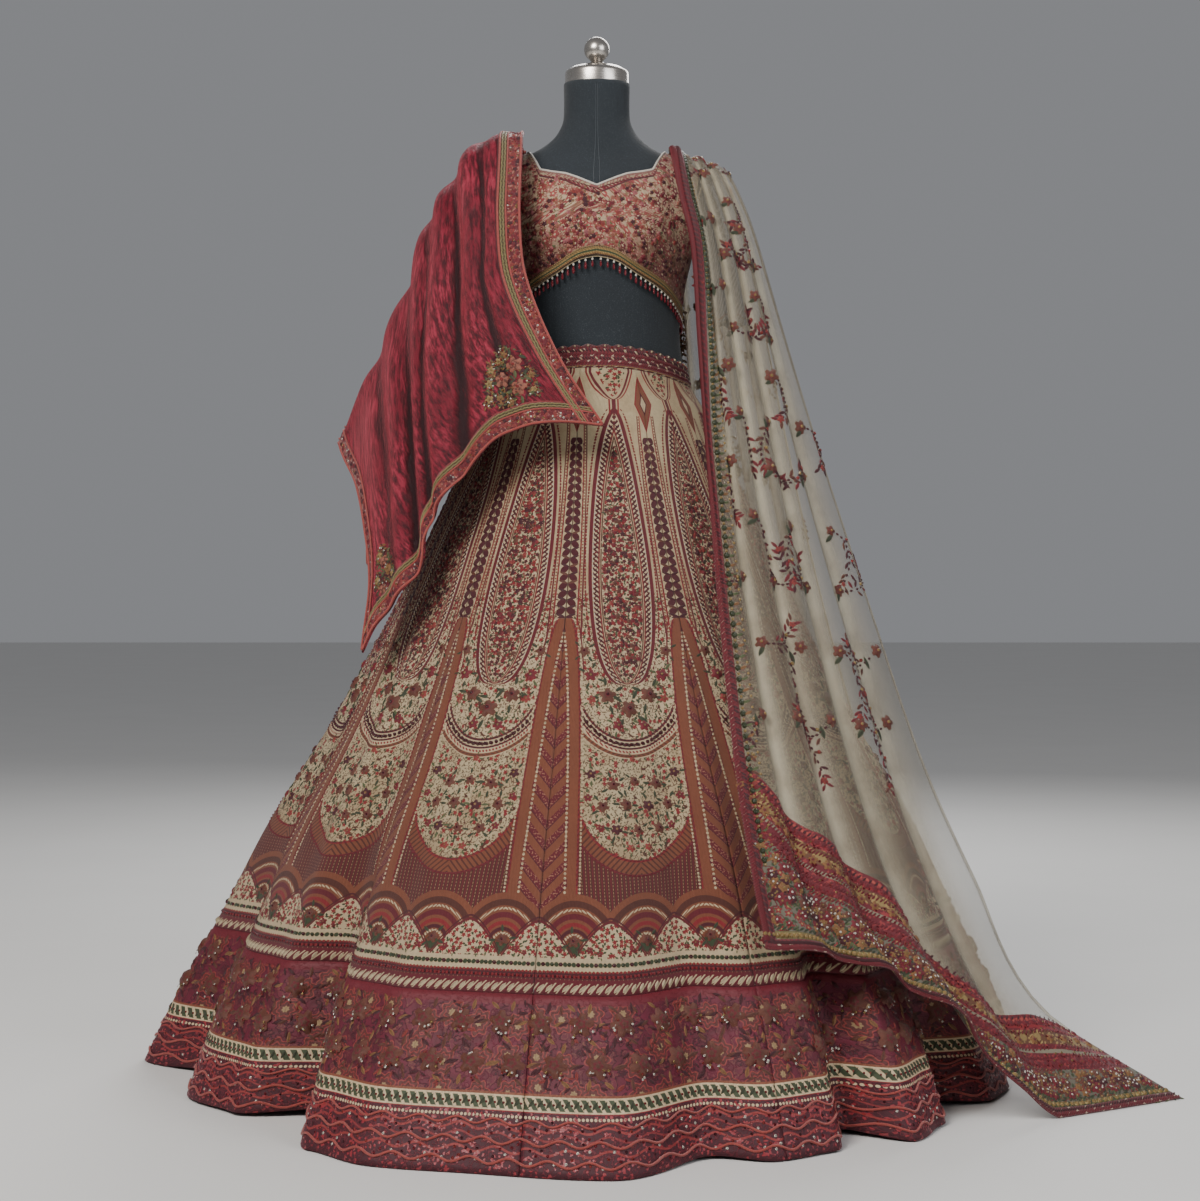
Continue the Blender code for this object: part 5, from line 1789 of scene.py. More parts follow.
class PanelWork:
    """Raised embroidery of the panels and of the velvet under them."""

    def __init__(self):
        self.chance = random.Random(11)
        self.flowers, self.leaves, self.stitches, self.beads, self.sequins = (Stitches() for _ in range(5))
        self.number = 0

    def put(self, kind, x, z, size, turn=0.0, shade=0, stretch=1.0, out=0.0004):
        across, down = on_panel(self.number, x, z)
        kind.add(SKIRT, across % 1.0, down, size, turn, shade, out, stretch)

    def spray(self, x, z, size, shade, leaf_shade, leaf_count=3):
        chance = self.chance
        middle = RED if shade != RED else MAROON
        self.put(self.flowers, x, z, size, any_turn(chance), shade)
        self.put(self.flowers, x, z, size * 0.5, any_turn(chance), middle, out=size * 0.09)
        self.put(self.beads, x, z, size * 0.20, 0.0, MAROON if shade == BROWN else GOLD, out=size * 0.15)
        first = any_turn(chance)
        reach = size * 0.74
        for step in range(leaf_count):
            turn = first + step * FULL_TURN / leaf_count + chance.uniform(-0.25, 0.25)
            beside = x + math.cos(turn) * reach
            above = z + math.sin(turn) * reach
            self.put(self.leaves, beside, above, size * 0.60, turn, leaf_shade)

    def oval(self):
        """Small flowers inside the long pointed oval, and its stitched edge."""
        chance = self.chance
        made = 0
        while made < 150:
            z = chance.uniform(MANDORLA_LOW + 0.030, MANDORLA_HIGH - 0.050)
            half = mandorla_half(z) - 0.0215
            if half < 0.002 or chance.random() > half / 0.026:
                continue
            x = chance.uniform(-half, half)
            self.put(self.flowers, x, z, chance.uniform(0.0060, 0.0092), any_turn(chance),
                     chance.choice((RED, RED, CORAL, MAROON, MAROON, BROWN)))
            beside = x + chance.uniform(-1, 1) * 0.005
            above = z + chance.uniform(-1, 1) * 0.006
            self.put(self.leaves, beside, above, 0.0064, any_turn(chance),
                     chance.choice((GREEN, LEAF, MAROON, CREAM)))
            made += 1
        z = MANDORLA_LOW + 0.005
        while z < MANDORLA_HIGH - 0.004:
            half = mandorla_half(z)
            slope = (mandorla_half(z + 0.002) - mandorla_half(z - 0.002)) / 0.004
            turn = math.atan2(1.0, slope)
            for side in (-1.0, 1.0):
                along = turn if side > 0 else math.pi - turn
                self.put(self.stitches, side * (half + 0.0044), z, 0.0050, along, RED)
                self.put(self.stitches, side * max(half - 0.0150, 0.0), z, 0.0055, along, RED)
                if half > 0.012:
                    shade = MAROON if chance.random() < 0.8 else RED
                    self.put(self.leaves, side * (half - 0.0102), z, 0.0068, along + side * 0.7, shade)
                    self.put(self.beads, side * (half - 0.0062), z, 0.0021, 0.0, PEARL)
            z += EDGE_PITCH

    def arch(self):
        z = ARCH_LOW + 0.004
        while z < ARCH_TOP - 0.003:
            half = arch_half(z)
            for side in (-1.0, 1.0):
                edge = half_panel(z) - half
                self.put(self.stitches, side * (edge - 0.0068), z, 0.0064, math.pi / 2.0 + side * 0.10, RED)
                self.put(self.beads, side * (edge - 0.0105), z, 0.0026, 0.0, CREAM)
                if half > 0.014:
                    self.put(self.beads, side * (edge + 0.0095), z, 0.0026, 0.0, CREAM)
            z += EDGE_PITCH

    def fronds(self):
        """Leaves along both seams of the panel's upper part."""
        z = FERN_LOW
        while z < FERN_HIGH:
            full = half_panel(z)
            scale = full / FERN_HALF
            for side, turn in ((-1.0, 0.35), (1.0, math.pi - 0.35)):
                shade = MAROON if self.chance.random() < 0.85 else BROWN
                self.put(self.leaves, side * (full - 0.0070 * scale), z, 0.0128 * scale, turn, shade, 1.25)
                self.put(self.stitches, side * (full - 0.0165 * scale), z, 0.0068, math.pi / 2.0, RED)
            z += FERN_PITCH

    def ring(self, kind, cup, outside, count, size, shade, turned):
        """Copies along a half circle below a cup, as far as the arches on both sides."""
        centre, radius = cup
        for step in range(count + 1):
            turn = math.pi * step / count
            x = -(radius + outside) * math.cos(turn)
            z = centre - (radius + outside) * math.sin(turn)
            if abs(x) < half_panel(z) - arch_half(z) - 0.012:
                self.put(kind, x, z, size, math.pi * 1.5 - turn if turned else 0.0, shade)

    def cups(self):
        for cup, outside, shade in CUP_RINGS:
            count = int(math.pi * (cup[1] + outside) / EDGE_PITCH)
            self.ring(self.stitches, cup, outside, count, 0.0064, shade, True)
        self.ring(self.beads, CUP_ONE, 0.0055, 30, 0.0056, MAROON, False)
        for x, z, size, shade in CUP_SPRAYS:
            leaf_shade = GREEN if shade == BROWN else self.chance.choice((GREEN, LEAF))
            self.spray(x, z, size, shade, leaf_shade, 4)

    def row_places(self, z, pitch):
        """Numbers and places of a row across the panel."""
        count = int(half_panel(z) * 2.0 / pitch)
        return [(step, (step - (count - 1) / 2.0) * pitch) for step in range(count)]

    def scallops(self):
        full = half_panel(0.27)
        for step in range(SCALLOPS):
            x = full * ((step + 0.5) / SCALLOPS * 2.0 - 1.0)
            self.spray(x, SPRAY_HEIGHT, 0.019, BROWN, GREEN, 4)
            for across, rise, size in SCALLOP_SPRAYS:
                self.spray(x + across, rise, size, RED, LEAF)
        for z, pitch, size, shade in BEAD_ROWS:
            for step, x in self.row_places(z, pitch):
                self.put(self.beads, x, z, size, 0.0, shade if step % 2 else MAROON)
        for _, x in self.row_places(DASH_ROW, DASH_PITCH):
            self.put(self.stitches, x, DASH_ROW, 0.0135, 0.84, CREAM)

    def medallion(self, x, z, size):
        chance = self.chance
        for share, shade, out in ((1.0, BROWN, 0.0004), (0.62, RED, 0.0026), (0.34, BROWN, 0.0042)):
            self.put(self.flowers, x, z, size * share, any_turn(chance), shade, out=out)
        for turn in np.linspace(0.0, FULL_TURN, 6, endpoint=False):
            beside = x + math.cos(turn) * size * 0.66
            above = z + math.sin(turn) * size * 0.62
            self.put(self.leaves, beside, above, size * 0.44, turn + 0.4,
                     chance.choice((MAROON, BROWN, OCHRE)))
        for _ in range(11):
            turn = any_turn(chance)
            reach = size * chance.uniform(0.05, 0.42)
            beside = x + math.cos(turn) * reach
            above = z - 0.006 + math.sin(turn) * reach
            self.put(self.sequins, beside, above, 0.0038, turn,
                     chance.choice((PEARL, PEARL, GOLD, CORAL)), out=0.0050)

    def velvet(self):
        """Medallions, loose stitches, a leaf row and sequins on the velvet."""
        chance = self.chance
        for step in range(MEDALLIONS):
            for z, size, shift in MEDALLION_ROWS:
                full = half_panel(z)
                x = full * ((step + shift) / MEDALLIONS * 2.0 - 1.0)
                if abs(x) <= full - 0.012:
                    self.medallion(x, z, size)
        for _ in range(90):
            z = chance.uniform(0.100, 0.200)
            x = chance.uniform(-1, 1) * (half_panel(z) - 0.006)
            self.put(self.stitches, x, z, chance.uniform(0.008, 0.014), any_turn(chance),
                     chance.choice((MAROON, MAROON, BROWN, CORAL)))
        for _, x in self.row_places(LEAF_ROW, LEAF_PITCH):
            self.put(self.leaves, x, LEAF_ROW + 0.0005, 0.0135, 1.05, GREEN)
            self.put(self.beads, x + 0.0057, LEAF_ROW, 0.0034, 0.0, RED)
        for row in range(FOOT_ROWS):
            shift = 0.5 * FOOT_PITCH if row % 2 else 0.0
            for _, x in self.row_places(0.02, FOOT_PITCH):
                x += shift
                z = 0.016 + row * 0.0078 + chance.uniform(-1, 1) * 0.0024
                if abs(x) < half_panel(z) and chance.random() < 0.8:
                    self.put(self.sequins, x, z, 0.0044, any_turn(chance),
                             chance.choice((RED, CORAL, PINK, PEARL, MAROON)))

    def build(self, thread, shine, glass):
        for label, kind, shape, material, slot in (
            ("skirt_flowers", self.flowers, flower_shape(5), thread, "raw_silk"),
            ("skirt_leaves", self.leaves, leaf_shape(), thread, "raw_silk"),
            ("skirt_stitches", self.stitches, stitch_shape(), thread, "rope_embroidery"),
            ("skirt_beads", self.beads, bead_shape(), glass, "beads"),
            ("skirt_sequins", self.sequins, sequin_shape(), shine, "beads"),
        ):
            build_quarters(label, kind, shape, material, slot)


def make_skirt_embroidery(thread, shine, glass):
    work = PanelWork()
    for number in range(PANELS):
        work.number = number
        for band in (work.oval, work.arch, work.fronds, work.cups, work.scallops, work.velvet):
            band()
    work.build(thread, shine, glass)


def build_quarters(label, stitches, shape, material, slot):
    """One piece for each quarter of the skirt, or more where they would be large."""
    parts = {}
    room = PIECE_FACES // sum(len(face.vertices) - 2 for face in shape.polygons)
    for row in stitches.rows:
        parts.setdefault(int(row[1] * 4) % 4, []).append(row)
    for quarter, rows in sorted(parts.items()):
        for start in range(0, len(rows), room):
            part = Stitches()
            part.rows = rows[start:start + room]
            part.build("%s_%d_%d" % (label, quarter + 1, start // room + 1), shape, material, slot)


# Cords round the foot of the skirt: height, swing, radius
HEM_CORDS = ((0.062, 0.0035, 0.0016), (0.040, 0.0038, 0.0019), (0.017, 0.0038, 0.0019))
HEM_WAVES = 84


def make_hem_cords(material):
    """Wavy cords laid round the foot of the skirt."""
    count = 720
    across = np.arange(count + 1) / count
    waves = 2.0 * math.pi * HEM_WAVES * across
    floor = np.array([hem_height(PANEL_START + 360.0 * place) for place in across])
    for number, (z, swing, radius) in enumerate(HEM_CORDS):
        height = np.maximum(z + swing * np.sin(waves + number * 1.7), floor + 0.005)
        path = SKIRT.at(across, height / SKIRT_TOP, radius * 0.5)
        name = "hem_cord_%d" % (number + 1)
        add_piece(name, cord_data(name, path, radius, 5), [material], "cord_border")


# Dress form
FINIAL_PROFILE = (
    (0.0140, 1.5273),
    (0.0148, 1.5300),
    (0.0120, 1.5335),
    (0.0085, 1.5362),
    (0.0108, 1.5385),
    (0.0152, 1.5425),
    (0.0186, 1.5480),
    (0.0196, 1.5545),
    (0.0186, 1.5610),
    (0.0152, 1.5667),
    (0.0108, 1.5708),
    (0.0055, 1.5732),
    (0.0004, 1.5739),
)
CAP_PROFILE = (
    (0.0486, 1.5003),
    (0.0486, 1.5165),
    (0.0480, 1.5195),
    (0.0462, 1.5215),
    (0.0372, 1.5268),
    (0.0300, 1.5270),
    (0.0004, 1.5270),
)
PRINCESS_SEAM = 0.066
SEAM_DEPTH = 0.0007


def turned_data(name, profile, steps):
    """A solid turned about the axis, its profile listed upwards."""
    mesh = bmesh.new()
    verts = [mesh.verts.new((radius, 0.0, z)) for radius, z in profile]
    edges = [mesh.edges.new(pair) for pair in zip(verts, verts[1:])]
    bmesh.ops.spin(mesh, geom=verts + edges, axis=(0, 0, 1), cent=(0, 0, 0), angle=2.0 * math.pi,
                   steps=steps, use_merge=True)
    bmesh.ops.remove_doubles(mesh, verts=mesh.verts[:], dist=2e-6)
    bmesh.ops.holes_fill(mesh, edges=[edge for edge in mesh.edges if edge.is_boundary], sides=steps)
    bmesh.ops.recalc_face_normals(mesh, faces=mesh.faces[:])
    data = bpy.data.meshes.new(name)
    mesh.to_mesh(data)
    mesh.free()
    return data


def seam_groove(x):
    middle = math.exp(-(x / 0.0011) ** 2)
    side = math.exp(-((abs(x) - PRINCESS_SEAM) / 0.0013) ** 2)
    return SEAM_DEPTH * middle + SEAM_DEPTH * side


def make_form(jersey, steel, dark_thread):
    top = FORM_SECTIONS[-1][0]
    low = FORM_SECTIONS[0][0]
    columns, rows = 256, 120

    def place(across, down):
        angle = 2.0 * math.pi * across - math.pi
        z = low + (top - low) * down
        point = around_body(angle, z, 0.0)
        depth = seam_groove(point.x) if abs(point.x) < 0.08 else 0.0
        flat = Vector((point.x, point.y, 0.0))
        return point - flat.normalized() * depth
    surface = Surface(place, columns, rows, from_axis)
    data, across, down = grid_mesh("jersey_cover", columns, rows)
    set_points(data, surface.at(across, down))
    close_seam(data)
    mesh = bmesh.new()
    mesh.from_mesh(data)
    bmesh.ops.holes_fill(mesh, edges=[edge for edge in mesh.edges if edge.is_boundary], sides=columns)
    bmesh.ops.recalc_face_normals(mesh, faces=mesh.faces[:])
    mesh.to_mesh(data)
    mesh.free()
    add_piece("jersey_cover", data, [jersey], "form_jersey", ["form_torso"])
    stitches = Stitches()
    count = 260
    for step in range(count):
        down = 0.72 + 0.27 * step / count
        stitches.add(surface, 0.5 + 0.0026, down, 0.0022, math.pi / 2.0, 0, 0.0001)
        stitches.add(surface, 0.5 - 0.0026, down, 0.0022, math.pi / 2.0, 0, 0.0001)
    stitches.build("form_seam_stitches", stitch_shape(), dark_thread, "form_jersey")
    for name, profile, node in (
        ("steel_cap", CAP_PROFILE, "form_cap"),
        ("ball_finial", FINIAL_PROFILE, "form_finial"),
    ):
        item = add_piece(name, turned_data(name, profile, 96), [steel], "steel", [node])
        item.data.set_sharp_from_angle(angle=math.radians(50))
    for node in ("form_pole", "form_base"):
        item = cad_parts[node]
        item.data.materials.clear()
        item.data.materials.append(steel)


# Blouse
CHOLI_COLUMNS = 168
CHOLI_ROWS = 96
# Soft creases of the blouse: place across, from and to up the panel, width, depth
CHOLI_CREASES = (
    (0.24, 0.05, 0.62, 0.020, 0.0012),
    (0.76, 0.05, 0.60, 0.020, 0.0012),
    (0.40, 0.10, 0.45, 0.018, 0.0009),
    (0.61, 0.08, 0.50, 0.018, 0.0010),
    (0.12, 0.20, 0.75, 0.022, 0.0011),
    (0.88, 0.22, 0.70, 0.022, 0.0011),
)


# Threads of the blouse's flowers, in its lower and its upper part
LOW_BLOOMS = (RED, MAROON, MAROON, BROWN)
HIGH_BLOOMS = (SALMON, PINK, CORAL, RED, MAROON)


def choli_surface(table, hem, facing):
    out = CHOLI_ON_FORM + CHOLI_WALL

    def place(across, down):
        side = -1.0 if across < 0.5 else 1.0
        point = choli_line(table, hem, abs(across - 0.5) * 2.0, down, facing)
        crease = 0.0
        for centre, low, high, width, depth in CHOLI_CREASES:
            if low < down < high:
                run = math.sin(math.pi * (down - low) / (high - low))
                crease += depth * run * math.exp(-((across - centre) / width) ** 2)
        point = off_body(point, out - crease)
        return Vector((side * point.x, point.y + facing * SEAM / 2, point.z))
    return Surface(place, CHOLI_COLUMNS, CHOLI_ROWS, from_axis)


def make_choli(cloth, trim, piping, thread, glass):
    for side, table, hem, facing in (
        ("front", CHOLI_FRONT_TOP, choli_hem, -1.0),
        ("back", CHOLI_BACK_TOP, choli_back_hem, 1.0),
    ):
        surface = choli_surface(table, hem, facing)
        item = sheet("blouse_" + side, surface, (CHOLI_COLUMNS, CHOLI_ROWS), (0.0, 1.0, 0.0, 1.0), cloth,
                     "choli_cloth", ["choli_" + side], CHOLI_WALL)
        across, down = item_places((CHOLI_COLUMNS, CHOLI_ROWS), span_places((0.0, 1.0, 0.0, 1.0)))
        x, y = surface.metres(across, down)
        set_uv(item.data, "neck", np.stack([x, surface.metres(across, np.ones(len(down)))[1] - y], axis=1))
        band_top = CHOLI_RISE[1][0]
        lay = LAY + TRIM_WALL
        sheet("blouse_braid_" + side, surface, (CHOLI_COLUMNS, 6), (0.002, 0.998, 0.0, band_top), trim,
              "gold_trim", ["choli_hem_band_" + side], TRIM_WALL, out=lay)
        top = [surface.at(place, 1.0, -0.0004) for place in np.linspace(0.13, 0.87, 150)]
        name = "neck_piping_" + side
        add_piece(name, cord_data(name, np.array(top), 0.0017, 8), [piping], "choli_cloth")
        neck = Stitches()
        chance = random.Random(5)
        for place in np.linspace(0.14, 0.86, 92):
            neck.add(surface, place, 0.962, 0.0052, 0.9, PINK if chance.random() < 0.45 else CREAM, 0.0004)
            neck.add(surface, place, 0.940, 0.0030, 0.0, MAROON, 0.0004)
        neck.build("neck_stitches_" + side, stitch_shape(), thread, "choli_cloth")
        pearls = Stitches()
        for place in (0.004, 0.996):
            for down in np.linspace(0.56, 0.99, 30):
                pearls.add(surface, place, down, 0.0034, 0.0, CREAM, 0.0006)
        pearls.build("armhole_pearls_" + side, bead_shape(), glass, "beads")
        blooms = Stitches()
        leaves = Stitches()
        for _ in range(430):
            across = chance.uniform(0.02, 0.98)
            down = chance.uniform(0.09, 0.93)
            low = surface.at(across, down)[2] < 1.235
            shade = chance.choice(LOW_BLOOMS if low else HIGH_BLOOMS)
            blooms.add(surface, across, down, chance.uniform(0.006, 0.0095), any_turn(chance), shade, 0.0003)
            leaves.add(surface, min(across + 0.012, 0.99), down + 0.012, 0.006, any_turn(chance),
                       chance.choice((OCHRE, LEAF, BROWN)), 0.0003)
        blooms.build("blouse_flowers_" + side, flower_shape(5), thread, "choli_cloth")
        leaves.build("blouse_leaves_" + side, leaf_shape(), thread, "choli_cloth")
        braid = Stitches()
        for place in np.linspace(0.01, 0.99, 150):
            braid.add(surface, place, band_top * 0.80, 0.0046, 0.75, GOLD, lay)
            braid.add(surface, place, band_top * 0.22, 0.0046, -0.75, OCHRE, lay)
            braid.add(surface, place, band_top * 0.50, 0.0034, 0.0, GREEN, lay)
        braid.build("braid_stitches_" + side, stitch_shape(), thread, "gold_trim")
        make_fringe(side, surface, glass)


def make_fringe(side, surface, glass):
    """Hanging drops along the hem: a pearl, then a long dark bead."""
    chance = random.Random(7 if side == "front" else 8)
    drop = np.array([0.0, 0.0, 0.0020])
    strip = [surface.at(place, 0.0, -0.0006) - drop for place in np.linspace(0.004, 0.996, 120)]
    data = cord_data("fringe_string_" + side, np.array(strip), 0.0009, 6)
    origins, sides, ups, aways, shades = [], [], [], [], []
    for place in np.linspace(0.018, 0.982, DROPS * 2):
        hang = surface.at(place, 0.0, -0.0002) - np.array([0.0, 0.0, 0.0028])
        ahead = surface.at(min(place + 0.01, 1.0), 0.0) - surface.at(max(place - 0.01, 0.0), 0.0)
        ahead[2] = 0.0
        ahead /= np.linalg.norm(ahead)
        up = np.array([0.0, 0.0, 1.0])
        away = np.cross(ahead, up)
        long_bead = chance.uniform(0.0095, 0.0125)
        for start, length, width, shade in ((0.0, 0.0046, 1.25, PEARL), (0.0042, long_bead, 0.62, RED)):
            origins.append(hang - up * start)
            sides.append(ahead * length * width)
            ups.append(up * length)
            aways.append(away * length * width)
            shades.append(shade)
    drops = join_copies("fringe_drops_" + side, drop_shape(), np.array(origins),
                        (np.array(sides), np.array(ups), np.array(aways)), shades, glass, "beads")
    add_piece("fringe_string_" + side, data, [glass], "beads", ["choli_fringe_" + side])
    return drops


# Sleeves
def sleeve_surface(side):
    ring = armhole_ring(side)
    count = len(ring)

    def line(across, down):
        place = (across % 1.0) * count
        index = int(place + TINY) % count
        part = max(place - int(place + TINY), 0.0)
        start = ring[index].lerp(ring[(index + 1) % count], part)
        start = start + Vector((side * SLEEVE_STEP, 0.0, 0.0))
        turn = 2.0 * math.pi * across
        ruffle = 0.0035 * math.sin(5.0 * turn + 0.8) * down ** 2
        end = Vector((
            side * (SLEEVE_OUT + (SLEEVE_HALF_WIDTH + ruffle) * math.cos(turn)),
            -(SLEEVE_HALF_DEPTH + ruffle) * math.sin(turn),
            SLEEVE_END + 0.003 * math.cos(8.0 * turn),
        ))
        high = 0.5 + 0.5 * math.cos(turn)
        bend = Vector((
            start.x + (end.x - start.x) * SLEEVE_BEND_OUT,
            (start.y + end.y) * SLEEVE_BEND_DEPTH,
            start.z - SLEEVE_BEND_DROP + SLEEVE_BEND_LIFT * high,
        ))
        rest = 1.0 - down
        point = start * rest * rest + bend * 2.0 * rest * down + end * down * down
        return clear_of_body(point, SLEEVE_OVER_FORM + SLEEVE_WALL)
    middle = Vector((side * SLEEVE_OUT * 0.97, 0.0, 0.0))
    return Surface(line, 96, 48, lambda point: (point[0] - middle.x, point[1], 0.0))


def make_sleeves(net, glass, thread):
    for side, label in ((1.0, "left"), (-1.0, "right")):
        surface = sleeve_surface(side)
        item = sheet("sleeve_" + label, surface, (96, 48), (0.0, 1.0, 0.0, 1.0), net, "sleeve_net",
                     ["choli_sleeve_" + label], SLEEVE_WALL)
        edge = Stitches()
        for place in np.linspace(0.0, 1.0, 120, endpoint=False):
            edge.add(surface, place, 0.975, 0.0040, 0.6, BROWN, 0.0003)
        edge.build("sleeve_edge_" + label, stitch_shape(), thread, "sleeve_net")
        pearls = Stitches()
        for place in np.linspace(0.0, 1.0, 84, endpoint=False):
            pearls.add(surface, place, 0.035, 0.0034, 0.0, CREAM, 0.0004)
        pearls.build("sleeve_pearls_" + label, bead_shape(), glass, "beads")


# Waistband
WAIST_STRANDS = ((0.20, 0.8, RED), (0.38, -0.8, MAROON), (0.56, 0.8, RED), (0.74, -0.8, MAROON))


def make_waistband(rope, thread, glass):
    def place(across, down):
        angle = 180.0 + 360.0 * across
        low = BAND_BOTTOM - band_drop(angle)
        scallop = 0.0032 * abs(math.sin(math.pi * across * 46)) * down ** 6
        z = low + (BAND_TOP - BAND_BOTTOM) * down - 0.0032 * down ** 6 + scallop
        ripple = 0.0005 * math.sin(2.0 * math.pi * across * 19)
        return around_body(math.radians(angle), z, ON_FORM + BAND_WALL + ripple)
    surface = Surface(place, 552, 20, from_axis)
    item = sheet("waistband", surface, (552, 20), (0.0, 1.0, 0.0, 1.0), rope, "rope_embroidery",
                 ["skirt_waistband"], BAND_WALL)
    braid = Stitches()
    for step in range(230):
        place_across = step / 230
        for down, turn, shade in WAIST_STRANDS:
            dash = CREAM if step % 5 == 0 and down in (0.38, 0.74) else shade
            braid.add(surface, place_across, down, 0.0062, turn, dash, 0.0003)
        braid.add(surface, place_across, 0.05, 0.0042, 0.0, GOLD, 0.0003)
    braid.build("waistband_rope", stitch_shape(), thread, "rope_embroidery")
    pearls = Stitches()
    for step in range(92):
        pearls.add(surface, step / 92, 0.93, 0.0036, 0.0, CREAM if step % 2 else CORAL, 0.0003)
    pearls.build("waistband_beads", bead_shape(), glass, "beads")


# Draped cloths
SHAWL_SIZE = (88, 96)
NET_SIZE = (120, 132)
NET_PLEAT = 0.0095
# Folds of the velvet: place across at the shoulder and at the hem, width, depth
SHAWL_FOLDS = (
    (0.20, 0.24, 0.034, 0.0080),
    (0.34, 0.42, 0.046, 0.0150),
    (0.48, 0.58, 0.034, 0.0120),
    (0.60, 0.74, 0.050, 0.0180),
    (0.78, 0.86, 0.040, 0.0110),
)


def drape_surface(table, cloth, facing, size, folds, pleat_power):
    guides = as_guides(table)
    towards = -1.0 if facing * guides[0][1].x > 0 else 1.0

    def place(across, down):
        row = HEM_ROW * down ** ROW_POWER
        row = row + (1.0 - HEM_ROW) * down ** 6
        point = drape_line(guides, cloth, towards, across, row)
        if down < TINY:
            point.y = -facing * SEAM / 2.0
        return point
    middle = guides[len(guides) // 2][3]
    surface = Surface(place, size[0], size[1], lambda point: (middle.x * 0.6, middle.y, 0.02))
    add_folds(surface, folds, cloth, pleat_power)
    return surface


def add_folds(surface, folds, cloth, pleat_power):
    """Pushes the cloth out between its folds, so that the folds stay where the solid is."""
    across = np.linspace(0.0, 1.0, surface.columns + 1)[None, :]
    down = np.linspace(0.0, 1.0, surface.rows + 1)[:, None]
    height = surface.points[:, :, 2]
    grounded = np.clip(height / 0.10, 0.0, 1.0)
    rise = np.clip(down / 0.10, 0.0, 1.0)
    lift = np.zeros(height.shape)
    for top, hem, width, depth in folds:
        centre = top + (hem - top) * down
        wander = 0.008 * np.sin(7.0 * down + 20.0 * top)
        lift += depth * (1.0 - np.exp(-((across - centre - wander) / width) ** 2)) / len(folds) * 2.0
        lift -= depth * np.exp(-((across - centre - wander) / width) ** 2) * 0.45
    if pleat_power:
        beat = 0.5 - 0.5 * np.cos(2.0 * math.pi * cloth["pleats"] * across + 0.35 * np.sin(5.0 * down))
        lift += pleat_power * (beat ** 0.55 - 0.35) * (0.35 + 0.65 * down)
        fine = 0.5 - 0.5 * np.cos(2.0 * math.pi * cloth["pleats"] * 3.0 * across + 1.9 * down)
        lift += pleat_power * 0.18 * fine
    lift = np.maximum(lift, -0.0015) * grounded * rise
    surface.points = surface.points + surface.normals * lift[:, :, None]
    along = np.gradient(surface.points, axis=1)
    fall = np.gradient(surface.points, axis=0)
    away = np.cross(along, fall)
    away /= np.maximum(np.linalg.norm(away, axis=2, keepdims=True), 1e-12)
    away *= np.sign(np.sum(away * surface.normals, axis=2, keepdims=True))
    surface.normals = away
    surface.measure()


def cord_border_material():
    """Wine ground with coral stitching and sequins, an olive braid and coral cords."""
    material, tree, shader = new_material("corded_border", 0.55, Sheen_Weight=0.10)
    place = uv_of(tree, "border")
    x, y, _ = apart(tree, place)
    _, _, glint = cells(tree, together(tree, x, y), 420.0)
    small = placed(tree, FLOWERS, Vector=place, Scale=120.0, Spread=0.7, Size=0.44)
    sequin = glint.step(0.80, 0.82)
    field = x.between(0.003, 0.0215)
    braid = x.between(0.0245, 0.0320)
    colour = layers(
        tree, DEEP,
        (field, WINE),
        (field.both(small["Petal"]), (0.30, 0.040, 0.034)),
        (field.both(small["Leaf"]), (0.16, 0.055, 0.025)),
        (field.both(sequin), (0.42, 0.16, 0.12)),
        (x.line(0.0012, 0.0016), (0.27, 0.035, 0.032)),
        (x.line(0.0228, 0.0014), (0.27, 0.035, 0.032)),
        (braid, (0.075, 0.058, 0.022)),
        (braid.both((y + x * 1.4).beat(0.0052).line(0.0, 0.22, 0.05)), (0.20, 0.150, 0.060)),
        (x.line(0.0345, 0.0020), (0.27, 0.035, 0.032)),
    )
    grain = placed(tree, THREAD, Vector=place, Pitch=0.0010)
    feed(tree, shader.inputs["Base Color"], dim(tree, colour, grain["Shade"]))
    feed(tree, shader.inputs["Roughness"], sequin * -0.30 + 0.60)
    raise_relief(tree, shader, grain["Height"] * 0.4 + sequin * 0.5 + small["Petal"] * 0.6, 0.0008, 0.9)
    return material


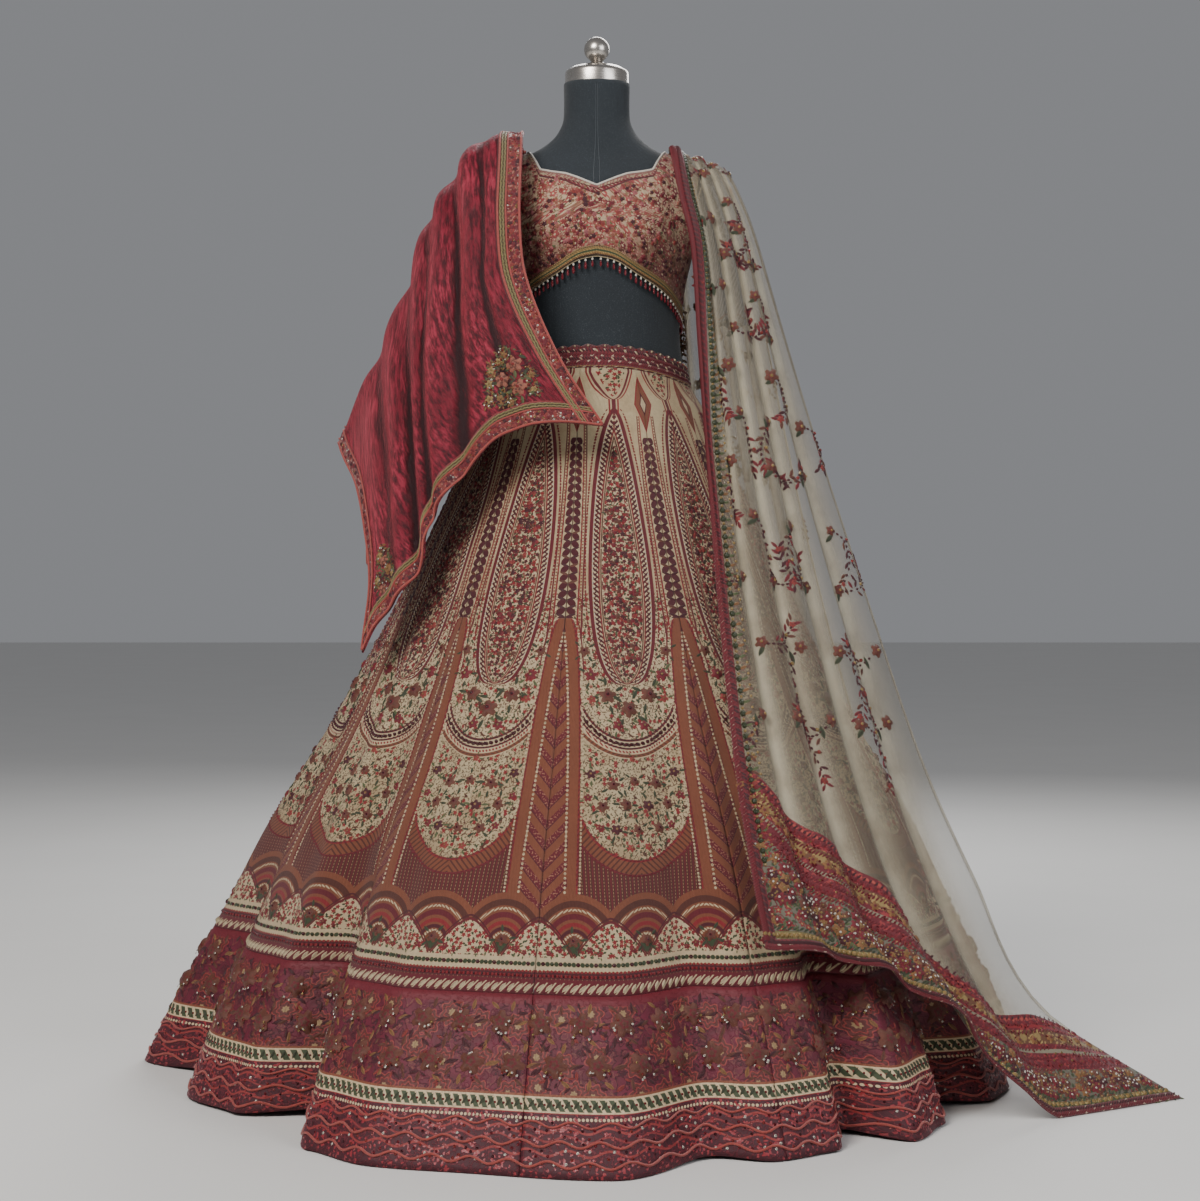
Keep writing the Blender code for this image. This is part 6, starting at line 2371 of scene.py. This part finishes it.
def shawl_material():
    """Crushed velvet: painted highlights in bright streaks where the pile lies flat, fine creases painted
    dark as painted shade, and near-black folds between them as painted shadow.
    """
    material, tree, shader = new_material("crushed_velvet", 0.62, Sheen_Weight=0.42, Sheen_Roughness=0.32)
    shader.inputs["Sheen Tint"].default_value = (0.95, 0.16, 0.20, 1.0)
    shader.inputs["Specular IOR Level"].default_value = 0.35
    place = uv_of(tree, "cloth")
    across, down, _ = apart(tree, uv_of(tree, "share"))
    x, y, _ = apart(tree, place)
    streaks = cloud(tree, together(tree, x + y * 0.10, y * 0.20), 150.0, 5.0, 0.68)
    soft = cloud(tree, together(tree, x, y * 0.5), 12.0, 2.0)
    wander = cloud(tree, together(tree, x * 0.6, y), 9.0, 2.0) - 0.5
    # Painted shadow: near-black colour along the folds of the velvet
    painted_fold_shadow = None
    for top, hem, width, _ in SHAWL_FOLDS:
        centre = down * (hem - top) + top + wander * 0.075
        off = (across - centre).size() / (down * (width * 0.55) + width * 0.30)
        shade = off.step(0.45, 1.25).flip()
        painted_fold_shadow = shade if painted_fold_shadow is None else painted_fold_shadow.either(shade)
    painted_fold_shadow = painted_fold_shadow.both(down.step(0.08, 0.30)).both(streaks.step(0.24, 0.42))
    # Painted highlight: the bright streaks are sheen painted into the colour
    light = streaks.step(0.46, 0.66) * soft.step(0.35, 0.62)
    # The fine creases are painted dark in their hollows as painted shade
    colour = layers(
        tree, blend(tree, streaks.step(0.34, 0.60), VELVET_CREASE_SHADE, VELVET_RED),
        (light, (0.36, 0.030, 0.058)),
        (painted_fold_shadow, (0.018, 0.002, 0.004)),
    )
    pile = cloud(tree, place, 1500.0, 1.0)
    feed(tree, shader.inputs["Base Color"], dim(tree, colour, pile * 0.4 + 0.80))
    feed(tree, shader.inputs["Roughness"], light * -0.16 + 0.50)
    raise_relief(tree, shader, streaks * 2.6 + painted_fold_shadow * -1.2 + pile * 0.12, 0.0030, 0.9)
    return material


# The worked end of the net climbs at its neck side: how far, and how soon it falls
NET_CURVE = (0.105, 0.085)


def net_holes(x, y, pitch):
    """The mesh's openings, one for each pitch in metres."""
    turns = 6.283 / pitch
    return ((x * turns).wave().size() * (y * turns).wave().size()).step(0.30, 0.62)


def net_material():
    """Sheer cream net, denser on the crests of its pleats and painted darker between them as painted shade,
    with a closely worked end.
    """
    material, tree, shader = new_material("cream_net", 0.70, Sheen_Weight=0.15, Sheen_Roughness=0.4)
    place = uv_of(tree, "cloth")
    side, end, _ = apart(tree, uv_of(tree, "hem"))
    across, _, _ = apart(tree, uv_of(tree, "share"))
    x, y, _ = apart(tree, place)
    holes = net_holes(x, y, 0.0017)
    small = placed(tree, FLOWERS, Vector=place, Scale=78.0, Spread=0.8, Size=0.44)
    stitch = placed(tree, THREAD, Vector=place, Pitch=0.0010)
    wash = cloud(tree, place, 16.0, 3.0)
    _, _, glint = cells(tree, place, 330.0)
    sequin = glint.step(0.72, 0.74)
    crest = (across * NET["pleats"]).beat(1.0).size()
    fold = (crest * 2.0).step(0.15, 0.95)
    curve = end - (side * (-1.0 / NET_CURVE[1])).math("EXPONENT") * NET_CURVE[0]
    curve = curve + (side * 21.0).wave() * 0.006
    plain = blend(tree, wash.step(0.35, 0.7), (0.55, 0.49, 0.36), (0.40, 0.34, 0.24))
    # Painted shade: darker colour between the crests of the pleats
    plain = blend(tree, fold, (0.27, 0.23, 0.165), plain)
    garden = curve.step(0.084, 0.086).flip().both(end.step(0.026, 0.028))
    bands = curve.between(0.084, 0.178)
    colour = layers(
        tree, plain,
        (garden, (0.145, 0.130, 0.095)),
        (garden.both(small["Stem"]), WINE),
        (garden.both(small["Leaf"]), BOTTLE),
        (garden.both(small["Petal"]), (0.20, 0.018, 0.020)),
        (garden.both(small["Petal"]).both(small["Kind"].step(0.5, 0.52)), (0.13, 0.05, 0.025)),
        (garden.both(small["Heart"]), (0.30, 0.20, 0.08)),
        (bands, WINE),
        (bands.both(sequin), (0.26, 0.030, 0.032)),
        (curve.between(0.112, 0.119), (0.22, 0.19, 0.13)),
        (curve.between(0.128, 0.152), (0.120, 0.046, 0.020)),
        (curve.between(0.128, 0.152).both(sequin), (0.34, 0.22, 0.08)),
        (dots(curve - 0.140, side, 0.026, 0.0075), (0.26, 0.17, 0.06)),
        (curve.line(0.158, 0.0024), SCARLET),
        (dots(curve - 0.170, side, 0.0085, 0.0032), (0.36, 0.060, 0.045)),
        (end.between(0.016, 0.027), (0.16, 0.13, 0.05)),
        (dots(end - 0.0215, side, 0.0090, 0.0034), (0.42, 0.32, 0.13)),
        (end.between(-0.02, 0.016), WINE),
    )
    feed(tree, shader.inputs["Base Color"], dim(tree, colour, stitch["Shade"] * 0.4 + 0.62))
    sprigs = garden.both(small["Petal"]).either(garden.both(small["Leaf"]))
    worked = bands.either(end.step(0.026, 0.028).flip()).either(sprigs)
    cover = (holes * -0.14) + (fold * 0.36 + 0.30)
    feed(tree, shader.inputs["Alpha"], cover.either(worked).either(garden * 0.90))
    raise_relief(tree, shader, worked + stitch["Height"] * 0.3 + sequin.both(bands) * 0.4, 0.0006, 0.8)
    return material


def sleeve_material():
    """Limp net coloured slate grey as painted shade, with tonal arcs."""
    material, tree, shader = new_material("grey_net_painted_shade", 0.80, Sheen_Weight=0.3)
    place = uv_of(tree, "cloth")
    x, y, _ = apart(tree, place)
    arc_x = x.beat(0.060) * 0.060
    arc_y = y.beat(0.048) * 0.048 + 0.024
    arcs = ((arc_x * arc_x) + (arc_y * arc_y)).math("SQRT").beat(0.0085)
    holes = net_holes(x, y, 0.0016)
    band = arcs.line(0.0, 0.17, 0.04)
    wash = cloud(tree, place, 30.0, 3.0)
    # Painted shade: the net's dark slate-grey ground stands for shade on the sleeves
    colour = blend(tree, band, (0.060, 0.066, 0.074), (0.125, 0.130, 0.138))
    feed(tree, shader.inputs["Base Color"], dim(tree, colour, wash * 0.5 + 0.75))
    feed(tree, shader.inputs["Alpha"], (holes * -0.28 + 0.92).either(band))
    raise_relief(tree, shader, band + holes * -0.3, 0.0005, 0.7)
    return material


def rope_material():
    material, tree, shader = new_material("rope_embroidery", 0.66, Sheen_Weight=0.2)
    place = uv_of(tree, "cloth")
    x, y, _ = apart(tree, place)
    colour, height = rope_colours(tree, y.beat(0.0088) * 0.0088, x, 0.0052, 0.0088)
    grain = placed(tree, THREAD, Vector=place, Pitch=0.0009)
    feed(tree, shader.inputs["Base Color"], dim(tree, colour, grain["Shade"]))
    raise_relief(tree, shader, height + grain["Height"] * 0.3, 0.0009, 0.9)
    return material


def braid_material():
    """Gold and green braid with dark lines."""
    material, tree, shader = new_material("gold_braid", 0.48, Sheen_Weight=0.1)
    place = uv_of(tree, "cloth")
    x, y, _ = apart(tree, place)
    grain = placed(tree, THREAD, Vector=place, Pitch=0.0009)
    slant = (x + y * 0.9).beat(0.0046)
    colour = layers(
        tree, (0.30, 0.17, 0.055),
        (slant.line(0.0, 0.22, 0.05), (0.50, 0.34, 0.13)),
        (y.line(0.0075, 0.0014), (0.07, 0.11, 0.045)),
        (y.line(0.0012, 0.0009), (0.045, 0.016, 0.014)),
        (y.line(0.0135, 0.0009), (0.045, 0.016, 0.014)),
    )
    feed(tree, shader.inputs["Base Color"], dim(tree, colour, grain["Shade"]))
    feed(tree, shader.inputs["Metallic"], slant.line(0.0, 0.22, 0.05) * 0.5)
    raise_relief(tree, shader, slant.line(0.0, 0.22, 0.05) + grain["Height"] * 0.4, 0.0006, 0.9)
    return material


def plain_thread(name, colour, roughness=0.6, pitch=0.0012):
    """Twisted thread of one colour."""
    material, tree, shader = new_material(name, roughness, Sheen_Weight=0.2)
    grain = placed(tree, THREAD, Vector=object_place(tree), Pitch=pitch)
    feed(tree, shader.inputs["Base Color"], dim(tree, rgb(tree, colour), grain["Shade"]))
    raise_relief(tree, shader, grain["Height"], 0.0004, 0.8)
    return material


def rgb(tree, colour):
    node = tree.nodes.new("ShaderNodeRGB")
    node.outputs[0].default_value = (*colour, 1.0)
    return node.outputs[0]


def make_drape(label, cloth, tables, size, folds, pleat, cloth_material, slot, wall):
    """Both stretches of a draped cloth. Returns their surfaces."""
    surfaces = {}
    for side, table, facing in (("front", tables[0], 1.0), ("back", tables[1], -1.0)):
        surface = drape_surface(table, cloth, facing, size, folds, pleat)
        surfaces[side] = surface
        item = sheet(label + "_cloth_" + side, surface, size, (0.0, 1.0, 0.0, 1.0), cloth_material, slot,
                     [label + "_" + side], wall, out=wall)
        across, down = item_places(size, span_places((0.0, 1.0, 0.0, 1.0)))
        last = surface.metres(across, np.ones(len(down)))[1]
        x, y = surface.metres(across, down)
        set_uv(item.data, "hem", np.stack([x, last - y], axis=1))
        set_uv(item.data, "share", np.stack([across, down], axis=1))
        "choli_" + side
    return surfaces


def border_of(surface, name, part, width, material, slot, nodes, out):
    """A strip of real width along an edge: inner, outer or hem."""
    def places(u, v):
        if part == "hem":
            return surface.inset(part, 0.002 + 0.996 * u, width * (1.0 - v))
        return surface.inset(part, v * 0.999, width * (u if part == "inner" else 1.0 - u))
    size = (surface.columns, 5) if part == "hem" else (8, surface.rows)
    item = sheet(name, surface, size, places, material, slot, nodes, TRIM_WALL, out=out)
    across, down = item_places(size, places)
    x, y = surface.metres(across, down)
    if part == "hem":
        _, end = surface.metres(across, np.ones(len(down)))
        pairs = np.stack([end - y, x], axis=1)
    elif part == "inner":
        pairs = np.stack([x, y], axis=1)
    else:
        side, _ = surface.metres(np.ones(len(down)), down)
        pairs = np.stack([side - x, y], axis=1)
    set_uv(item.data, "border", pairs)
    item.data.uv_layers["cloth"].active = True


def edge_path(surface, part, inset, out, count, swing=0.0, waves=0):
    """A path along a drape's edge, inset by real metres."""
    steps = np.linspace(0.0, 1.0, count)
    shift = inset + swing * np.sin(2.0 * math.pi * waves * steps)
    return surface.at(*surface.inset(part, 0.004 + 0.992 * steps, shift), out)


def make_shawl(velvet, border, coral, gold, thread, glass, shine):
    surfaces = make_drape("shawl", SHAWL, (SHAWL_FRONT, SHAWL_BACK), SHAWL_SIZE, SHAWL_FOLDS, 0.0, velvet,
                          "shawl_velvet", VELVET_WALL)
    lay = VELVET_WALL + LAY + TRIM_WALL
    for side, surface in surfaces.items():
        for part, share in (("inner", 0.999), ("outer", 0.62), ("hem", 0.92)):
            width = SHAWL["edge"] * share
            border_of(surface, "shawl_%s_band_%s" % (part, side), part, width, border, "cord_border",
                      ["shawl_%s_border_%s" % (part, side)], lay)
            for number, (inset, swing, radius, kind) in enumerate((
                (0.0018, 0.0, 0.0019, coral), (0.0225, 0.0, 0.0014, coral), (0.0262, 0.0006, 0.0012, gold),
                (0.0305, 0.0006, 0.0012, gold), (0.0340, 0.0, 0.0017, coral),
            )):
                if inset > width - 0.001:
                    continue
                path = edge_path(surface, part, inset, lay + radius * 0.5, 190, swing, 60)
                name = "shawl_%s_cord_%d_%s" % (part, number + 1, side)
                add_piece(name, cord_data(name, path, radius, 5), [kind], "cord_border")
        make_shawl_flowers(side, surface, thread, glass, shine, lay)


# Worked patches of the velvet: place across and down, size, thread, leaf
SHAWL_BLOOMS = (
    (0.240, 0.868, 0.027, SALMON, GREEN),
    (0.188, 0.842, 0.027, SALMON, GREEN),
    (0.192, 0.900, 0.027, SALMON, LEAF),
    (0.238, 0.818, 0.014, GOLD, LEAF),
    (0.268, 0.832, 0.013, GOLD, OCHRE),
    (0.212, 0.806, 0.013, OCHRE, LEAF),
    (0.284, 0.862, 0.014, GOLD, LEAF),
    (0.292, 0.900, 0.015, GOLD, OCHRE),
    (0.258, 0.912, 0.014, OCHRE, GREEN),
    (0.150, 0.874, 0.013, OCHRE, GREEN),
    (0.155, 0.912, 0.012, GOLD, GREEN),
    (0.225, 0.932, 0.013, OCHRE, GREEN),
    (0.880, 0.850, 0.018, SALMON, LEAF),
    (0.862, 0.890, 0.018, OCHRE, GREEN),
    (0.900, 0.815, 0.014, GOLD, LEAF),
    (0.885, 0.925, 0.016, SALMON, GREEN),
    (0.910, 0.880, 0.014, GOLD, LEAF),
    (0.840, 0.925, 0.012, GOLD, LEAF),
)


def make_shawl_flowers(side, surface, thread, glass, shine, lay):
    chance = random.Random(21)
    flowers, leaves, beads, sequins, stitches = (Stitches() for _ in range(5))
    out = VELVET_WALL + 0.0005
    for across, down, size, shade, leaf in SHAWL_BLOOMS:
        for _ in range(26):
            turn = any_turn(chance)
            reach = size * chance.uniform(0.3, 1.0) / 0.52
            stitches.add(surface, across + math.cos(turn) * reach, down + math.sin(turn) * reach,
                         chance.uniform(0.005, 0.009), any_turn(chance),
                         chance.choice((MAROON, OCHRE, BROWN, LEAF, MAROON)), out)
        for level in range(3 if shade == SALMON else 1):
            flowers.add(surface, across, down, size * (1.0 - level * 0.28), any_turn(chance),
                        (shade, BROWN, shade)[level], out + 0.0022 * level)
        heart = CORAL if shade == SALMON else GOLD
        beads.add(surface, across, down, size * 0.22, 0.0, heart, out + size * 0.22)
        for step in range(5):
            turn = step * 1.257 + chance.uniform(-0.3, 0.3)
            reach = size * 0.66 / 0.52
            leaves.add(surface, across + math.cos(turn) * reach, down + math.sin(turn) * reach,
                       size * 0.50, -turn, leaf, out + 0.0006)
        for _ in range(7):
            turn = any_turn(chance)
            reach = size * chance.uniform(0.2, 0.9) / 0.52
            sequins.add(surface, across + math.cos(turn) * reach, down + math.sin(turn) * reach, 0.0030,
                        0.0, chance.choice((GOLD, CORAL, PEARL)), out + 0.0016)
    for part, share in (("inner", 0.999), ("outer", 0.62), ("hem", 0.92)):
        for _ in range(420 if part != "outer" else 120):
            inset = chance.uniform(0.005, min(0.0205, SHAWL["edge"] * share - 0.003))
            place = chance.uniform(0.01, 0.98)
            spot = surface.spot(part, place, inset)
            kind = chance.random()
            if kind < 0.45:
                shade = chance.choice((PEARL, PINK, CORAL, GOLD))
                sequins.add(surface, *spot, 0.0036, 0.0, shade, lay + 0.0003)
            else:
                flowers.add(surface, *spot, chance.uniform(0.006, 0.010), any_turn(chance),
                            chance.choice((CORAL, RED, RED, MAROON)), lay)
    flowers.build("shawl_flowers_" + side, flower_shape(5), thread, "cord_border")
    leaves.build("shawl_leaves_" + side, leaf_shape(), thread, "cord_border")
    beads.build("shawl_beads_" + side, bead_shape(), glass, "cord_border")
    sequins.build("shawl_sequins_" + side, sequin_shape(), shine, "cord_border")
    stitches.build("shawl_stitches_" + side, stitch_shape(), thread, "cord_border")


def make_net(net, rope, thread, glass, shine):
    surfaces = make_drape("net", NET, (NET_FRONT, NET_BACK), NET_SIZE, (), NET_PLEAT, net, "cream_net",
                          NET_WALL)
    lay = NET_WALL + LAY + TRIM_WALL
    for side, surface in surfaces.items():
        for part, width in (("inner", 0.0165), ("hem", 0.016)):
            border_of(surface, "net_%s_band_%s" % (part, side), part, width, rope, "rope_embroidery",
                      ["net_%s_border_%s" % (part, side)], lay)
        make_net_flowers(side, surface, thread, glass, shine, lay)


def make_net_flowers(side, surface, thread, glass, shine, lay):
    chance = random.Random(31 if side == "front" else 32)
    flowers, leaves, beads, sequins, stitches = (Stitches() for _ in range(5))
    out = NET_WALL + 0.0004
    count = int(float(surface.down_m[-1, 0]) / 0.0105)
    widths = surface.across_m[:, -1]
    lengths = surface.down_m[-1]

    def width_at(down):
        return float(np.interp(down, np.linspace(0, 1, surface.rows + 1), widths))

    def length_at(across):
        return float(np.interp(across, np.linspace(0, 1, surface.columns + 1), lengths))

    for step in range(count):
        down = 0.004 + 0.985 * step / count
        for kind, depth, ahead, size, turn, shade, rise in (
            (stitches, 0.0045, 0.00, 0.0120, 0.75, RED, lay),
            (stitches, 0.0120, 0.00, 0.0120, -0.75, RED, lay),
            (stitches, 0.0045, 0.33, 0.0120, 0.75, RED, lay),
            (stitches, 0.0120, 0.33, 0.0120, -0.75, MAROON, lay),
            (stitches, 0.0045, 0.66, 0.0120, 0.75, RED, lay),
            (stitches, 0.0120, 0.66, 0.0120, -0.75, MAROON, lay),
            (beads, 0.0215, 0.00, 0.0090, 0.0, GREEN, out), (beads, 0.0215, 0.50, 0.0044, 0.0, GOLD, out),
            (leaves, 0.0285, 0.00, 0.0115, 0.4, OCHRE if step % 2 else LEAF, out),
            (beads, 0.0345, 0.50, 0.0042, 0.0, GOLD, out),
        ):
            if kind is stitches or down < 0.90:
                spot = surface.spot("inner", min(down + ahead / count, 1.0), depth)
                kind.add(surface, *spot, size, turn, shade, rise)
    paths = []
    down = 0.055
    row = 0
    while down < 0.80:
        wide = width_at(down)
        columns = max(int((wide - 0.03) / 0.082), 1)
        for step in range(columns):
            across = (0.045 + (wide - 0.060) * (step + (0.62 if row % 2 else 0.30)) / columns) / wide
            x, y = across * wide, down * length_at(across)
            heading = (0.55 if (row + step) % 2 else 2.55) + chance.uniform(-0.35, 0.35)
            bend = chance.choice((-1.0, 1.0)) * chance.uniform(0.10, 0.20)
            path = []
            for pace in range(12):
                share = y / length_at(across)
                place = (min(max(x / width_at(min(share, 1.0)), 0.03), 0.97), share)
                path.append(place)
                turn = -heading
                if pace in (3, 5, 7, 9, 10, 11):
                    for wing in (-0.8, 0.8):
                        beside = place[0] + math.cos(heading + wing) * 0.008 / wide
                        along = place[1] + math.sin(heading + wing) * 0.008 / 1.3
                        shade = chance.choice((RED, RED, MAROON, BROWN))
                        leaves.add(surface, beside, along, 0.0135, turn - wing, shade, out)
                if pace == 1:
                    beside = place[0] - 0.010 / wide
                    leaves.add(surface, beside, place[1] + 0.004, 0.0210, turn + 1.2, GREEN, out)
                if pace in (4, 8):
                    beside = place[0] + 0.007 / wide
                    shade = chance.choice((GOLD, CORAL))
                    beads.add(surface, beside, place[1] - 0.004, 0.0058, 0.0, shade, out)
                x += math.cos(heading) * 0.0078
                y += math.sin(heading) * 0.0078
                heading += bend
            paths.append(path)
            size = chance.uniform(0.018, 0.025)
            flowers.add(surface, *path[0], size, 0.4, BROWN, out)
            flowers.add(surface, *path[0], size * 0.62, 1.0, RED, out + 0.0014)
            beads.add(surface, *path[0], size * 0.24, 0.0, GOLD, out + 0.0034)
            flowers.add(surface, *path[-1], size * 0.5, 0.2, CORAL, out)
        down += 0.052
        row += 1
    for path in paths:
        for one, two in zip(path, path[1:]):
            middle = ((one[0] + two[0]) / 2, (one[1] + two[1]) / 2)
            run = ((two[0] - one[0]) * width_at(one[1]), (two[1] - one[1]) * length_at(one[0]))
            stitches.add(surface, *middle, 0.0098, -math.atan2(run[1], run[0]), MAROON, out, 0.55)

    def curve_at(across, inset):
        side_m = across * width_at(0.95)
        return inset + NET_CURVE[0] * math.exp(-side_m / NET_CURVE[1])
    for inset, size, pitch, shade, kind, curved in (
        (0.0040, 0.0088, 0.0042, RED, stitches, False), (0.0110, 0.0088, 0.0042, MAROON, stitches, False),
        (0.0215, 0.0072, 0.0090, GOLD, beads, False), (0.0310, 0.0095, 0.0110, GREEN, leaves, False),
        (0.0860, 0.0070, 0.0060, RED, stitches, True), (0.1080, 0.0070, 0.0060, RED, stitches, True),
        (0.0970, 0.0120, 0.0130, RED, flowers, True), (0.1240, 0.0076, 0.0065, RED, stitches, True),
        (0.1400, 0.0150, 0.0260, OCHRE, flowers, True), (0.1400, 0.0070, 0.0260, RED, flowers, True),
        (0.1540, 0.0076, 0.0065, RED, stitches, True), (0.1700, 0.0110, 0.0130, RED, flowers, True),
        (0.1790, 0.0090, 0.0100, MAROON, leaves, True),
    ):
        steps = int(float(widths[-1]) / pitch)
        for step in range(steps):
            across = (step + 0.5) / steps
            reach = curve_at(across, inset) if curved else inset
            spot = surface.spot("hem", across, reach)
            small = 0.0013 if size < 0.008 and kind is flowers else 0.0
            turn = any_turn(chance) if kind is flowers else 0.6
            kind.add(surface, *spot, size, turn, shade, lay if inset < 0.015 else out + small)
    for _ in range(460):
        across = chance.uniform(0.03, 0.985)
        top = curve_at(across, 0.076)
        if top < 0.045:
            continue
        reach = chance.uniform(0.038, top)
        spot = surface.spot("hem", across, reach)
        size = chance.uniform(0.010, 0.018)
        flowers.add(surface, *spot, size, any_turn(chance),
                    chance.choice((RED, MAROON, BROWN, OCHRE, RED)), out)
        beads.add(surface, *spot, size * 0.24, 0.0, chance.choice((GOLD, PEARL)), out + 0.0016)
        beside = across + 0.012 / float(widths[-1])
        leaves.add(surface, beside, spot[1] + 0.006, 0.0095, any_turn(chance),
                   chance.choice((GREEN, LEAF)), out)
    for _ in range(520):
        across = chance.uniform(0.02, 0.98)
        reach = curve_at(across, chance.uniform(0.088, 0.172))
        spot = surface.spot("hem", across, reach)
        sequins.add(surface, *spot, 0.0036, 0.0, chance.choice((GOLD, RED, CORAL, RED, PINK)), out + 0.0004)
    flowers.build("net_flowers_" + side, flower_shape(5), thread, "cream_net")
    leaves.build("net_leaves_" + side, leaf_shape(), thread, "cream_net")
    beads.build("net_beads_" + side, bead_shape(), glass, "beads")
    sequins.build("net_sequins_" + side, sequin_shape(), shine, "beads")
    stitches.build("net_rope_" + side, stitch_shape(), thread, "rope_embroidery")


# Floor, light and camera
CAMERA_PLACE = (0.005, -3.585, 0.762)
CAMERA_LENS = 69.9
CAMERA_PITCH = 0.82


def make_studio():
    bpy.ops.mesh.primitive_plane_add(size=40.0, location=(0.0, 0.0, 0.0))
    floor = bpy.context.object
    floor.name = "studio_floor"
    material, tree, shader = new_material("pale_floor", 0.85)
    mottle = cloud(tree, object_place(tree), 3.0, 2.0)
    feed(tree, shader.inputs["Base Color"], blend(tree, mottle, (0.70, 0.69, 0.67), (0.74, 0.73, 0.71)))
    floor.data.materials.append(material)
    world = bpy.data.worlds.new("studio")
    world.use_nodes = True
    world.node_tree.nodes["Background"].inputs[0].default_value = (0.93, 0.95, 1.0, 1.0)
    world.node_tree.nodes["Background"].inputs[1].default_value = 0.25
    bpy.context.scene.world = world
    for name, place, size, power, colour in (
        ("key", (-1.6, -3.0, 3.3), 1.6, 170.0, (1.0, 0.97, 0.93)),
        ("fill", (2.8, -2.6, 2.2), 2.2, 60.0, (0.95, 0.97, 1.0)),
        ("rim", (0.6, 3.0, 3.0), 2.0, 90.0, (1.0, 1.0, 1.0)),
    ):
        light = bpy.data.lights.new(name, "AREA")
        light.size = size
        light.energy = power
        light.color = colour
        lamp = bpy.data.objects.new(name, light)
        lamp.location = place
        aim = Vector((0.0, 0.0, 0.75)) - Vector(place)
        lamp.rotation_euler = aim.to_track_quat("-Z", "Y").to_euler()
        bpy.context.scene.collection.objects.link(lamp)
    lens = bpy.data.cameras.new("camera")
    lens.lens = CAMERA_LENS
    lens.sensor_width = 36.0
    camera = bpy.data.objects.new("camera", lens)
    camera.location = CAMERA_PLACE
    camera.rotation_euler = (math.radians(90.0 - CAMERA_PITCH), 0.0, 0.0)
    bpy.context.scene.collection.objects.link(camera)
    bpy.context.scene.camera = camera


# The whole set
def main():
    thread = thread_material("embroidery_thread", 0.58)
    shine = thread_material("sequins", 0.26, 0.65)
    glass = thread_material("beads", 0.18)
    coral = plain_thread("coral_cord", (0.40, 0.060, 0.045))
    gold = plain_thread("green_gold_cord", (0.26, 0.20, 0.07), 0.45)
    piping = plain_thread("white_piping", (0.68, 0.62, 0.54), 0.6, 0.0018)
    dark = plain_thread("slate_thread", (0.05, 0.06, 0.07), 0.8)
    rope = rope_material()
    make_studio()
    make_form(jersey_material(), steel_material(), dark)
    make_choli(choli_material(), braid_material(), piping, thread, glass)
    make_sleeves(sleeve_material(), glass, thread)
    make_waistband(rope, thread, glass)
    make_skirt()
    make_skirt_embroidery(thread, shine, glass)
    make_hem_cords(coral)
    make_shawl(shawl_material(), cord_border_material(), coral, gold, thread, glass, shine)
    make_net(net_material(), rope, thread, glass, shine)


main()
